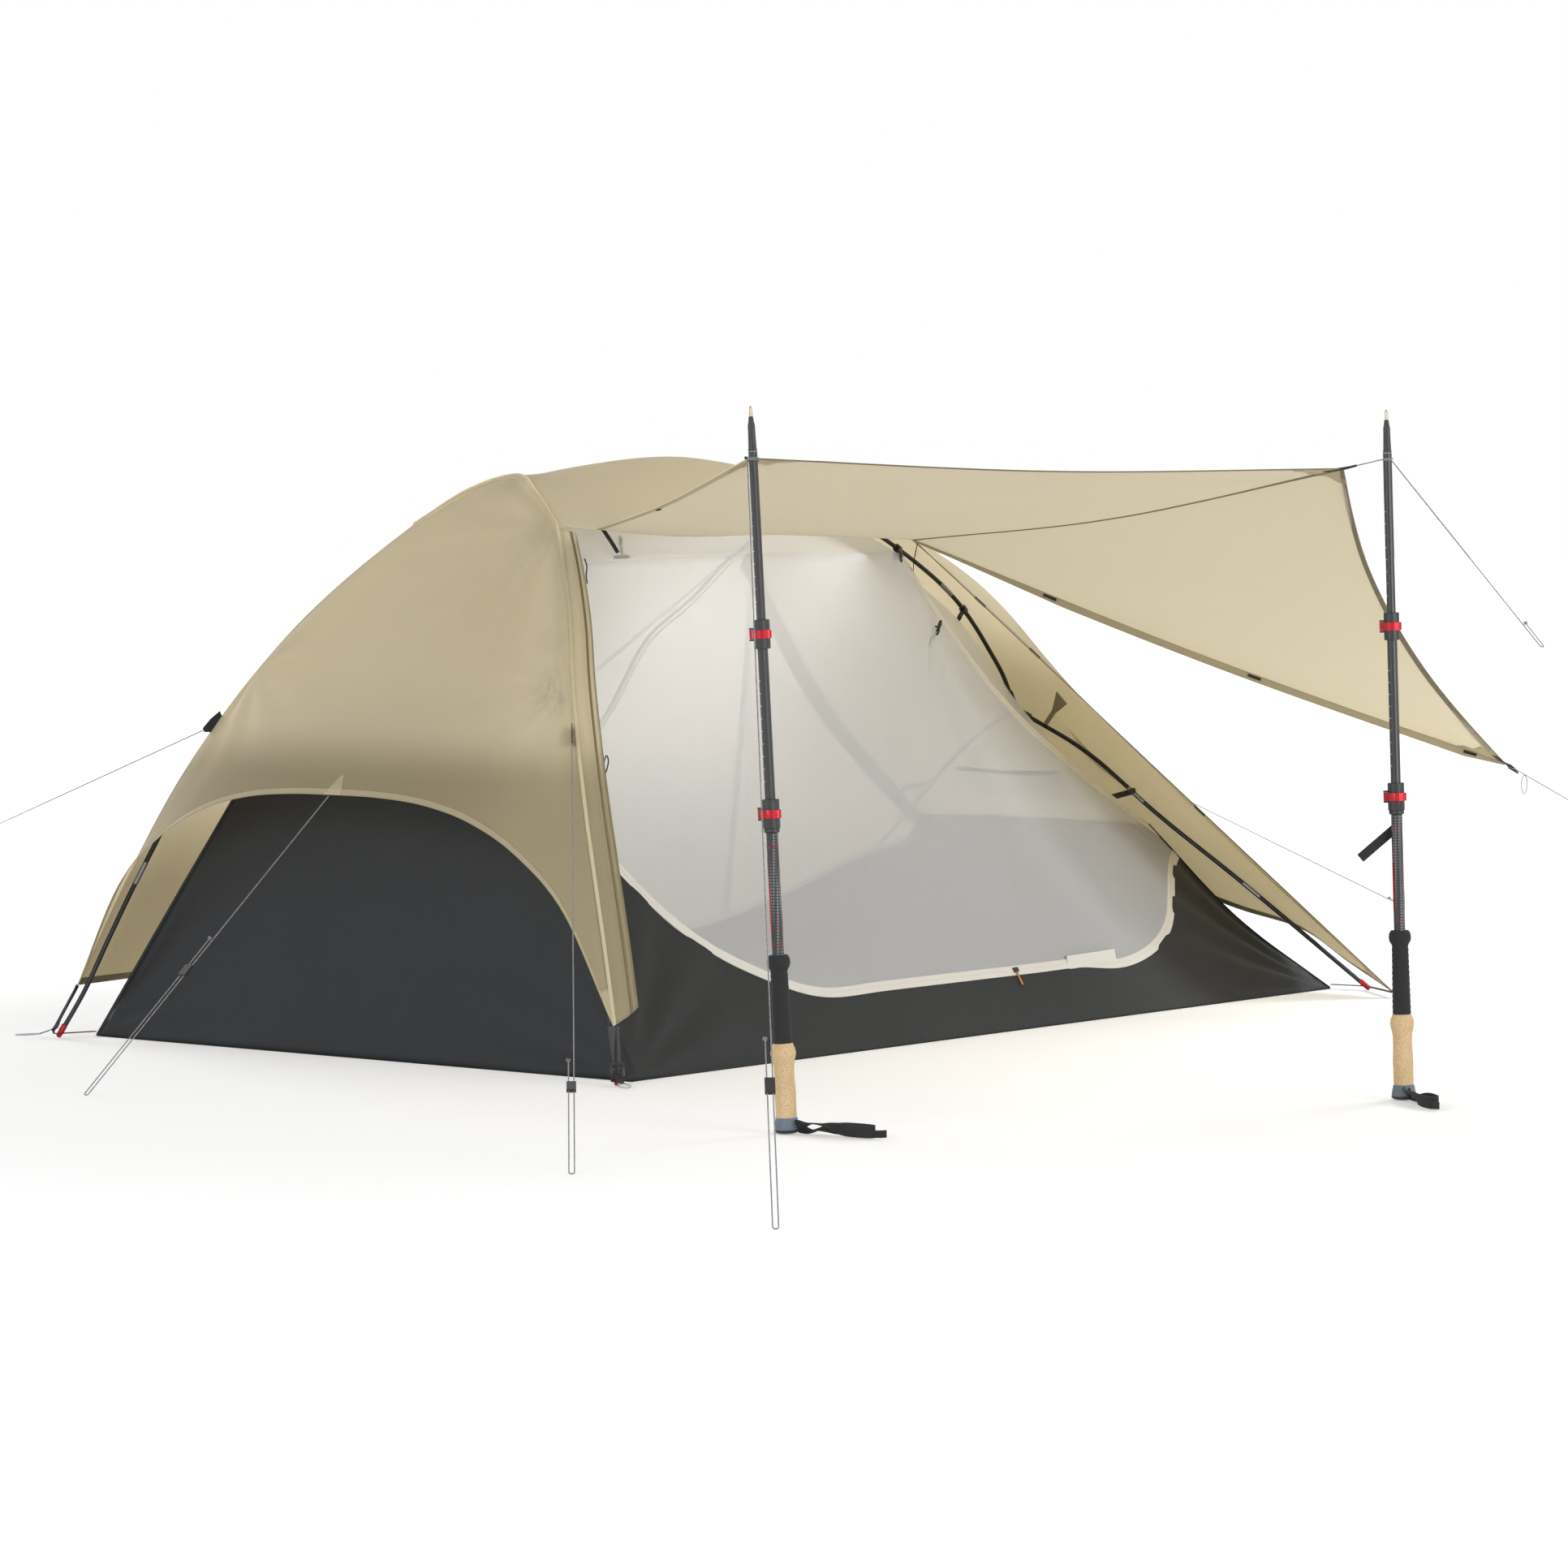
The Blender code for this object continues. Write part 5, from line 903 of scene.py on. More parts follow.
def fly_with_painted_shade(name, high, low, shade, glow=FLY_LIGHT):
    """Fly cloth with painted shade: below a height its colour darkens and it lets less light through,
    standing in for the dark tub behind it and the shade there.
    """
    made = let_light_through(cloth_finish(name, *FLY_COLOURS), FLY_SHARE, FLY_LIGHT)
    tree = made.node_tree
    height = node(tree, "SeparateXYZ", {0: on_object(tree)}).outputs[2]
    # The mask of the painted shade: zero above the high level, one below the low one.
    behind = node(tree, "MapRange", {0: height, 1: high, 2: low, 3: 0.0, 4: 1.0},
                  interpolation_type="SMOOTHSTEP").outputs[0]
    plain = first_node(tree, "GROUP").outputs[0]
    for start, end, into in ((plain, shade, tree.nodes["Principled BSDF"].inputs["Base Color"]),
                             (FLY_LIGHT, glow, first_node(tree, "BSDF_TRANSLUCENT").inputs["Color"])):
        tree.links.new(node(tree, "MixRGB", {0: behind, 1: start, 2: end}).outputs[0], into)
    return made


# Painted shade for the head panel and storm flap, the foot panel and the far door.
FLY_PAINTED_SHADE = fly_with_painted_shade("fly_ripstop_head_painted_shade", 0.60, 0.50, colour(172, 162, 136))
FOOT_PAINTED_SHADE = fly_with_painted_shade("fly_ripstop_foot_painted_shade", 0.80, 0.60, colour(206, 196, 168), colour(222, 213, 188))
DOOR_PAINTED_SHADE = fly_with_painted_shade("fly_ripstop_door_painted_shade", 0.55, 0.25, colour(176, 166, 140), colour(214, 205, 182))
HEAD_FINE = finer(FLY_HEAD, 73, 97)
ROOF_FINE = finer(FLY_ROOF, 61, 97)
FOOT_FINE = finer(FLY_FOOT, 73, 97)
head_sheet = fold_fans(HEAD_FINE, [SEAM_LINE[-1]], 0.42, 0.0022, 13)
head_sheet = fold_fans(head_sheet, [SEAM_LINE[0], SEAM_LINE[0] * FLIP], 0.5, 0.003, 15)
head_sheet = fold_fans(head_sheet, [SEAM_LINE[5], SEAM_LINE[5] * FLIP], 0.30, 0.0022, 11)
roof_sheet = fold_fans(ROOF_FINE, [HEADER_LINE[-1]], 0.35, 0.0016, 11)
foot_sheet = fold_fans(FOOT_FINE, [FOOT_EDGE[-1]], 0.5, 0.0014, 13)
fly_head = cloth("fly_head_cloth", head_sheet, FLY_PAINTED_SHADE, ["fly_head"])
fly_roof = cloth("fly_roof_cloth", roof_sheet, FLY, ["fly_roof"])
fly_foot = cloth("fly_foot_cloth", foot_sheet, FOOT_PAINTED_SHADE, ["fly_foot"])
head_parts = [hem_band("fly_head_hem", HEAD_FINE, "bottom", 0.012, ARCH_HEM),
              sewn_patch("fly_head_guy_patch", head_sheet, range(0, 5), 48, (0.020, 0.003), FLY),
              corner_patch("fly_head_patch_near", head_sheet, 0.07, FLY),
              corner_patch("fly_head_patch_far", head_sheet[:, ::-1], 0.07, FLY),
              grid_seam("fly_head_seam", HEAD_FINE, -1, 0.012, TAPE, FLY)]
declared(fly_head, HEAD_FINE)
roof_seam = grid_seam("fly_foot_seam", FOOT_FINE, 0, 0.012, TAPE, FLY)
declared(fly_roof, ROOF_FINE)
foot_parts = [hem_band("fly_foot_hem", FOOT_FINE, "top", 0.012, HEM),
              hem_band("fly_foot_edge_near", FOOT_FINE, "left", 0.008, HEM),
              band_piece("fly_foot_stitch_near", inward(FOOT_FINE, "left", 0.026),
                         inward(FOOT_FINE, "left", 0.0285), 0.0014, HEM),
              hem_band("fly_foot_edge_far", FOOT_FINE, "right", 0.012, HEM),
              corner_patch("fly_foot_patch_near", foot_sheet[::-1], 0.09, FLY),
              corner_patch("fly_foot_patch_far", foot_sheet[::-1, ::-1], 0.09, FLY)]
declared(fly_foot, FOOT_FINE)

# %% [markdown]
# A storm flap runs down beside the near head leg. When the door is closed the flap covers its zip, and
# with the door raised it hangs free as a narrow pleated band that carries the zip's tape.

# %% Hang the storm flap
low, high = Vector((0.85, -0.20, 0.48)), Vector((0.96, 0.03, -0.27))
flap = []
for i, place in enumerate(SEAM_LINE):
    way = np.array(low.lerp(high, i / (len(SEAM_LINE) - 1)).normalized() * 0.062)
    flap.append([place, place + way / 2 - np.array((0, 0.004, 0)), place + way])
FLAP_FINE = finer(np.array(flap), 81, 25)
pleat = np.sin(np.linspace(0, 4 * math.pi, 25)) * 0.0016
flap_sheet = FLAP_FINE + surface_normals(FLAP_FINE) * pleat[None, :, None]
storm_flap = cloth("storm_flap", flap_sheet, FLY_PAINTED_SHADE, ["fly_placket"])
flap_parts = [hem_band("storm_flap_hem", FLAP_FINE, "right", 0.008, HEM, TAPE),
              hem_band("storm_flap_seam", FLAP_FINE, "left", 0.007, PALE_HEM, TAPE),
              grid_seam("storm_flap_zip", FLAP_FINE, np.s_[:, 17], 0.0035, 0.0026, HEM)]
declared(storm_flap, FLAP_FINE)

# %% [markdown]
# ## The far door
#
# The door on the far side is closed and pegged out to one point, which makes a porch. It is one sheet
# with two triangular halves that meet at a seam from the header's end down to that point.

# %% Close the far door
apex = np.array((-0.100, HALF_W + 0.650, CORNER_HEIGHT))
left, header, right = SEAM_LINE * FLIP, HEADER_LINE * FLIP, FOOT_EDGE * FLIP
seam = smooth_curve([apex, (apex + header[-1]) / 2 + (0, 0.010, -0.012), header[-1]], 9)
hem = smooth_curve([left[0], (left[0] + apex) / 2 + (0.020, -0.035, 0.012), apex], 11)
front = coons(hem, header, left, seam)
hem = smooth_curve([apex, (apex + right[-1]) / 2 + (-0.010, -0.045, 0.010), right[-1]], 7)
edge = smooth_curve([right[0], right[-1]], 15)
side = coons(hem, edge[:7], seam, edge[:5:-1])
DOOR_FINE = np.concatenate([finer(front, 65, 81), finer(side, 65, 49)[:, 1:]], axis=1)
door_sheet = fold_fans(DOOR_FINE, [apex], 0.6, 0.004, 15)
far_door = cloth("far_door_cloth", door_sheet, DOOR_PAINTED_SHADE, ["back_vestibule"])
far_parts = [hem_band("far_door_hem", DOOR_FINE, "bottom", 0.014, HEM),
             grid_seam("far_door_seam", DOOR_FINE, np.s_[:, 80], 0.014, 0.002, HEM)]
declared(far_door, DOOR_FINE)

# %% [markdown]
# ## The awning
#
# The near door is lifted on two trekking poles. Its corners are a and e on the roof's edge, b and c at
# the pole tips, and d low down. The main panel spans a, b, c and e, and the side panel drops from e and
# c to d. Both sag a little between the points that hold them, and the free hem from c to d curves in,
# because a straight hem would flap. The low edge from e to d is seen nearly edge on, so its hem hangs
# down under it as a narrow band.

# %% Raise the near door
SAG = 0.021
a, e = HEADER_LINE[1], HEADER_LINE[-1]
b, c, d = (np.array(place) for place in (AWNING_B, AWNING_C, AWNING_D))
drop = np.array((0, 0, -SAG))
front = smooth_curve([b, (b + c) / 2 + drop * 0.6, c], len(HEADER_LINE) - 1)
seam = smooth_curve([e, (e + c) / 2 + drop, c], 8)
main = coons(HEADER_LINE[1:], front, smooth_curve([a, (a + b) / 2 + drop * 0.5, b], 8), seam)
main[:, :, 2] -= np.outer(*[np.sin(np.linspace(0, math.pi, n)) for n in main.shape[:2]]) * SAG * 0.5
hollow = (e - (c + d) / 2) * 0.065
hem = smooth_curve([c, c + (d - c) * 0.25 + hollow * 0.75, (c + d) / 2 + hollow,
                    c + (d - c) * 0.75 + hollow * 0.75, d], 8)
zip_edge = smooth_curve([e, (e + d) / 2 + drop * 0.6, d], 15)
side = coons(zip_edge[:8], hem, seam, zip_edge[7:])
MAIN_FINE, SIDE_FINE = finer(main, 65, 97), finer(side, 65, 65)
main_sheet = fold_fans(fold_fans(MAIN_FINE, [b], 0.5, 0.004, 15), [c], 0.5, 0.004, 13)
side_sheet = fold_fans(fold_fans(SIDE_FINE, [c], 0.5, 0.004, 11), [d], 0.5, 0.004, 15)
AWNING_FINE = np.concatenate([main_sheet, side_sheet[:, 1:]], axis=1)
awning = cloth("awning_cloth", AWNING_FINE, AWNING, ["awning"])
low_edge = np.concatenate([SIDE_FINE[0], SIDE_FINE[1:, -1]])
low_into = unit(np.cross(np.gradient(low_edge, axis=0), np.array(UP)))
low_into *= np.sign(np.sum(low_into * (SIDE_FINE.mean(axis=(0, 1)) - low_edge), axis=1))[:, None]
low_share = np.linspace(0, 1, len(low_edge))
hem_drop = np.outer(np.interp(low_share, [0, 0.25, 0.93, 1], [0.003, 0.015, 0.015, 0.004]), UP)
awning_parts = [
    hem_band("awning_front_hem", MAIN_FINE, "top", 0.007, HEM),
    hem_band("awning_head_hem", MAIN_FINE, "left", 0.012, PALE_HEM),
    hem_band("awning_free_hem", SIDE_FINE, "top", 0.014, HEM),
    band_piece("awning_zip_hem", low_edge + low_into * 0.004, low_edge - hem_drop, TAPE, ARCH_HEM),
    corner_patch("awning_patch_b", main_sheet[::-1], 0.11, AWNING),
    corner_patch("awning_patch_c_main", main_sheet[::-1, ::-1], 0.10, AWNING),
    corner_patch("awning_patch_c_side", side_sheet[::-1], 0.10, AWNING),
    corner_patch("awning_patch_d", side_sheet[::-1, ::-1], 0.11, AWNING),
    grid_seam("awning_seam", SIDE_FINE, np.s_[:, 0], 0.006, TAPE, HEM),
]
declared(awning, AWNING_FINE)

# %% [markdown]
# ## The inner tent's net
#
# The inner tent hangs under the fly: a coated tub below, mesh above. Its guides run over the head
# end, along the roof, down the slope and over the foot end. The two long sides are one patch each, cut
# in two by the door's zip: tub below the zip, mesh door above it.

# %% Draw the inner tent's grids
FLOOR_THICKNESS = 0.0012
WALL_FOOT = FLOOR_THICKNESS + 0.0004
WING_TOP = (HALF_L - 0.139, -0.291, 0.331)
DOOR_ZIP = [(0.056, 0.41), (0.101, 0.30), (0.135, 0.243), (0.202, 0.167), (0.25, 0.13),
            (0.70, 0.13), (0.757, 0.165), (0.82, 0.247), (0.87, 0.37), (0.915, 0.53), (0.96, 0.70)]
INNER_ROWS = {"head": 10, "roof": 10, "slope": 9, "foot": 7}
INNER_ACROSS, WALL_ROWS, ZIP_HEIGHT = 9, 6, 0.105


def inner_guides():
    """The inner tent's near edge and its ridge, from the head's floor edge to the foot's."""
    head_top = Vector((-0.785, -0.190, 0.885))
    foot_top = Vector((0.260, -0.190, 0.895))
    wing = Vector(WING_TOP)
    corner = Vector((-HALF_L + 0.002, -HALF_W + 0.002, WALL_FOOT))
    foot_corner = Vector((HALF_L - 0.002, -HALF_W + 0.002, WALL_FOOT))
    under = spine_curve(-0.042)
    crown_head = Vector((-0.720, 0, 0.985))
    roof = [p for p in under if crown_head.x + 0.05 < p[0] < 0.210]
    crown_foot = Vector((0.260, 0, float(np.interp(0.260, under[:, 0], under[:, 2]))))
    slope = [p for p in under if 0.310 < p[0] < FOOT_HUB.x - 0.05]
    wing_middle = Vector((wing.x + 0.002, 0, wing.z + 0.004))
    near = {
        "head": [corner, Vector((0.075 - HALF_L, -0.438, 0.356)), Vector((0.195 - HALF_L, -0.300, 0.660)),
                 head_top],
        "roof": [head_top, head_top.lerp(foot_top, 0.5) + UP * 0.008, foot_top],
        "slope": [foot_top, Vector((0.530, -0.229, 0.625)), Vector((0.754, -0.260, 0.468)), wing],
        "foot": [wing, Vector((HALF_L - 0.072, -0.465, 0.142)), foot_corner]}
    ridge = {
        "head": [Vector((corner.x, 0, WALL_FOOT)), Vector((0.080 - HALF_L, 0, 0.350)),
                 Vector((0.195 - HALF_L, 0, 0.680)), crown_head],
        "roof": [crown_head, *roof[::6], crown_foot],
        "slope": [crown_foot, *slope[::6], Vector((FOOT_HUB.x + 0.020, 0, 0.440)), wing_middle],
        "foot": [wing_middle, Vector((HALF_L - 0.062, 0, 0.160)), Vector((foot_corner.x, 0, WALL_FOOT))]}
    return near, ridge


def inner_net():
    """The inner tent's head, roof, slope and foot as grids, and the near edge of each."""
    near, ridge = inner_guides()
    grids, edges = {}, {}
    for part, rows in INNER_ROWS.items():
        edge, centre = smooth_curve(near[part], rows), smooth_curve(ridge[part], rows)
        if part in ("head", "foot"):
            u = np.linspace(-1, 1, INNER_ACROSS)[:, None]
            grids[part] = np.array([e * u**2 + c * (1 - u**2) for e, c in zip(edge, centre)])
            grids[part][:, :, 1] = np.outer(np.abs(edge[:, 1]), u)
        else:
            sine = np.sin(np.linspace(0, math.pi, rows))[:, None] if part == "slope" else 1
            half = edge * 0.5 + centre * 0.5 + np.array([0, 0, 0.012]) * sine
            grids[part] = net([edge, half, centre, half * FLIP, edge * FLIP], INNER_ACROSS)
        edges[part] = edge
    grids["roof"][0], grids["slope"][-1] = grids["head"][-1], grids["foot"][0]
    return grids, edges


def side_panel(edges):
    """The near long side as one patch from the floor to the header, and its door zip's levels."""
    top = np.concatenate([edges["roof"], edges["slope"][1:]])
    share = np.concatenate([np.linspace(0, 0.6, 10), np.linspace(0.6, 1.0, 9)[1:]])
    left, right = edges["head"], edges["foot"][::-1]
    bottom = np.array([left[0] + (right[0] - left[0]) * s for s in share])
    head_rows, foot_rows = INNER_ROWS["head"] - 1, INNER_ROWS["foot"] - 1
    levels = np.linspace(0, 1, head_rows * foot_rows + 1)
    start, end = (np.array([at_share(line, v) for v in levels]) for line in (left, right))
    grid = coons(bottom, top, start, end, share)
    line = [(0, (WALL_ROWS - 1) / head_rows), *DOOR_ZIP, (1, (WALL_ROWS - 1) / foot_rows)]
    zip_level = np.interp(share, *zip(*line))
    for j in range(len(share)):
        if 0.26 <= share[j] <= 0.68:
            zip_level[j] = np.interp(ZIP_HEIGHT, grid[:, j, 2], levels)
    return grid, zip_level, levels


def column_piece(grid, levels, low, high, rows):
    """A part of each column of the side patch, between two shares of its height."""
    return np.array([[[np.interp(v, levels, grid[:, j, k]) for k in range(3)]
                      for j, v in enumerate(low + (high - low) * t)] for t in np.linspace(0, 1, rows)])


INNER, INNER_EDGE = inner_net()
SIDE, ZIP_LEVEL, LEVELS = side_panel(INNER_EDGE)
WALL = column_piece(SIDE, LEVELS, np.zeros(18), ZIP_LEVEL, WALL_ROWS)
DOOR = column_piece(SIDE, LEVELS, ZIP_LEVEL, np.ones(18), INNER_ROWS["head"] - WALL_ROWS + 1)
CANOPY = np.concatenate([INNER["head"][WALL_ROWS - 1:], INNER["roof"][1:], INNER["slope"][1:]])
print("inner grids:", [grid.shape[:2] for grid in (WALL, DOOR, CANOPY)])

# %% [markdown]
# The tub is taut at its corners and slack between them, so its long walls and its head wall get
# shallow folds. The floor is one flat sheet whose underside lies on the ground.

# %% Sew the tub and hang the mesh
MESH_THREAD = 0.0003
WALL_FINE, DOOR_FINE_NEAR = finer(WALL, 41, 137), finer(DOOR, 41, 137)
HEAD_WALL, FOOT_WALL = finer(INNER["head"][:WALL_ROWS], 49, 81), finer(INNER["foot"], 41, 81)
CANOPY_FINE = finer(CANOPY, 121, 73)
folded = fold_fans(WALL_FINE, [WALL_FINE[0, 0], WALL_FINE[0, -1]], 0.6, 0.004, 17)
head_folded = fold_fans(HEAD_WALL, [HEAD_WALL[0, 0], HEAD_WALL[0, -1]], 0.55, 0.004, 15)
xs, ys = np.linspace(-HALF_L, HALF_L, 61), np.linspace(-HALF_W, HALF_W, 41)
FLOOR = np.array([[(x, y, FLOOR_THICKNESS / 2) for x in xs] for y in ys])
walls = [(cloth("tub_near_wall", folded, TUB, ["tub_front_wall"]), WALL_FINE),
         (cloth("tub_far_wall", folded * FLIP, TUB, ["tub_back_wall"]), WALL_FINE),
         (cloth("tub_head_cloth", head_folded, TUB, ["tub_head_wall"]), HEAD_WALL),
         (cloth("tub_foot_cloth", FOOT_WALL, TUB, ["tub_foot_wall"]), FOOT_WALL)]
floor_sheet = cloth("tub_floor_cloth", FLOOR, TUB, ["tub_floor"], FLOOR_THICKNESS)
for piece, grid in walls:
    declared(piece, grid)
declared(floor_sheet, FLOOR, flat=(2.25, 1.30))

near_mesh = cloth("near_door_mesh", DOOR_FINE_NEAR, NET, ["door_mesh"], MESH_THREAD)
far_mesh = cloth("far_door_mesh", DOOR_FINE_NEAR * FLIP, NET, ["back_mesh"], MESH_THREAD)
roof_mesh = cloth("roof_mesh", CANOPY_FINE, NET, ["canopy_mesh"], MESH_THREAD)
for piece, grid in ((near_mesh, DOOR_FINE_NEAR), (far_mesh, DOOR_FINE_NEAR), (roof_mesh, CANOPY_FINE)):
    declared(piece, grid)

# %% [markdown]
# Pale tape covers the seams of the mesh. One runs along the door's zip on the top of the tub. A wider
# band lies just inside the slope's edge, from the header down to the foot end. Near tapes are white,
# and far ones are the same tape with painted shade, grey, for the two layers of mesh and their shade
# that lie in front of them.

# %% Bind the inner tent's seams
ZIP_TAPE, ZIP_TEETH = (0.020, 0.0022), (0.0042, 0.0040)


def eased(line, width):
    """The line with each point moved to the mean of its neighbours; the ends stay."""
    padded = np.concatenate([[line[0]] * (width // 2), line, [line[-1]] * (width // 2)])
    means = np.stack([np.convolve(padded[:, k], np.ones(width) / width, "valid") for k in range(3)], axis=1)
    fade = np.clip(np.minimum(np.arange(len(line)), np.arange(len(line))[::-1]) / width, 0, 1)[:, None]
    return line * (1 - fade) + means * fade


slope_start = int(np.argmin(np.linalg.norm(DOOR_FINE_NEAR[-1] - INNER_EDGE["slope"][0], axis=1)))
slope_edge = DOOR_FINE_NEAR[-1][slope_start:]
slope_inner = inward(DOOR_FINE_NEAR, "top", 0.036)[slope_start:]
zip_line, zip_normals = eased(DOOR_FINE_NEAR[0], 9), eased(surface_normals(DOOR_FINE_NEAR)[0], 25)
for side_name, flip in BOTH_SIDES:
    # Far tapes are the white binding with painted shade, which makes them grey.
    tape = BINDING if side_name == "near" else GREY_TAPE
    seam_band(f"{side_name}_zip_tape", zip_line * flip, zip_normals * flip, *ZIP_TAPE, tape)
    seam_band(f"{side_name}_zip_teeth", zip_line * flip, zip_normals * flip, *ZIP_TEETH, BINDING)
    band_piece(f"{side_name}_slope_binding", slope_edge * flip, slope_inner * flip, TAPE, tape)
    for wall_name, grid in (("head", HEAD_WALL), ("foot", FOOT_WALL)):
        seam_band(f"{side_name}_{wall_name}_corner_seam", grid[:, 0] * flip,
                  surface_normals(grid)[:, 0] * flip, 0.006, TAPE, TUB)
    print(side_name, "seams bound")

# %% [markdown]
# ## The studio
#
# The photograph has no floor line: a white sweep runs from under the tent to the horizon and up. A
# large pale plane takes the soft shadow. What the camera sees of it is lifted towards white with the
# distance, so that the shadow stays and the far edge melts into the white of the world. The light is an
# even sky, brighter near the horizon, with one large soft lamp for the head end, one for the door side
# and one for the far side. A smaller lamp brightens the foot end, and a weak one the inside.

# %% Set the floor and the light
WHITE, PAPER_TONE = (1, 1, 1, 1), (0.86, 0.86, 0.86, 1)


def seen_directly(tree):
    """One for a ray from the camera and for one sent on by metal or glass, and zero for others."""
    path = node(tree, "LightPath").outputs
    first = calc(tree, "MAXIMUM", path["Is Camera Ray"], path["Is Glossy Ray"])
    return calc(tree, "MAXIMUM", first, path["Is Transmission Ray"])


bpy.ops.mesh.primitive_plane_add(size=120, location=(0, 0, -0.0003))
floor = bpy.context.object
floor.name = "studio_floor"
paper = bpy.data.materials.new("studio_paper")
paper.use_nodes = True
tree = paper.node_tree
shader = tree.nodes["Principled BSDF"]
for key, value in (("Base Color", PAPER_TONE), ("Roughness", 0.9), ("Specular IOR Level", 0.1),
                   ("Emission Color", WHITE)):
    shader.inputs[key].default_value = value
distance = node(tree, "VectorMath", {0: on_object(tree)}, operation="LENGTH").outputs["Value"]
glow = node(tree, "MapRange", {0: distance, 1: 2.2, 2: 7.0, 3: 0.36, 4: 1.0},
            interpolation_type="SMOOTHSTEP").outputs[0]
tree.links.new(calc(tree, "MULTIPLY", seen_directly(tree), glow), shader.inputs["Emission Strength"])
floor.data.materials.append(paper)

world = bpy.data.worlds.new("studio_sky")
bpy.context.scene.world = world
world.use_nodes = True
tree = world.node_tree
rise = node(tree, "SeparateXYZ", {0: node(tree, "TexCoord").outputs["Generated"]}).outputs[2]
plain = node(tree, "MapRange", {0: rise, 1: 0.0, 2: 1.0, 3: 0.60, 4: 0.24}).outputs[0]
strength = calc(tree, "MAXIMUM", plain, seen_directly(tree))
tree.links.new(strength, tree.nodes["Background"].inputs["Strength"])
tree.nodes["Background"].inputs["Color"].default_value = WHITE

LAMPS = [("key_lamp", (-9.0, -1.5, 2.8), (-0.6, 0, 0.5), 4.0, 195),
         ("door_lamp", (-1.5, -9.0, 2.0), (0.1, -0.4, 0.5), 4.0, 250),
         ("back_lamp", (2.8, -1.9, 2.6), (1.0, -1.1, 0.60), 1.6, 60),
         ("inner_lamp", (0.20, -0.12, 0.66), (0.05, 0.8, 0.26), 0.5, 3.3),
         ("far_lamp", (0.4, 7.0, 2.6), (0, 0.6, 0.4), 4.0, 250)]
for name, place, aim, size, watts in LAMPS:
    data = bpy.data.lights.new(name, "AREA")
    data.size, data.energy = size, watts
    made = placed(name, data)
    made.location = place
    made.rotation_euler = (Vector(aim) - Vector(place)).to_track_quat("-Z", "Y").to_euler()
bpy.context.scene.view_settings.view_transform = "Standard"
print("lamps:", len(LAMPS))

# %% [markdown]
# ## Making rigid pieces
#
# The fittings are modelled as by hand. A primitive is added at its size, its faces are picked by place
# or by direction, and they are extruded, inset or scaled. A turned part such as a grip or a tip starts
# as a flat circle that is extruded and scaled once for each point of its outline. The piece is shaped
# upright at the world's origin, where the numbers are plain, and its mesh is then moved to its place.

# %% Helpers for rigid pieces
def begin(kind, **settings):
    """A new primitive, alone selected, with its place and size in its mesh."""
    bpy.ops.object.select_all(action="DESELECT")
    getattr(bpy.ops.mesh, f"primitive_{kind}_add")(**settings)
    made = bpy.context.object
    bpy.ops.object.transform_apply(location=True, rotation=True, scale=True)
    return made


def pick(wanted):
    """Selects the faces of the piece in edit mode whose middle and direction are wanted."""
    data = bpy.context.object.data
    bpy.ops.mesh.select_mode(type="FACE")
    bpy.ops.mesh.select_all(action="DESELECT")
    work = bmesh.from_edit_mesh(data)
    for face in work.faces:
        face.select_set(bool(wanted(face.calc_center_median(), face.normal)))
    bmesh.update_edit_mesh(data)


def grow(move, scale, about):
    """Extrudes what is selected, then scales the new end about a place."""
    bpy.ops.mesh.extrude_region_move(TRANSFORM_OT_translate={"value": move})
    if scale != (1, 1, 1):
        bpy.ops.transform.resize(value=scale, center_override=about)


def rounded_edges(piece, width):
    """A bevel of two steps along the sharp edges of a piece."""
    rounding = piece.modifiers.new("rounding", "BEVEL")
    rounding.width, rounding.segments, rounding.limit_method = width, 2, "ANGLE"
    return rounding


def complete(made, name, frame_here, material, body, bevel=0.0):
    """Rounds a shaped piece, puts it in its place and says which body carries it."""
    bpy.ops.mesh.select_all(action="SELECT")
    bpy.ops.mesh.remove_doubles(threshold=1e-6)
    bpy.ops.mesh.normals_make_consistent(inside=False)
    bpy.ops.object.mode_set(mode="OBJECT")
    if bevel:
        bpy.ops.object.modifier_apply(modifier=rounded_edges(made, bevel).name)
    bpy.ops.object.shade_smooth_by_angle(angle=math.radians(40))
    made.name = made.data.name = name
    made.data.transform(frame_here)
    made.data.materials.clear()
    made.data.materials.append(material)
    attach(made, body)
    return made


def copied(piece, name, frame_from, frame_to):
    """A copy with its own mesh, carried from one frame to another."""
    made = placed(name, piece.data.copy())
    made.data.name = name
    made.data.transform(frame_to @ frame_from.inverted())
    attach(made, "tent")
    return made


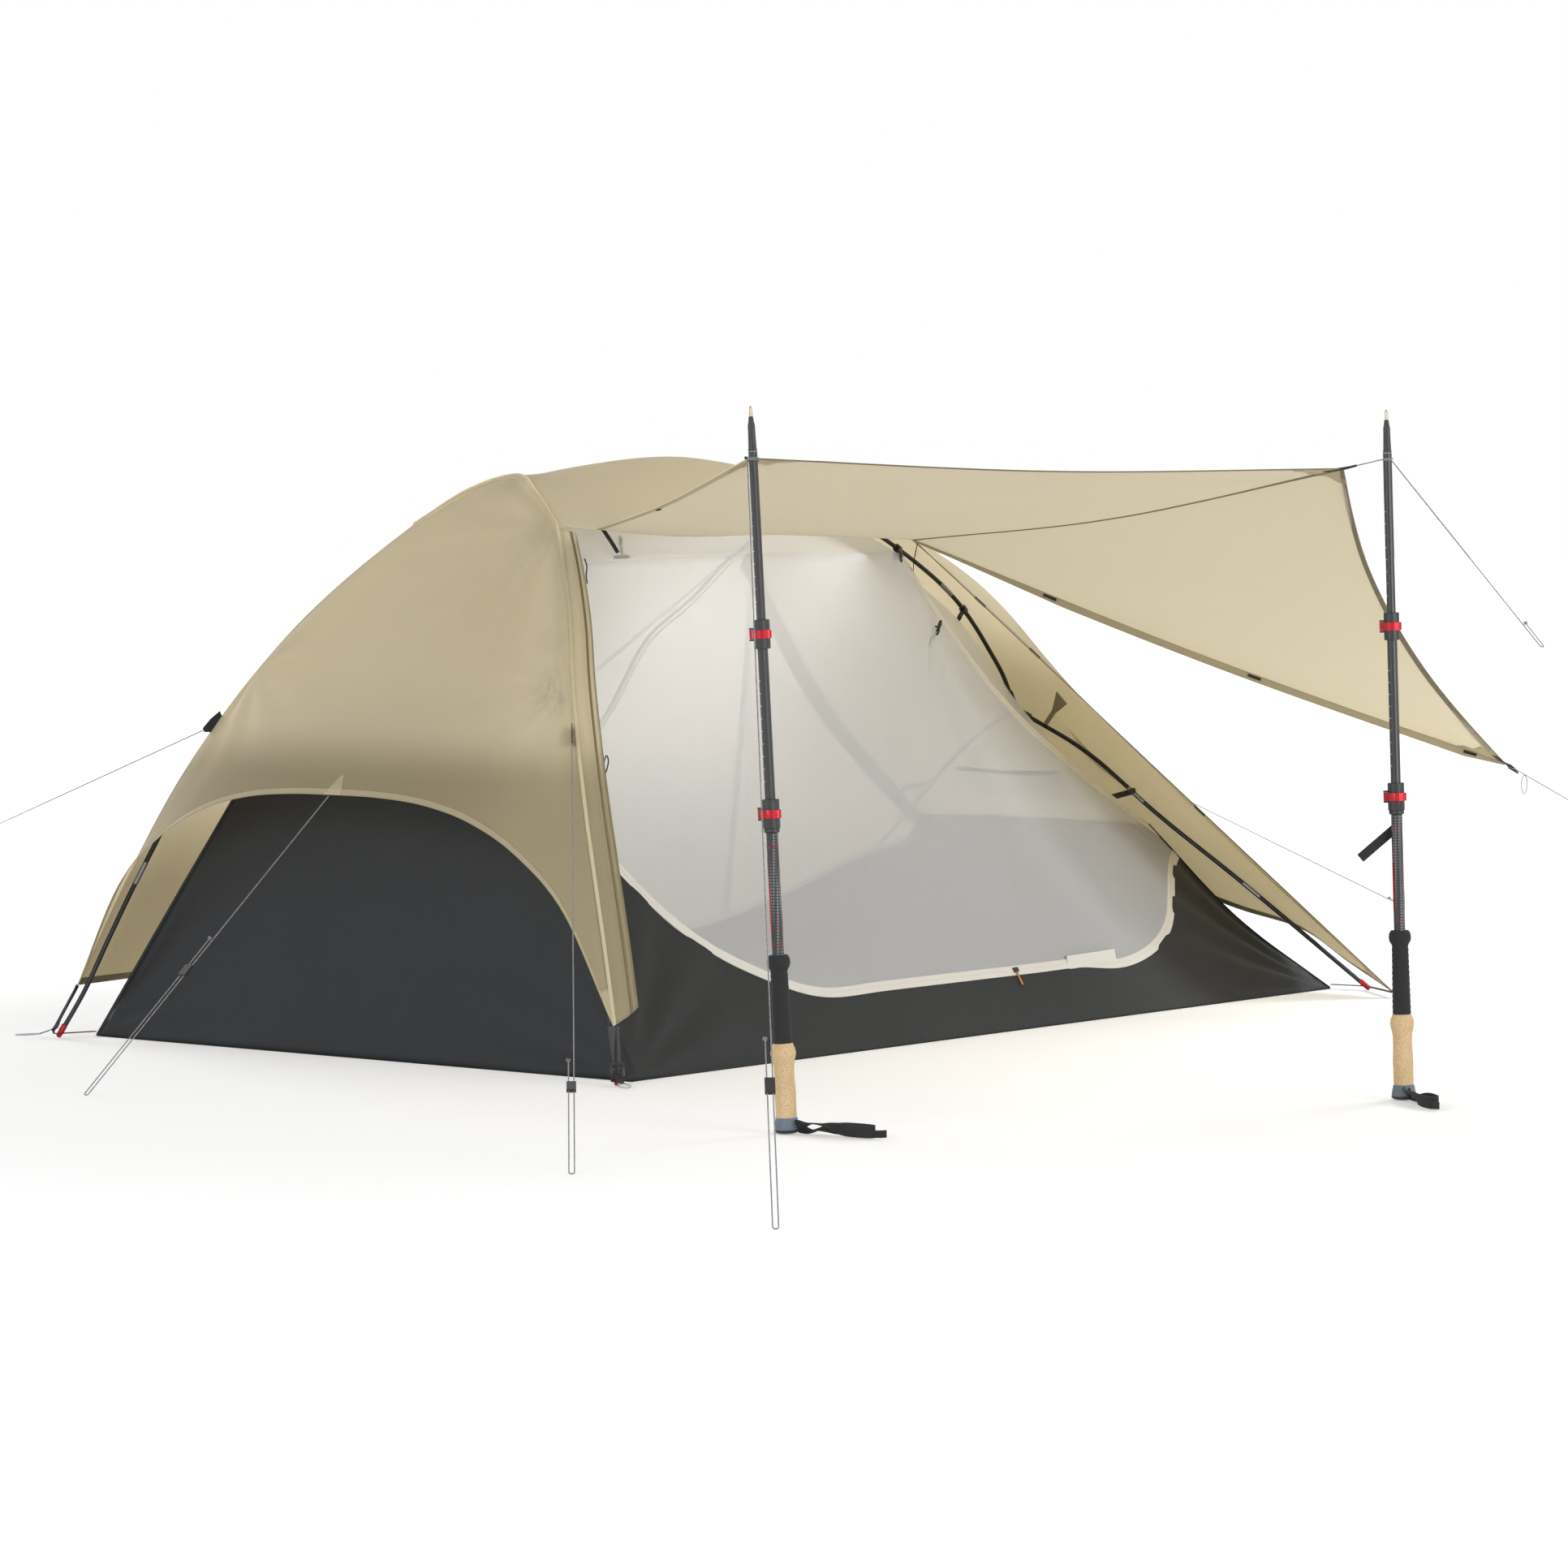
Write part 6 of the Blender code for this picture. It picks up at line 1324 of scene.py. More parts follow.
def turned(name, outline, frame_here, material, body, sides, replaces=(), bore=0.0):
    """A round piece from (radius, height) pairs, closed at both ends or bored through."""
    if bore:
        outline = [(bore, outline[0][1]), *outline, (bore, outline[-1][1])]
    radius, height = outline[0]
    made = begin("circle", vertices=sides, radius=radius, fill_type="NGON", location=(0, 0, height))
    bpy.ops.object.mode_set(mode="EDIT")
    bpy.ops.mesh.select_all(action="SELECT")
    for (r0, z0), (r1, z1) in zip(outline, outline[1:]):
        grow((0, 0, z1 - z0), (r1 / r0, r1 / r0, 1), (0, 0, z1))
    if bore:
        work = bmesh.from_edit_mesh(made.data)
        caps = [face for face in work.faces if len(face.verts) == sides]
        bmesh.ops.delete(work, geom=caps, context="FACES_ONLY")
        bmesh.update_edit_mesh(made.data)
        bpy.ops.mesh.select_all(action="DESELECT")
        bpy.ops.mesh.select_mode(type="EDGE")
        bpy.ops.mesh.select_non_manifold()
        bpy.ops.mesh.bridge_edge_loops()
        bpy.ops.mesh.select_mode(type="FACE")
    complete(made, name, frame_here, material, body)
    for solid in replaces:
        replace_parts(made, solid)
    return made


def along_frame(place, way, hint=(0, 0, 1)):
    """A frame at a place with X along a way and Z as near to the hint as it can be."""
    x = Vector(way).normalized()
    y = Vector(hint).cross(x).normalized()
    return Matrix.Translation(place) @ Matrix((x, y, x.cross(y))).transposed().to_4x4()


# %% [markdown]
# ## The pole frame
#
# The frame is aluminium tube, anodised dark, in sections that plug into each other. A smooth curve with
# a round bevel makes each pole, and a short bright sleeve sits where two sections meet. Each leg ends
# in a red cap that stands in the grommet of the corner strap.

# %% Fit the poles, sleeves and feet
SLEEVE_LENGTH, SLEEVE_WALL, SECTION = 0.045, 0.0006, 0.42
POLES = {"spine_pole": SPINE_LINE, "head_leg_near": HEAD_LEG_LINE, "head_leg_far": HEAD_LEG_LINE * FLIP,
         "foot_leg_near": FOOT_LEG_LINE, "foot_leg_far": FOOT_LEG_LINE * FLIP}
for name, line in POLES.items():
    fine = smooth_curve(line, 140)
    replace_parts(tube(name + "_tube", fine, POLE_R, POLE, 5), name)
    total = line_run(fine)[-1]
    count = int(total // SECTION)
    for k in range(1, count + 1):
        middle = k * total / (count + 1)
        ends = [(middle + s * SLEEVE_LENGTH / 2) / total for s in (-1, 1)]
        part = smooth_curve([at_share(fine, s) for s in (ends[0], sum(ends) / 2, ends[1])], 7)
        tube(f"{name}_sleeve_{k}", part, POLE_R + SLEEVE_WALL, FERRULE, 5)
    print(name, "length", round(total, 3), "sleeves", count)

RIDGE_PLACE, RIDGE_HALF, RIDGE_FALL, RIDGE_R = (-0.60, 0, 1.03), 0.185, 0.122, 0.0038
CAP_SHAPE = [(0.0034, -0.0040), (0.0046, -0.0026), (0.0052, 0.0), (0.0056, 0.004), (0.0056, 0.020),
             (0.0050, 0.022)]


def nearest(points, place):
    """The number of the point that is nearest to a place."""
    return int(np.argmin(np.linalg.norm(points - np.array(place), axis=1)))


dense_spine = smooth_curve(SPINE_LINE, 400)
under = Vector(dense_spine[nearest(dense_spine, RIDGE_PLACE)])
under.z -= POLE_R + RIDGE_R + 0.0005
arc = [(under.x, y, under.z - RIDGE_FALL * (y / RIDGE_HALF) ** 2)
       for y in np.linspace(-RIDGE_HALF, RIDGE_HALF, 41)]
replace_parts(tube("ridge_pole_tube", arc, RIDGE_R, POLE, 5), "ridge_pole")
for leg_name, leg in (("head", HEAD_LEG), ("foot", FOOT_LEG)):
    for side_name, flip in BOTH_SIDES:
        foot = Vector(leg[0] * flip)
        lean = (Vector(leg[2] * flip) - foot).normalized()
        here = Matrix.Translation(foot + UP * 0.0012) @ lean.to_track_quat("Z", "Y").to_matrix().to_4x4()
        turned(f"{leg_name}_{side_name}_foot_cap", CAP_SHAPE, here, RED, "tent", 24)

# %% [markdown]
# Webbing straps with small hooks hang the inner tent from the poles. A hook is a plastic ring pressed
# over the pole, with a neck for its strap. One is shaped from a short cylinder: its ends are inset and
# bridged to open the hole, and the neck is extruded from its side. The rest are copies.

# %% Hang the inner tent with hooks
CLIP_WIDTH, CLIP_R = 0.012, 0.0078


def clip_places():
    """Where each strap leaves its pole, where it meets the cloth, and the cloth's direction there."""
    middle = INNER_ACROSS // 2
    for part, row in (("roof", 3), ("roof", 6), ("slope", 2), ("slope", 4)):
        grid = INNER[part]
        target = grid[row, middle]
        pole = dense_spine[nearest(dense_spine, target)]
        yield f"{part}_{row}", pole, target, grid[row + 1, middle] - grid[row - 1, middle]
    for part, row, leg in (("head", 7, HEAD_LEG_LINE), ("slope", -2, FOOT_LEG_LINE)):
        grid = INNER[part]
        target = grid[row, 0] + unit(grid[row, 1] - grid[row, 0]) * 0.008
        fine = smooth_curve(leg, 400)
        place = fine[nearest(fine, target)]
        tangent = grid[row + 1, 0] - grid[row - 1, 0]
        for word, flip in BOTH_SIDES:
            yield f"{part}_{word}", place * flip, target * flip, tangent * flip


hook = begin("cylinder", vertices=28, radius=CLIP_R, depth=CLIP_WIDTH)
bpy.ops.object.mode_set(mode="EDIT")
pick(lambda middle, way: abs(way.z) > 0.9)
bpy.ops.mesh.inset(thickness=CLIP_R - POLE_R - 0.0002, depth=0)
bpy.ops.mesh.bridge_edge_loops()
pick(lambda middle, way: way.x > 0.97 and middle.xy.length > POLE_R + 0.001)
grow((0.006, 0, 0), (1, 0.9, 0.8), (0.0138, 0, 0))
pick(lambda middle, way: way.x > 0.97 and middle.x > 0.012)
grow((0.007, 0, 0), (1, 1.5, 1.2), (0.0208, 0, 0))
first_frame = None
for clip_name, pole, target, tangent in clip_places():
    pole, target = Vector(pole), Vector(target)
    reach = (target - pole).normalized()
    run = Vector(tangent) - reach * reach.dot(Vector(tangent))
    here = along_frame(pole, reach, run)
    if first_frame is None:
        first_frame = here
        hook = complete(hook, "hook_" + clip_name, here, PLASTIC, "tent", 0.0006)
    else:
        copied(hook, "hook_" + clip_name, first_frame, here)
    start = pole + reach * 0.017
    side = run.normalized() * CLIP_WIDTH / 2
    path = [start.lerp(target, s) for s in (0, 0.5, 1)]
    if (target - pole).length > 0.022:
        left, right = [p - side for p in path], [p + side for p in path]
        band_piece("hook_strap_" + clip_name, left, right, 0.0010, WEBBING)
    print("hook", clip_name)

# %% [markdown]
# ## The trekking poles
#
# Each pole is three tubes of moulded carbon. The handle is down here: a moulded head, a cork grip and
# a foam sleeve, and above them the tubes get thinner towards the tip. The cork is turned with a soft
# waist and swells for the fingers, and the foam is ribbed so that it does not slip.

# %% Finish: carbon tube
LACQUER = {"Coat_Weight": 0.15, "Coat_Roughness": 0.12}
CARBON = grained("carbon_tube", (24, 24, 26), (34, 34, 37), 700, 0.02, 0.36, 0.3, **LACQUER)
CHECKED = grained("checked_carbon", (26, 26, 28), (36, 36, 39), 700, 0.02, 0.38, 0.3, **LACQUER)
tree = CHECKED.node_tree
weave = node(tree, "TexVoronoi", {"Vector": on_object(tree), "Scale": 210.0, "Randomness": 0.0},
             feature="F1").outputs[0]
dots = node(tree, "MapRange", {0: weave, 1: 0.30, 2: 0.40, 3: 1.0, 4: 0.0}).outputs[0]
plain = first_node(tree, "GROUP").outputs[0]
lined = node(tree, "MixRGB", {0: dots, 1: plain, 2: colour(120, 122, 126)})
tree.links.new(lined.outputs[0], tree.nodes["Principled BSDF"].inputs["Base Color"])
print("finishes:", CARBON.name, CHECKED.name)

# %% Make the trekking poles
TREK_UPPER_R, TREK_MIDDLE_R, BORE_R = 0.0095, 0.0085, 0.0096
TREK_CORK_TOP, TREK_FERRULE_Z = 0.144, TREK_LENGTH - 0.072
TREK_UPPER_TOP, LOCK_HEIGHT = 0.530, 0.046
CORK_OUTLINE = [(0.0164, 0.0256), (0.0168, 0.030), (0.0167, 0.042), (0.0170, 0.054), (0.0172, 0.064),
                (0.0169, 0.074), (0.0164, 0.084), (0.0161, 0.094), (0.0163, 0.104), (0.0170, 0.112),
                (0.0186, 0.119), (0.0202, 0.1255), (0.0204, 0.129), (0.0192, 0.135), (0.0170, 0.141),
                (0.0156, 0.144)]
HEAD_BASE = [(0.0105, 0.0), (0.0160, 0.0010), (0.0200, 0.0030), (0.0212, 0.0055), (0.0210, 0.0068)]
HEAD_OUTLINE = [(0.0207, 0.0068), (0.0204, 0.0100), (0.0196, 0.0150), (0.0186, 0.0200), (0.0178, 0.0235),
                (0.0170, 0.0255)]
TIP_SHAPE = [(0.0072, 0.0), (0.0074, 0.003), (0.0068, 0.0045), (0.0064, 0.016), (0.0060, 0.030),
             (0.0060, 0.041), (0.0048, 0.046), (0.0040, 0.053), (0.0034, 0.055)]
POINT_SHAPE = [(0.0033, 0.0548), (0.0031, 0.060), (0.0029, 0.066), (0.0026, 0.0690), (0.0016, 0.0712),
               (0.0006, 0.0716)]
COLLAR_SHAPE = [(0.0008, 0.0), (0.0030, 0.0018), (0.0034, 0.0060), (0.0030, 0.0072)]
FOAM_START, FOAM_END, RIB_STEP = 0.148, 0.256, 0.0096


def foam_outline():
    """A sleeve that gets thinner upwards in soft bulges, and its fuller collar."""
    points = [(0.0146, TREK_CORK_TOP + 0.0004), (0.0154, TREK_CORK_TOP + 0.0016)]
    for z in np.arange(FOAM_START, FOAM_END, RIB_STEP / 4):
        rib = 0.00035 * math.sin(z * 2 * math.pi / RIB_STEP)
        points.append((0.0154 - 0.0016 * (z - FOAM_START) / 0.108 + rib, z))
    return points + [(0.0138, 0.2600), (0.0150, 0.2625), (0.0172, 0.2655), (0.0184, 0.2695),
                     (0.0187, 0.2740), (0.0182, 0.2785), (0.0168, 0.2820), (0.0148, 0.2846), (0.0110, 0.2850)]


for number, here in ((1, TREK_1), (2, TREK_2)):
    name = f"trek_{number}_"
    low_body = name + "lower_section"
    turned(name + "cork", CORK_OUTLINE, here, CORK, "tent", 48, [name + "cork_grip"])
    turned(name + "grip_head", HEAD_OUTLINE, here, RUBBER, "tent", 48)
    turned(name + "grip_base", HEAD_BASE, here, PLASTIC, "tent", 48)
    turned(name + "foam", foam_outline(), here, FOAM, "tent", 40, [name + "foam_grip"], BORE_R)
    base = here @ Matrix.Translation((0, 0, TREK_FERRULE_Z + 0.0004))
    turned(name + "tip_sleeve", TIP_SHAPE, base, PLASTIC, low_body, 32, [name + "tip"])
    turned(name + "tip_point", POINT_SHAPE, base, BRASS, low_body, 24)
    foot_z = TREK_UPPER_TOP - LOCK_HEIGHT * 0.95 - 0.0075
    rings = [(TREK_UPPER_R + wall, foot_z + rise) for wall, rise in COLLAR_SHAPE]
    turned(name + "collar_ring", rings, here, PLASTIC, "tent", 32, bore=BORE_R)
    print(name, "made")


def band_round(name, frame_here, radius, low, high, start, end, material, body, thickness=0.0003):
    """A thin stripe on a tube, from one angle to another."""
    borders = [[frame_here @ Vector((radius * math.cos(a), radius * math.sin(a), z))
                for a in np.linspace(start, end, 9)] for z in (low, high)]
    band_piece(name, *borders, thickness, material, body)


# %% [markdown]
# The tubes are hollow solids in the imported model and already round, so they only get a finish; the
# locks and levers also get soft edges. Red stripes mark the upper tube, and short pale marks on the
# middle and lower tubes show how far each is drawn out. They are thin bands that bend with the tube.

# %% Finish the tubes and mark them
POLE_PARTS = [("upper_tube", CHECKED, 0), ("middle_tube", CARBON, 0), ("lower_tube", CARBON, 0),
              ("upper_lock", PLASTIC, 0.0007), ("lower_lock", PLASTIC, 0.0007),
              ("upper_lever", RED, 0.0005), ("lower_lever", RED, 0.0005)]
STRIPES = [(0.300, 0.304, 0, 6.28), (0.455, 0.459, 0, 6.28), (0.318, 0.400, 2.3, 2.9),
           (0.405, 0.440, 2.3, 2.6), (0.318, 0.350, 5.1, 5.4)]
MARKS = [("middle", TREK_MIDDLE_R, 0.560, 9), ("lower", TREK_LOWER_R, 0.845, 8)]
MARK_STEP, MARK_HEIGHT, MARK_THICKNESS, MARK_SINK = 0.02, 0.0012, 0.00012, 0.00003


def dress(solid, material, bevel):
    """Gives a carried-over solid its finish and rounded edges; its mesh stays as it is."""
    obj = bpy.data.objects[solid]
    obj.data.materials.clear()
    obj.data.materials.append(material)
    if bevel:
        obj.modifiers.new("join", "WELD").merge_threshold = 1e-6
        rounded_edges(obj, bevel).angle_limit = math.radians(35)


for number, here in ((1, TREK_1), (2, TREK_2)):
    name = f"trek_{number}_"
    for part, coat, bevel in POLE_PARTS:
        dress(name + part, coat, bevel)
    for k, stripe in enumerate(STRIPES):
        band_round(f"{name}stripe_{k}", here, BORE_R, *stripe, RED, "tent")
    for section, radius, first, count in MARKS:
        for k in range(count):
            z = first + MARK_STEP * k
            band_round(f"{name}{section}_mark_{k}", here, radius - MARK_SINK, z, z + MARK_HEIGHT, 2.2, 3.0,
                       SILVER, name + section + "_section", MARK_THICKNESS)

# %% [markdown]
# ## Small fittings
#
# The hubs are moulded plastic and the corner straps are webbing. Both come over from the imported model.
# Buckles, rings, toggles and tabs are added where the photograph shows them.

# %% Dress the other solids
FITTINGS = [("head_hub", PLASTIC, 0.0008), ("foot_hub", PLASTIC, 0.0008), ("tensioner_head", PLASTIC, 0.0008),
            ("tensioner_near", PLASTIC, 0.0008), ("tensioner_pole_1", PLASTIC, 0.0008),
            ("zip_slider", PLASTIC, 0.0009), ("zip_pull", ORANGE, 0.0004)]
FITTINGS += [(f"corner_strap_{end}_{side}", WEBBING, 0) for end in ("head", "foot") for side, _ in BOTH_SIDES]
for solid, coat, bevel in FITTINGS:
    dress(solid, coat, bevel)
print("solids dressed:", len(FITTINGS))

# %% [markdown]
# Webbing tabs carry the guy lines and the corners. A tab is a band that faces one way and changes its
# width along its run, so one maker draws the triangles at the guy points, the straps and the ties. The
# tie at trekking pole 2 passes behind the tube, as the camera sees it.

# %% Sew on the webbing tabs
DARK_GREY = woven("grey_webbing", (74, 74, 76), (52, 52, 54), 0.85, Rib=0.0009, Depth=0.7)


def tab(name, places, widths, face, material=WEBBING, thickness=0.0014):
    """A band through a few places that faces one way and has its own width at each place."""
    line = smooth_curve(places, 13)
    wide = np.interp(np.linspace(0, 1, 13), np.linspace(0, 1, len(widths)), widths)[:, None]
    side = unit(np.cross(np.gradient(line, axis=0), np.array(face, float))) * wide / 2
    return band_piece(name, line + side, line - side, thickness, material)


GUY_ROOTS = [("near", (-1.02086, -0.429, 0.5882), 0.012), ("far", (-1.02086, 0.429, 0.5882), 0.012),
             ("foot", (0.97077, 0, 0.53386), 0.010)]
for name, root, inside in GUY_ROOTS:
    tip, root = Vector(GUY_ENDS["guy_" + name][0]), Vector(root)
    out = (tip - root).normalized()
    tab(f"guy_tab_{name}_strap", [root - out * inside, root, tip], (0.040, 0.028, 0.008), out.cross(UP))
LOW_TIP = AWNING_D + Vector((0.03, -0.017, -0.018))
for name, sheet_grid, corner, tip in (("b", main_sheet[::-1], AWNING_B, routes["guy_pole_1"][3]),
                                      ("c", main_sheet[::-1, ::-1], AWNING_C, routes["guy_pole_2"][3]),
                                      ("d", side_sheet[::-1, ::-1], AWNING_D, LOW_TIP)):
    root = Vector(between(sheet_grid, 1.3, 1.3))
    way = (Vector(tip) - corner).normalized()
    tab(f"awning_corner_{name}_strap", [root, corner, corner + way * 0.022], (0.017, 0.014, 0.009),
        surface_normals(sheet_grid)[2, 2], thickness=0.0030)

pole_2_strap = TREK_2 @ Vector((0.0, 0.0, 0.457))
VIEW_WAY, VIEW_SIDE = Vector((0.788, 0.615, 0.0)), Vector((-0.615, 0.788, 0.0))
start = pole_2_strap + VIEW_WAY * 0.0108
tab("pole_2_tie", [start, start + VIEW_SIDE * 0.060 - UP * 0.052], (0.016, 0.016), VIEW_WAY)
leg_place, fly_place = Vector((0.934, -0.0686, 0.5345)), Vector((0.8492, -0.1686, 0.5935))
tab("leg_tie", [leg_place, leg_place.lerp(fly_place, 0.55) - UP * 0.002, fly_place], (0.010, 0.010, 0.034),
    surface_normals(foot_sheet)[34, 29], MID_HEM)
tab("roof_tie", [(-0.545, -0.147, 0.934), (-0.550, -0.152, 0.918), (-0.556, -0.158, 0.902)],
    (0.014, 0.014), (0.3, -0.9, 0.1), GREY_TAPE)
tab("header_tie", [(0.312, -0.197, 0.918), (0.309, -0.197, 0.905), (0.298, -0.199, 0.882),
                   (0.296, -0.199, 0.862)], (0.011, 0.010, 0.005), (0.6, -0.8, 0))
tab("zip_garage", [(0.277, -0.5872, 0.1085), (0.363, -0.5830, 0.1090), (0.450, -0.5775, 0.1100)],
    (0.026, 0.026), (0.05, -0.98, 0.2), BINDING, 0.0030)
print("webbing tabs sewn on")

# %% [markdown]
# Flat loops of tape are tacked on along the awning's lower hem and the foot panel's edge, where the rolled
# cloth is tied. Two toggles hang inside: short bars with a waist, each held by an elastic of its own.

# %% Sew on the loops and hang the toggles
LOOP_LENGTH, LOOP_WIDTH, LOOP_THICKNESS = 0.028, 0.0055, 0.0042
low_curve = smooth_curve(low_edge + low_into * 0.003 - hem_drop * 0.4, 200)
foot_curve = smooth_curve(inward(foot_sheet, "left", 0.009), 200)
head_curve = inward(main_sheet, "left", 0.010)
HEM_LOOPS = [("awning_low_1", low_curve, 0.229), ("awning_low_2", low_curve, 0.574),
             ("awning_low_3", low_curve, 0.940), ("awning_head", head_curve, 0.411),
             ("foot_1", foot_curve, 0.142), ("foot_2", foot_curve, 0.254), ("foot_3", foot_curve, 0.598)]
for name, line, share in HEM_LOOPS:
    half = LOOP_LENGTH / 2 / line_run(line)[-1]
    part = [at_share(line, share + s * half) for s in (-1, 0, 1)]
    if "awning_low" in name:
        face = low_into[nearest(low_edge, part[1])]
    else:
        sheet_here = foot_sheet if "foot" in name else AWNING_FINE
        face = surface_normals(sheet_here).reshape(-1, 3)[nearest(sheet_here.reshape(-1, 3), part[1])]
    tab("hem_loop_" + name, part, (LOOP_WIDTH, LOOP_WIDTH), face, thickness=LOOP_THICKNESS)

TOGGLE_SHAPE = [(0.0014, -0.0155), (0.0026, -0.0140), (0.0038, -0.0100), (0.0042, -0.0045), (0.0024, -0.0020),
                (0.0024, 0.0020), (0.0042, 0.0045), (0.0038, 0.0100), (0.0026, 0.0140), (0.0014, 0.0155)]
TOGGLE_DROP = 0.007
LIE_DOWN = Matrix.Rotation(math.pi / 2, 4, "Y")
roof_place = along_frame((-0.556, -0.158, 0.904), (0.6, -0.75, 0.05))
door_place = along_frame((0.298, -0.254, 0.752), (0.25, -0.15, 0.9), (-0.9, 0.2, 0.3))
drop = Matrix.Translation((0, 0, -TOGGLE_DROP))
toggle = turned("toggle_roof", TOGGLE_SHAPE, roof_place @ drop @ LIE_DOWN, PLASTIC, "tent", 20)
copied(toggle, "toggle_door", roof_place @ drop, door_place @ drop)
turns = [(0, TOGGLE_DROP + 0.003), (0.0014, 0.0045)]
turns += [(0.0028 * math.sin(a), 0.0028 * math.cos(a)) for a in np.linspace(0.6, 5.7, 11)]
turns += [(-0.0014, 0.0045), (-0.0001, TOGGLE_DROP + 0.003)]
for name, here in (("roof", roof_place), ("door", door_place)):
    sides = [[here @ drop @ Vector((x, y, z)) for y, z in turns] for x in (-0.0019, 0.0019)]
    band_piece("elastic_" + name, *sides, 0.0006, BLACK_CORD)

# %% [markdown]
# A strap is made longer or shorter with a ladder-lock buckle: a flat plastic frame with two slots. It is
# a grid of cells with two taken out, made solid. One stands at each corner of the head end, one at the
# awning's low corner, and one where the mesh hangs from the fly.

# %% Thread the buckles
BUCKLE_SIZE, BUCKLE_THICKNESS = 0.025, 0.0036
buckle = begin("grid", x_subdivisions=5, y_subdivisions=5, size=BUCKLE_SIZE)
bpy.ops.object.mode_set(mode="EDIT")
pick(lambda middle, way: abs(middle.y) < 0.006 and 0.003 < abs(middle.x) < 0.007)
bpy.ops.mesh.delete(type="FACE")
bpy.ops.mesh.select_all(action="SELECT")
bpy.ops.mesh.solidify(thickness=BUCKLE_THICKNESS)
pick(lambda middle, way: way.z > 0.9 and abs(middle.x) < 0.003)
bpy.ops.transform.translate(value=(0, 0, 0.0012))

low_way = Vector(GUY_ENDS["guy_awning"][1]) - AWNING_D
BUCKLES = [("slope_top", along_frame((0.262, -0.196, 0.892), (0.12, -0.12, -1.0), (0.5, -0.85, 0))),
           ("awning_corner", along_frame(AWNING_D + low_way.normalized() * 0.020, low_way, (0.5, -0.7, 0.5)))]
CORNER_OUT, CORNER_CORD_R = Vector((-0.62, -0.78, 0.0)), 0.0011
for side_name, flip in (("near", 1), ("far", -1)):
    turn = Matrix.Diagonal((1, flip, 1))
    foot, out, corner = turn @ Vector(HEAD_LEG[0]), turn @ CORNER_OUT, turn @ Vector(SEAM_LINE[0])
    lean = (corner - foot).normalized()
    tab(f"corner_sleeve_{side_name}", [corner + out * 0.002, foot + lean * 0.062 + out * 0.006,
                                       foot + lean * 0.034 + out * 0.010],
        (0.020, 0.017, 0.015), out, DARK_GREY, 0.0022)
    BUCKLES.append((f"corner_{side_name}", along_frame(foot + lean * 0.028 + out * 0.012, -lean, out)))
    tab(f"corner_tail_{side_name}", [foot + lean * 0.020 + out * 0.013, foot + lean * 0.012 + out * 0.020,
                                     foot + out * 0.036 + UP * 0.004], (0.013, 0.013, 0.011), out + UP)
    exit_place = foot + out * 0.034 + UP * 0.0045
    across_way = out.cross(UP) * 0.010
    loop = [exit_place + out * (0.024 - 0.024 * math.cos(a)) + across_way * math.sin(a)
            - UP * 0.0028 * math.sin(a / 2) for a in np.linspace(0, 1.92 * math.pi, 30)]
    piece = tube(f"corner_loop_{side_name}", loop, CORNER_CORD_R, SILVER)
    limp_cord(piece, loop, CORNER_CORD_R)
(first_name, first_place), *others = BUCKLES
buckle = complete(buckle, "buckle_" + first_name, first_place, PLASTIC, "tent", 0.0006)
for name, here in others:
    copied(buckle, "buckle_" + name, first_place, here)

# %% [markdown]
# Thin cord loops hang at the awning's low corner, at the door's toggle and beside the storm flap. The mesh
# shows a pocket at the foot end and the far door's zip, which rises in an arc to the roof.

# %% Add the loops, the pocket and the far zip
THIN_CORD_R = 0.0012
LOOPS = [
    ("awning_ring_loop", SILVER, AWNING_D + Vector((0.040, -0.022, -0.024)),
     [(0, 0, 0), (0.009, 0, -0.008), (0.012, 0, -0.020), (0.009, 0, -0.032), (0.000, 0, -0.040),
      (-0.008, 0, -0.033), (-0.011, 0, -0.020), (-0.008, 0, -0.008), (-0.001, 0, -0.001)]),
    ("door_toggle_loop", SILVER, Vector((0.296, -0.256, 0.742)),
     [(0, 0, 0), (-0.030, -0.010, -0.012), (-0.052, -0.020, -0.040), (-0.052, -0.022, -0.062),
      (-0.040, -0.016, -0.048), (-0.020, -0.006, -0.020), (-0.001, 0.001, -0.002)]),
    ("flap_loop", BLACK_CORD, Vector((-0.862, -0.372, 0.512)),
     [(0, 0, 0), (0.006, 0.0, 0.010), (0.010, 0.0, 0.024), (0.005, 0, 0.034), (-0.002, 0, 0.022),
      (-0.001, 0, 0.001)]),
    ("flap_pull", BLACK_CORD, Vector((-0.722, -0.208, 0.896)),
     [(0, 0, 0), (0.004, -0.002, -0.014), (0.001, -0.003, -0.030), (0.004, -0.003, -0.046)])]
for name, coat, place, offsets in LOOPS:
    line = [Vector(p) for p in smooth_curve([place + Vector(offset) for offset in offsets], 40)]
    limp_cord(tube(name, line, THIN_CORD_R, coat), line, THIN_CORD_R)

POCKET_CORNER, POCKET_SAG = (0.893, -0.131, 0.444), 1.8
row, column = divmod(nearest(CANOPY_FINE.reshape(-1, 3), POCKET_CORNER), CANOPY_FINE.shape[1])
columns = np.linspace(column, CANOPY_FINE.shape[1] - 1 - column, 41)
low_row = CANOPY_FINE.shape[0] - 4
sags = row + POCKET_SAG * np.sin(np.linspace(0, math.pi, 41))
pocket_part = np.array([[between(CANOPY_FINE, top + (low_row - top) * t, j) for j, top in zip(columns, sags)]
                        for t in np.linspace(0, 1, 17)])
inside = -0.006 if surface_normals(CANOPY_FINE)[60, 36][2] > 0 else 0.006
pocket_grid = pocket_part + surface_normals(pocket_part) * inside
pocket = cloth("foot_pocket", pocket_grid, NET, thickness=0.0004)
pocket_hem = hem_band("foot_pocket_hem", pocket_grid, "bottom", 0.009, DARK_GREY)
declared(pocket, pocket_grid)
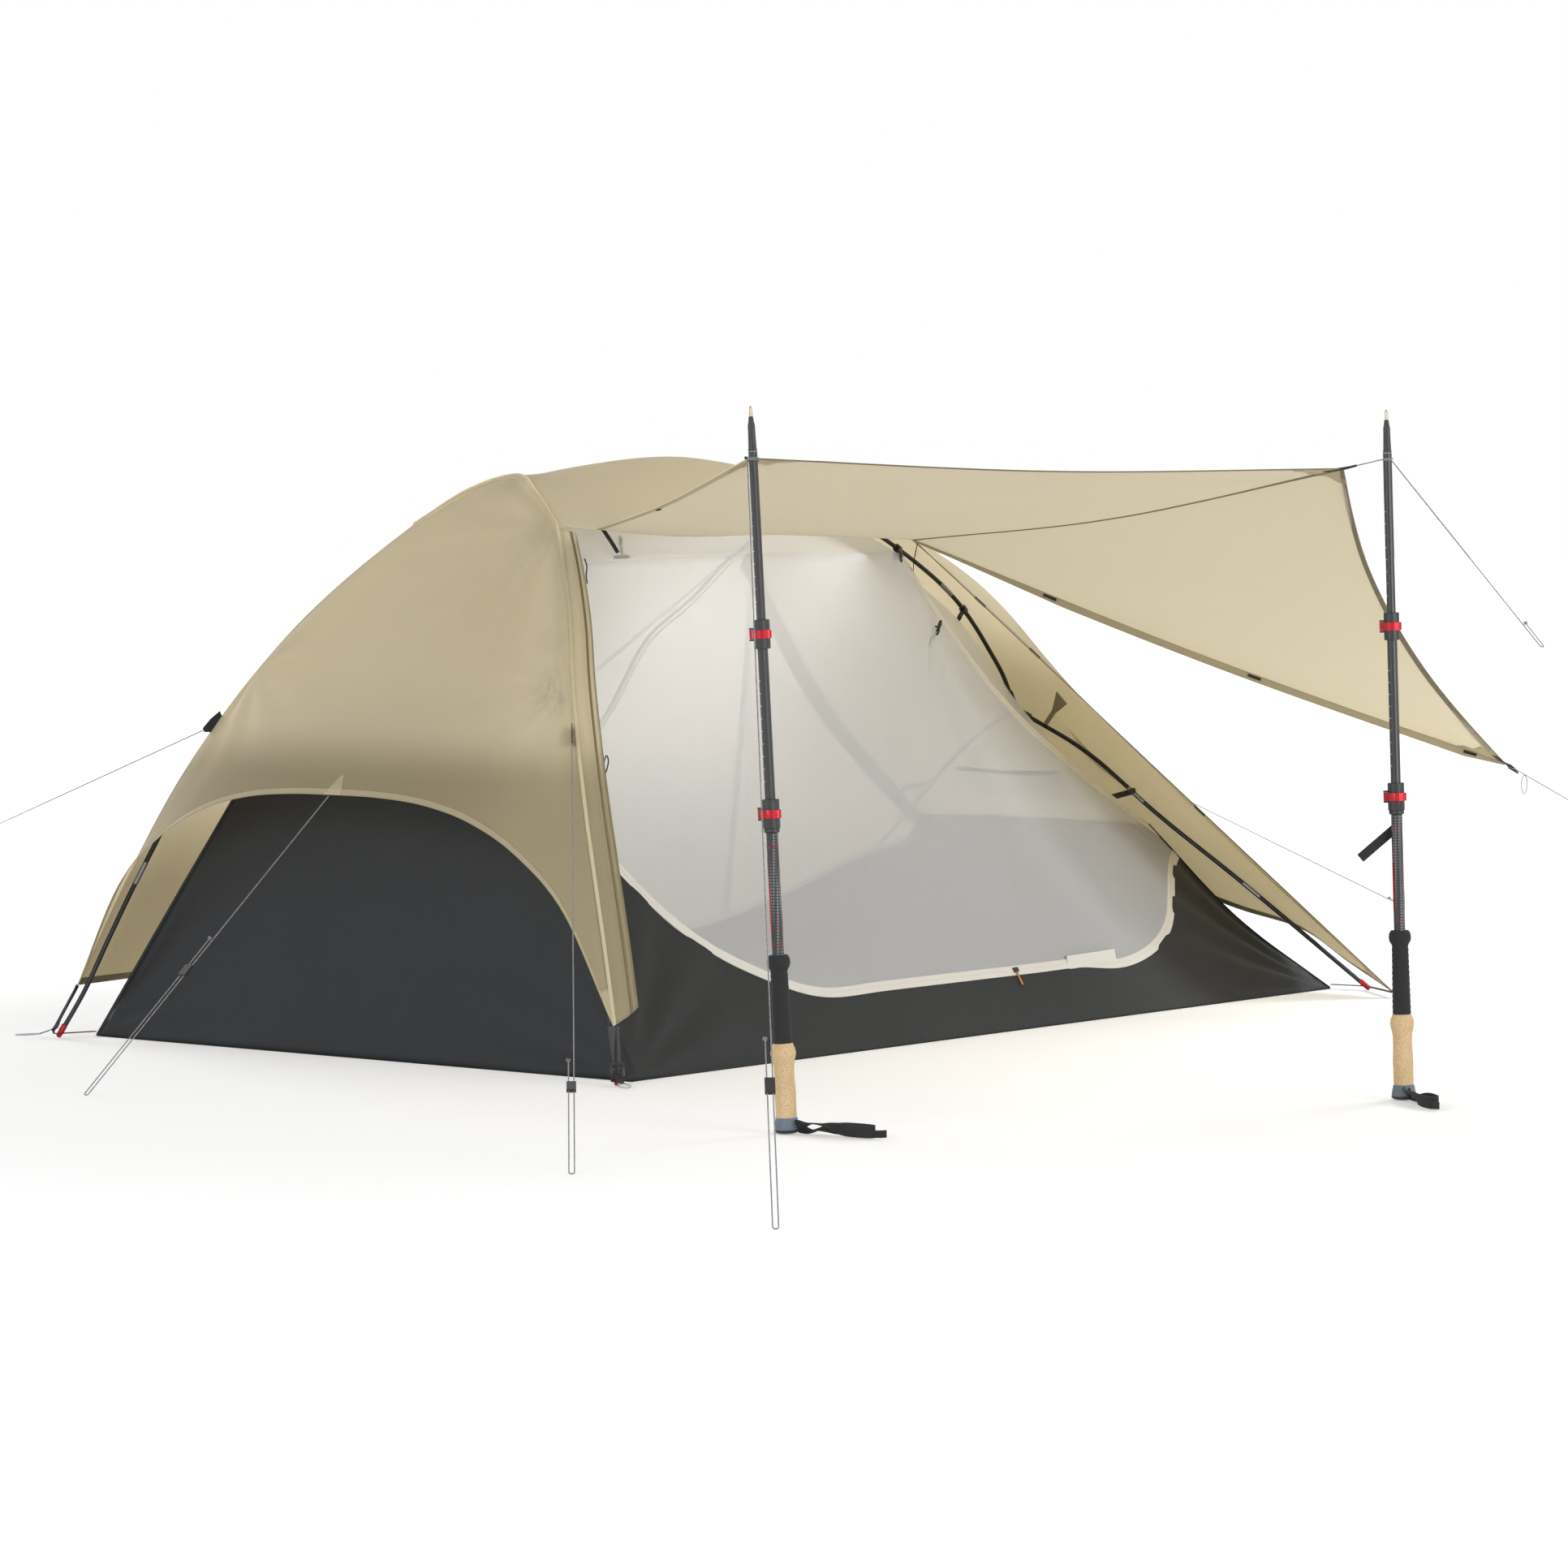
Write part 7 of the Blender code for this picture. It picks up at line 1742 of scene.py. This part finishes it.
FAR_ARCH = [(-0.060, 0.372, 0.470), (-0.015, 0.354, 0.541), (0.010, 0.327, 0.602), (0.046, 0.272, 0.722),
            (0.139, 0.236, 0.799), (0.216, 0.198, 0.882)]
arch_line, arch_normals = smooth_curve(FAR_ARCH, 60), np.tile((0.0, -0.9, -0.4), (60, 1))
# The far zip's tape is the white binding with painted shade, grey like the far bindings.
seam_band("far_arch_tape", arch_line, arch_normals, *ZIP_TAPE, GREY_TAPE)
seam_band("far_arch_teeth", arch_line, arch_normals, *ZIP_TEETH, BINDING)

# %% [markdown]
# Each wrist strap is a loop of webbing that comes out of the grip's head and lies beside it. The strands
# turn as they go: one lies low and the other stands higher near the head, which leaves an eye between
# them. Each row below gives the way out from the pole, the sideways place, the height and the lean.

# %% Lay the wrist straps down
STRAP_WIDTH = 0.020
STRAP_LOOP = [(0.018, -0.003, 0.0120, 0.0), (0.040, -0.008, 0.0060, 0.9), (0.066, -0.010, 0.0090, 0.45),
              (0.095, -0.012, 0.0112, 0.0), (0.135, -0.011, 0.0112, 0.0), (0.156, -0.002, 0.0112, 0.0),
              (0.147, 0.009, 0.0112, 0.0), (0.112, 0.014, 0.0125, 0.2), (0.078, 0.013, 0.0170, 0.7),
              (0.045, 0.009, 0.0190, 0.9), (0.018, 0.003, 0.0140, 0.3)]
STRAP_TAIL = [(0.146, 0.006, 0.0080, 0.2), (0.164, 0.004, 0.0080, 0.1), (0.178, 0.002, 0.0090, 0.0)]


def strap_band(name, foot, way, rows, width, count):
    """A strap beside a pole's foot that leans as its rows say, and its length."""
    across = way.cross(UP)
    line = smooth_curve([foot + way * x + across * y + UP * z for x, y, z, _ in rows], count)
    shares, leans = np.linspace(0, 1, len(rows)), [row[3] for row in rows]
    lean = np.interp(np.linspace(0, 1, count), shares, leans)[:, None]
    half = unit(np.array(UP) * (1 - lean) + np.array(across) * lean) * width / 2
    return band_piece(name, line + half, line - half, TAPE, WEBBING), line_run(line)[-1]


for number, here, way in ((1, TREK_1, Vector((0.03, -0.17, 0))), (2, TREK_2, Vector((-0.13, -0.16, 0)))):
    foot, name = here.translation, f"trek_{number}_wrist_strap"
    strap, length = strap_band(name + "_loop", foot, way.normalized(), STRAP_LOOP, STRAP_WIDTH, 61)
    tail, _ = strap_band(name + "_tail", foot, way.normalized(), STRAP_TAIL, STRAP_WIDTH * 0.6, 9)
    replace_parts(strap, name)
    print(f"{name}: {STRAP_WIDTH:.3f} by {length:.3f} m laid flat")
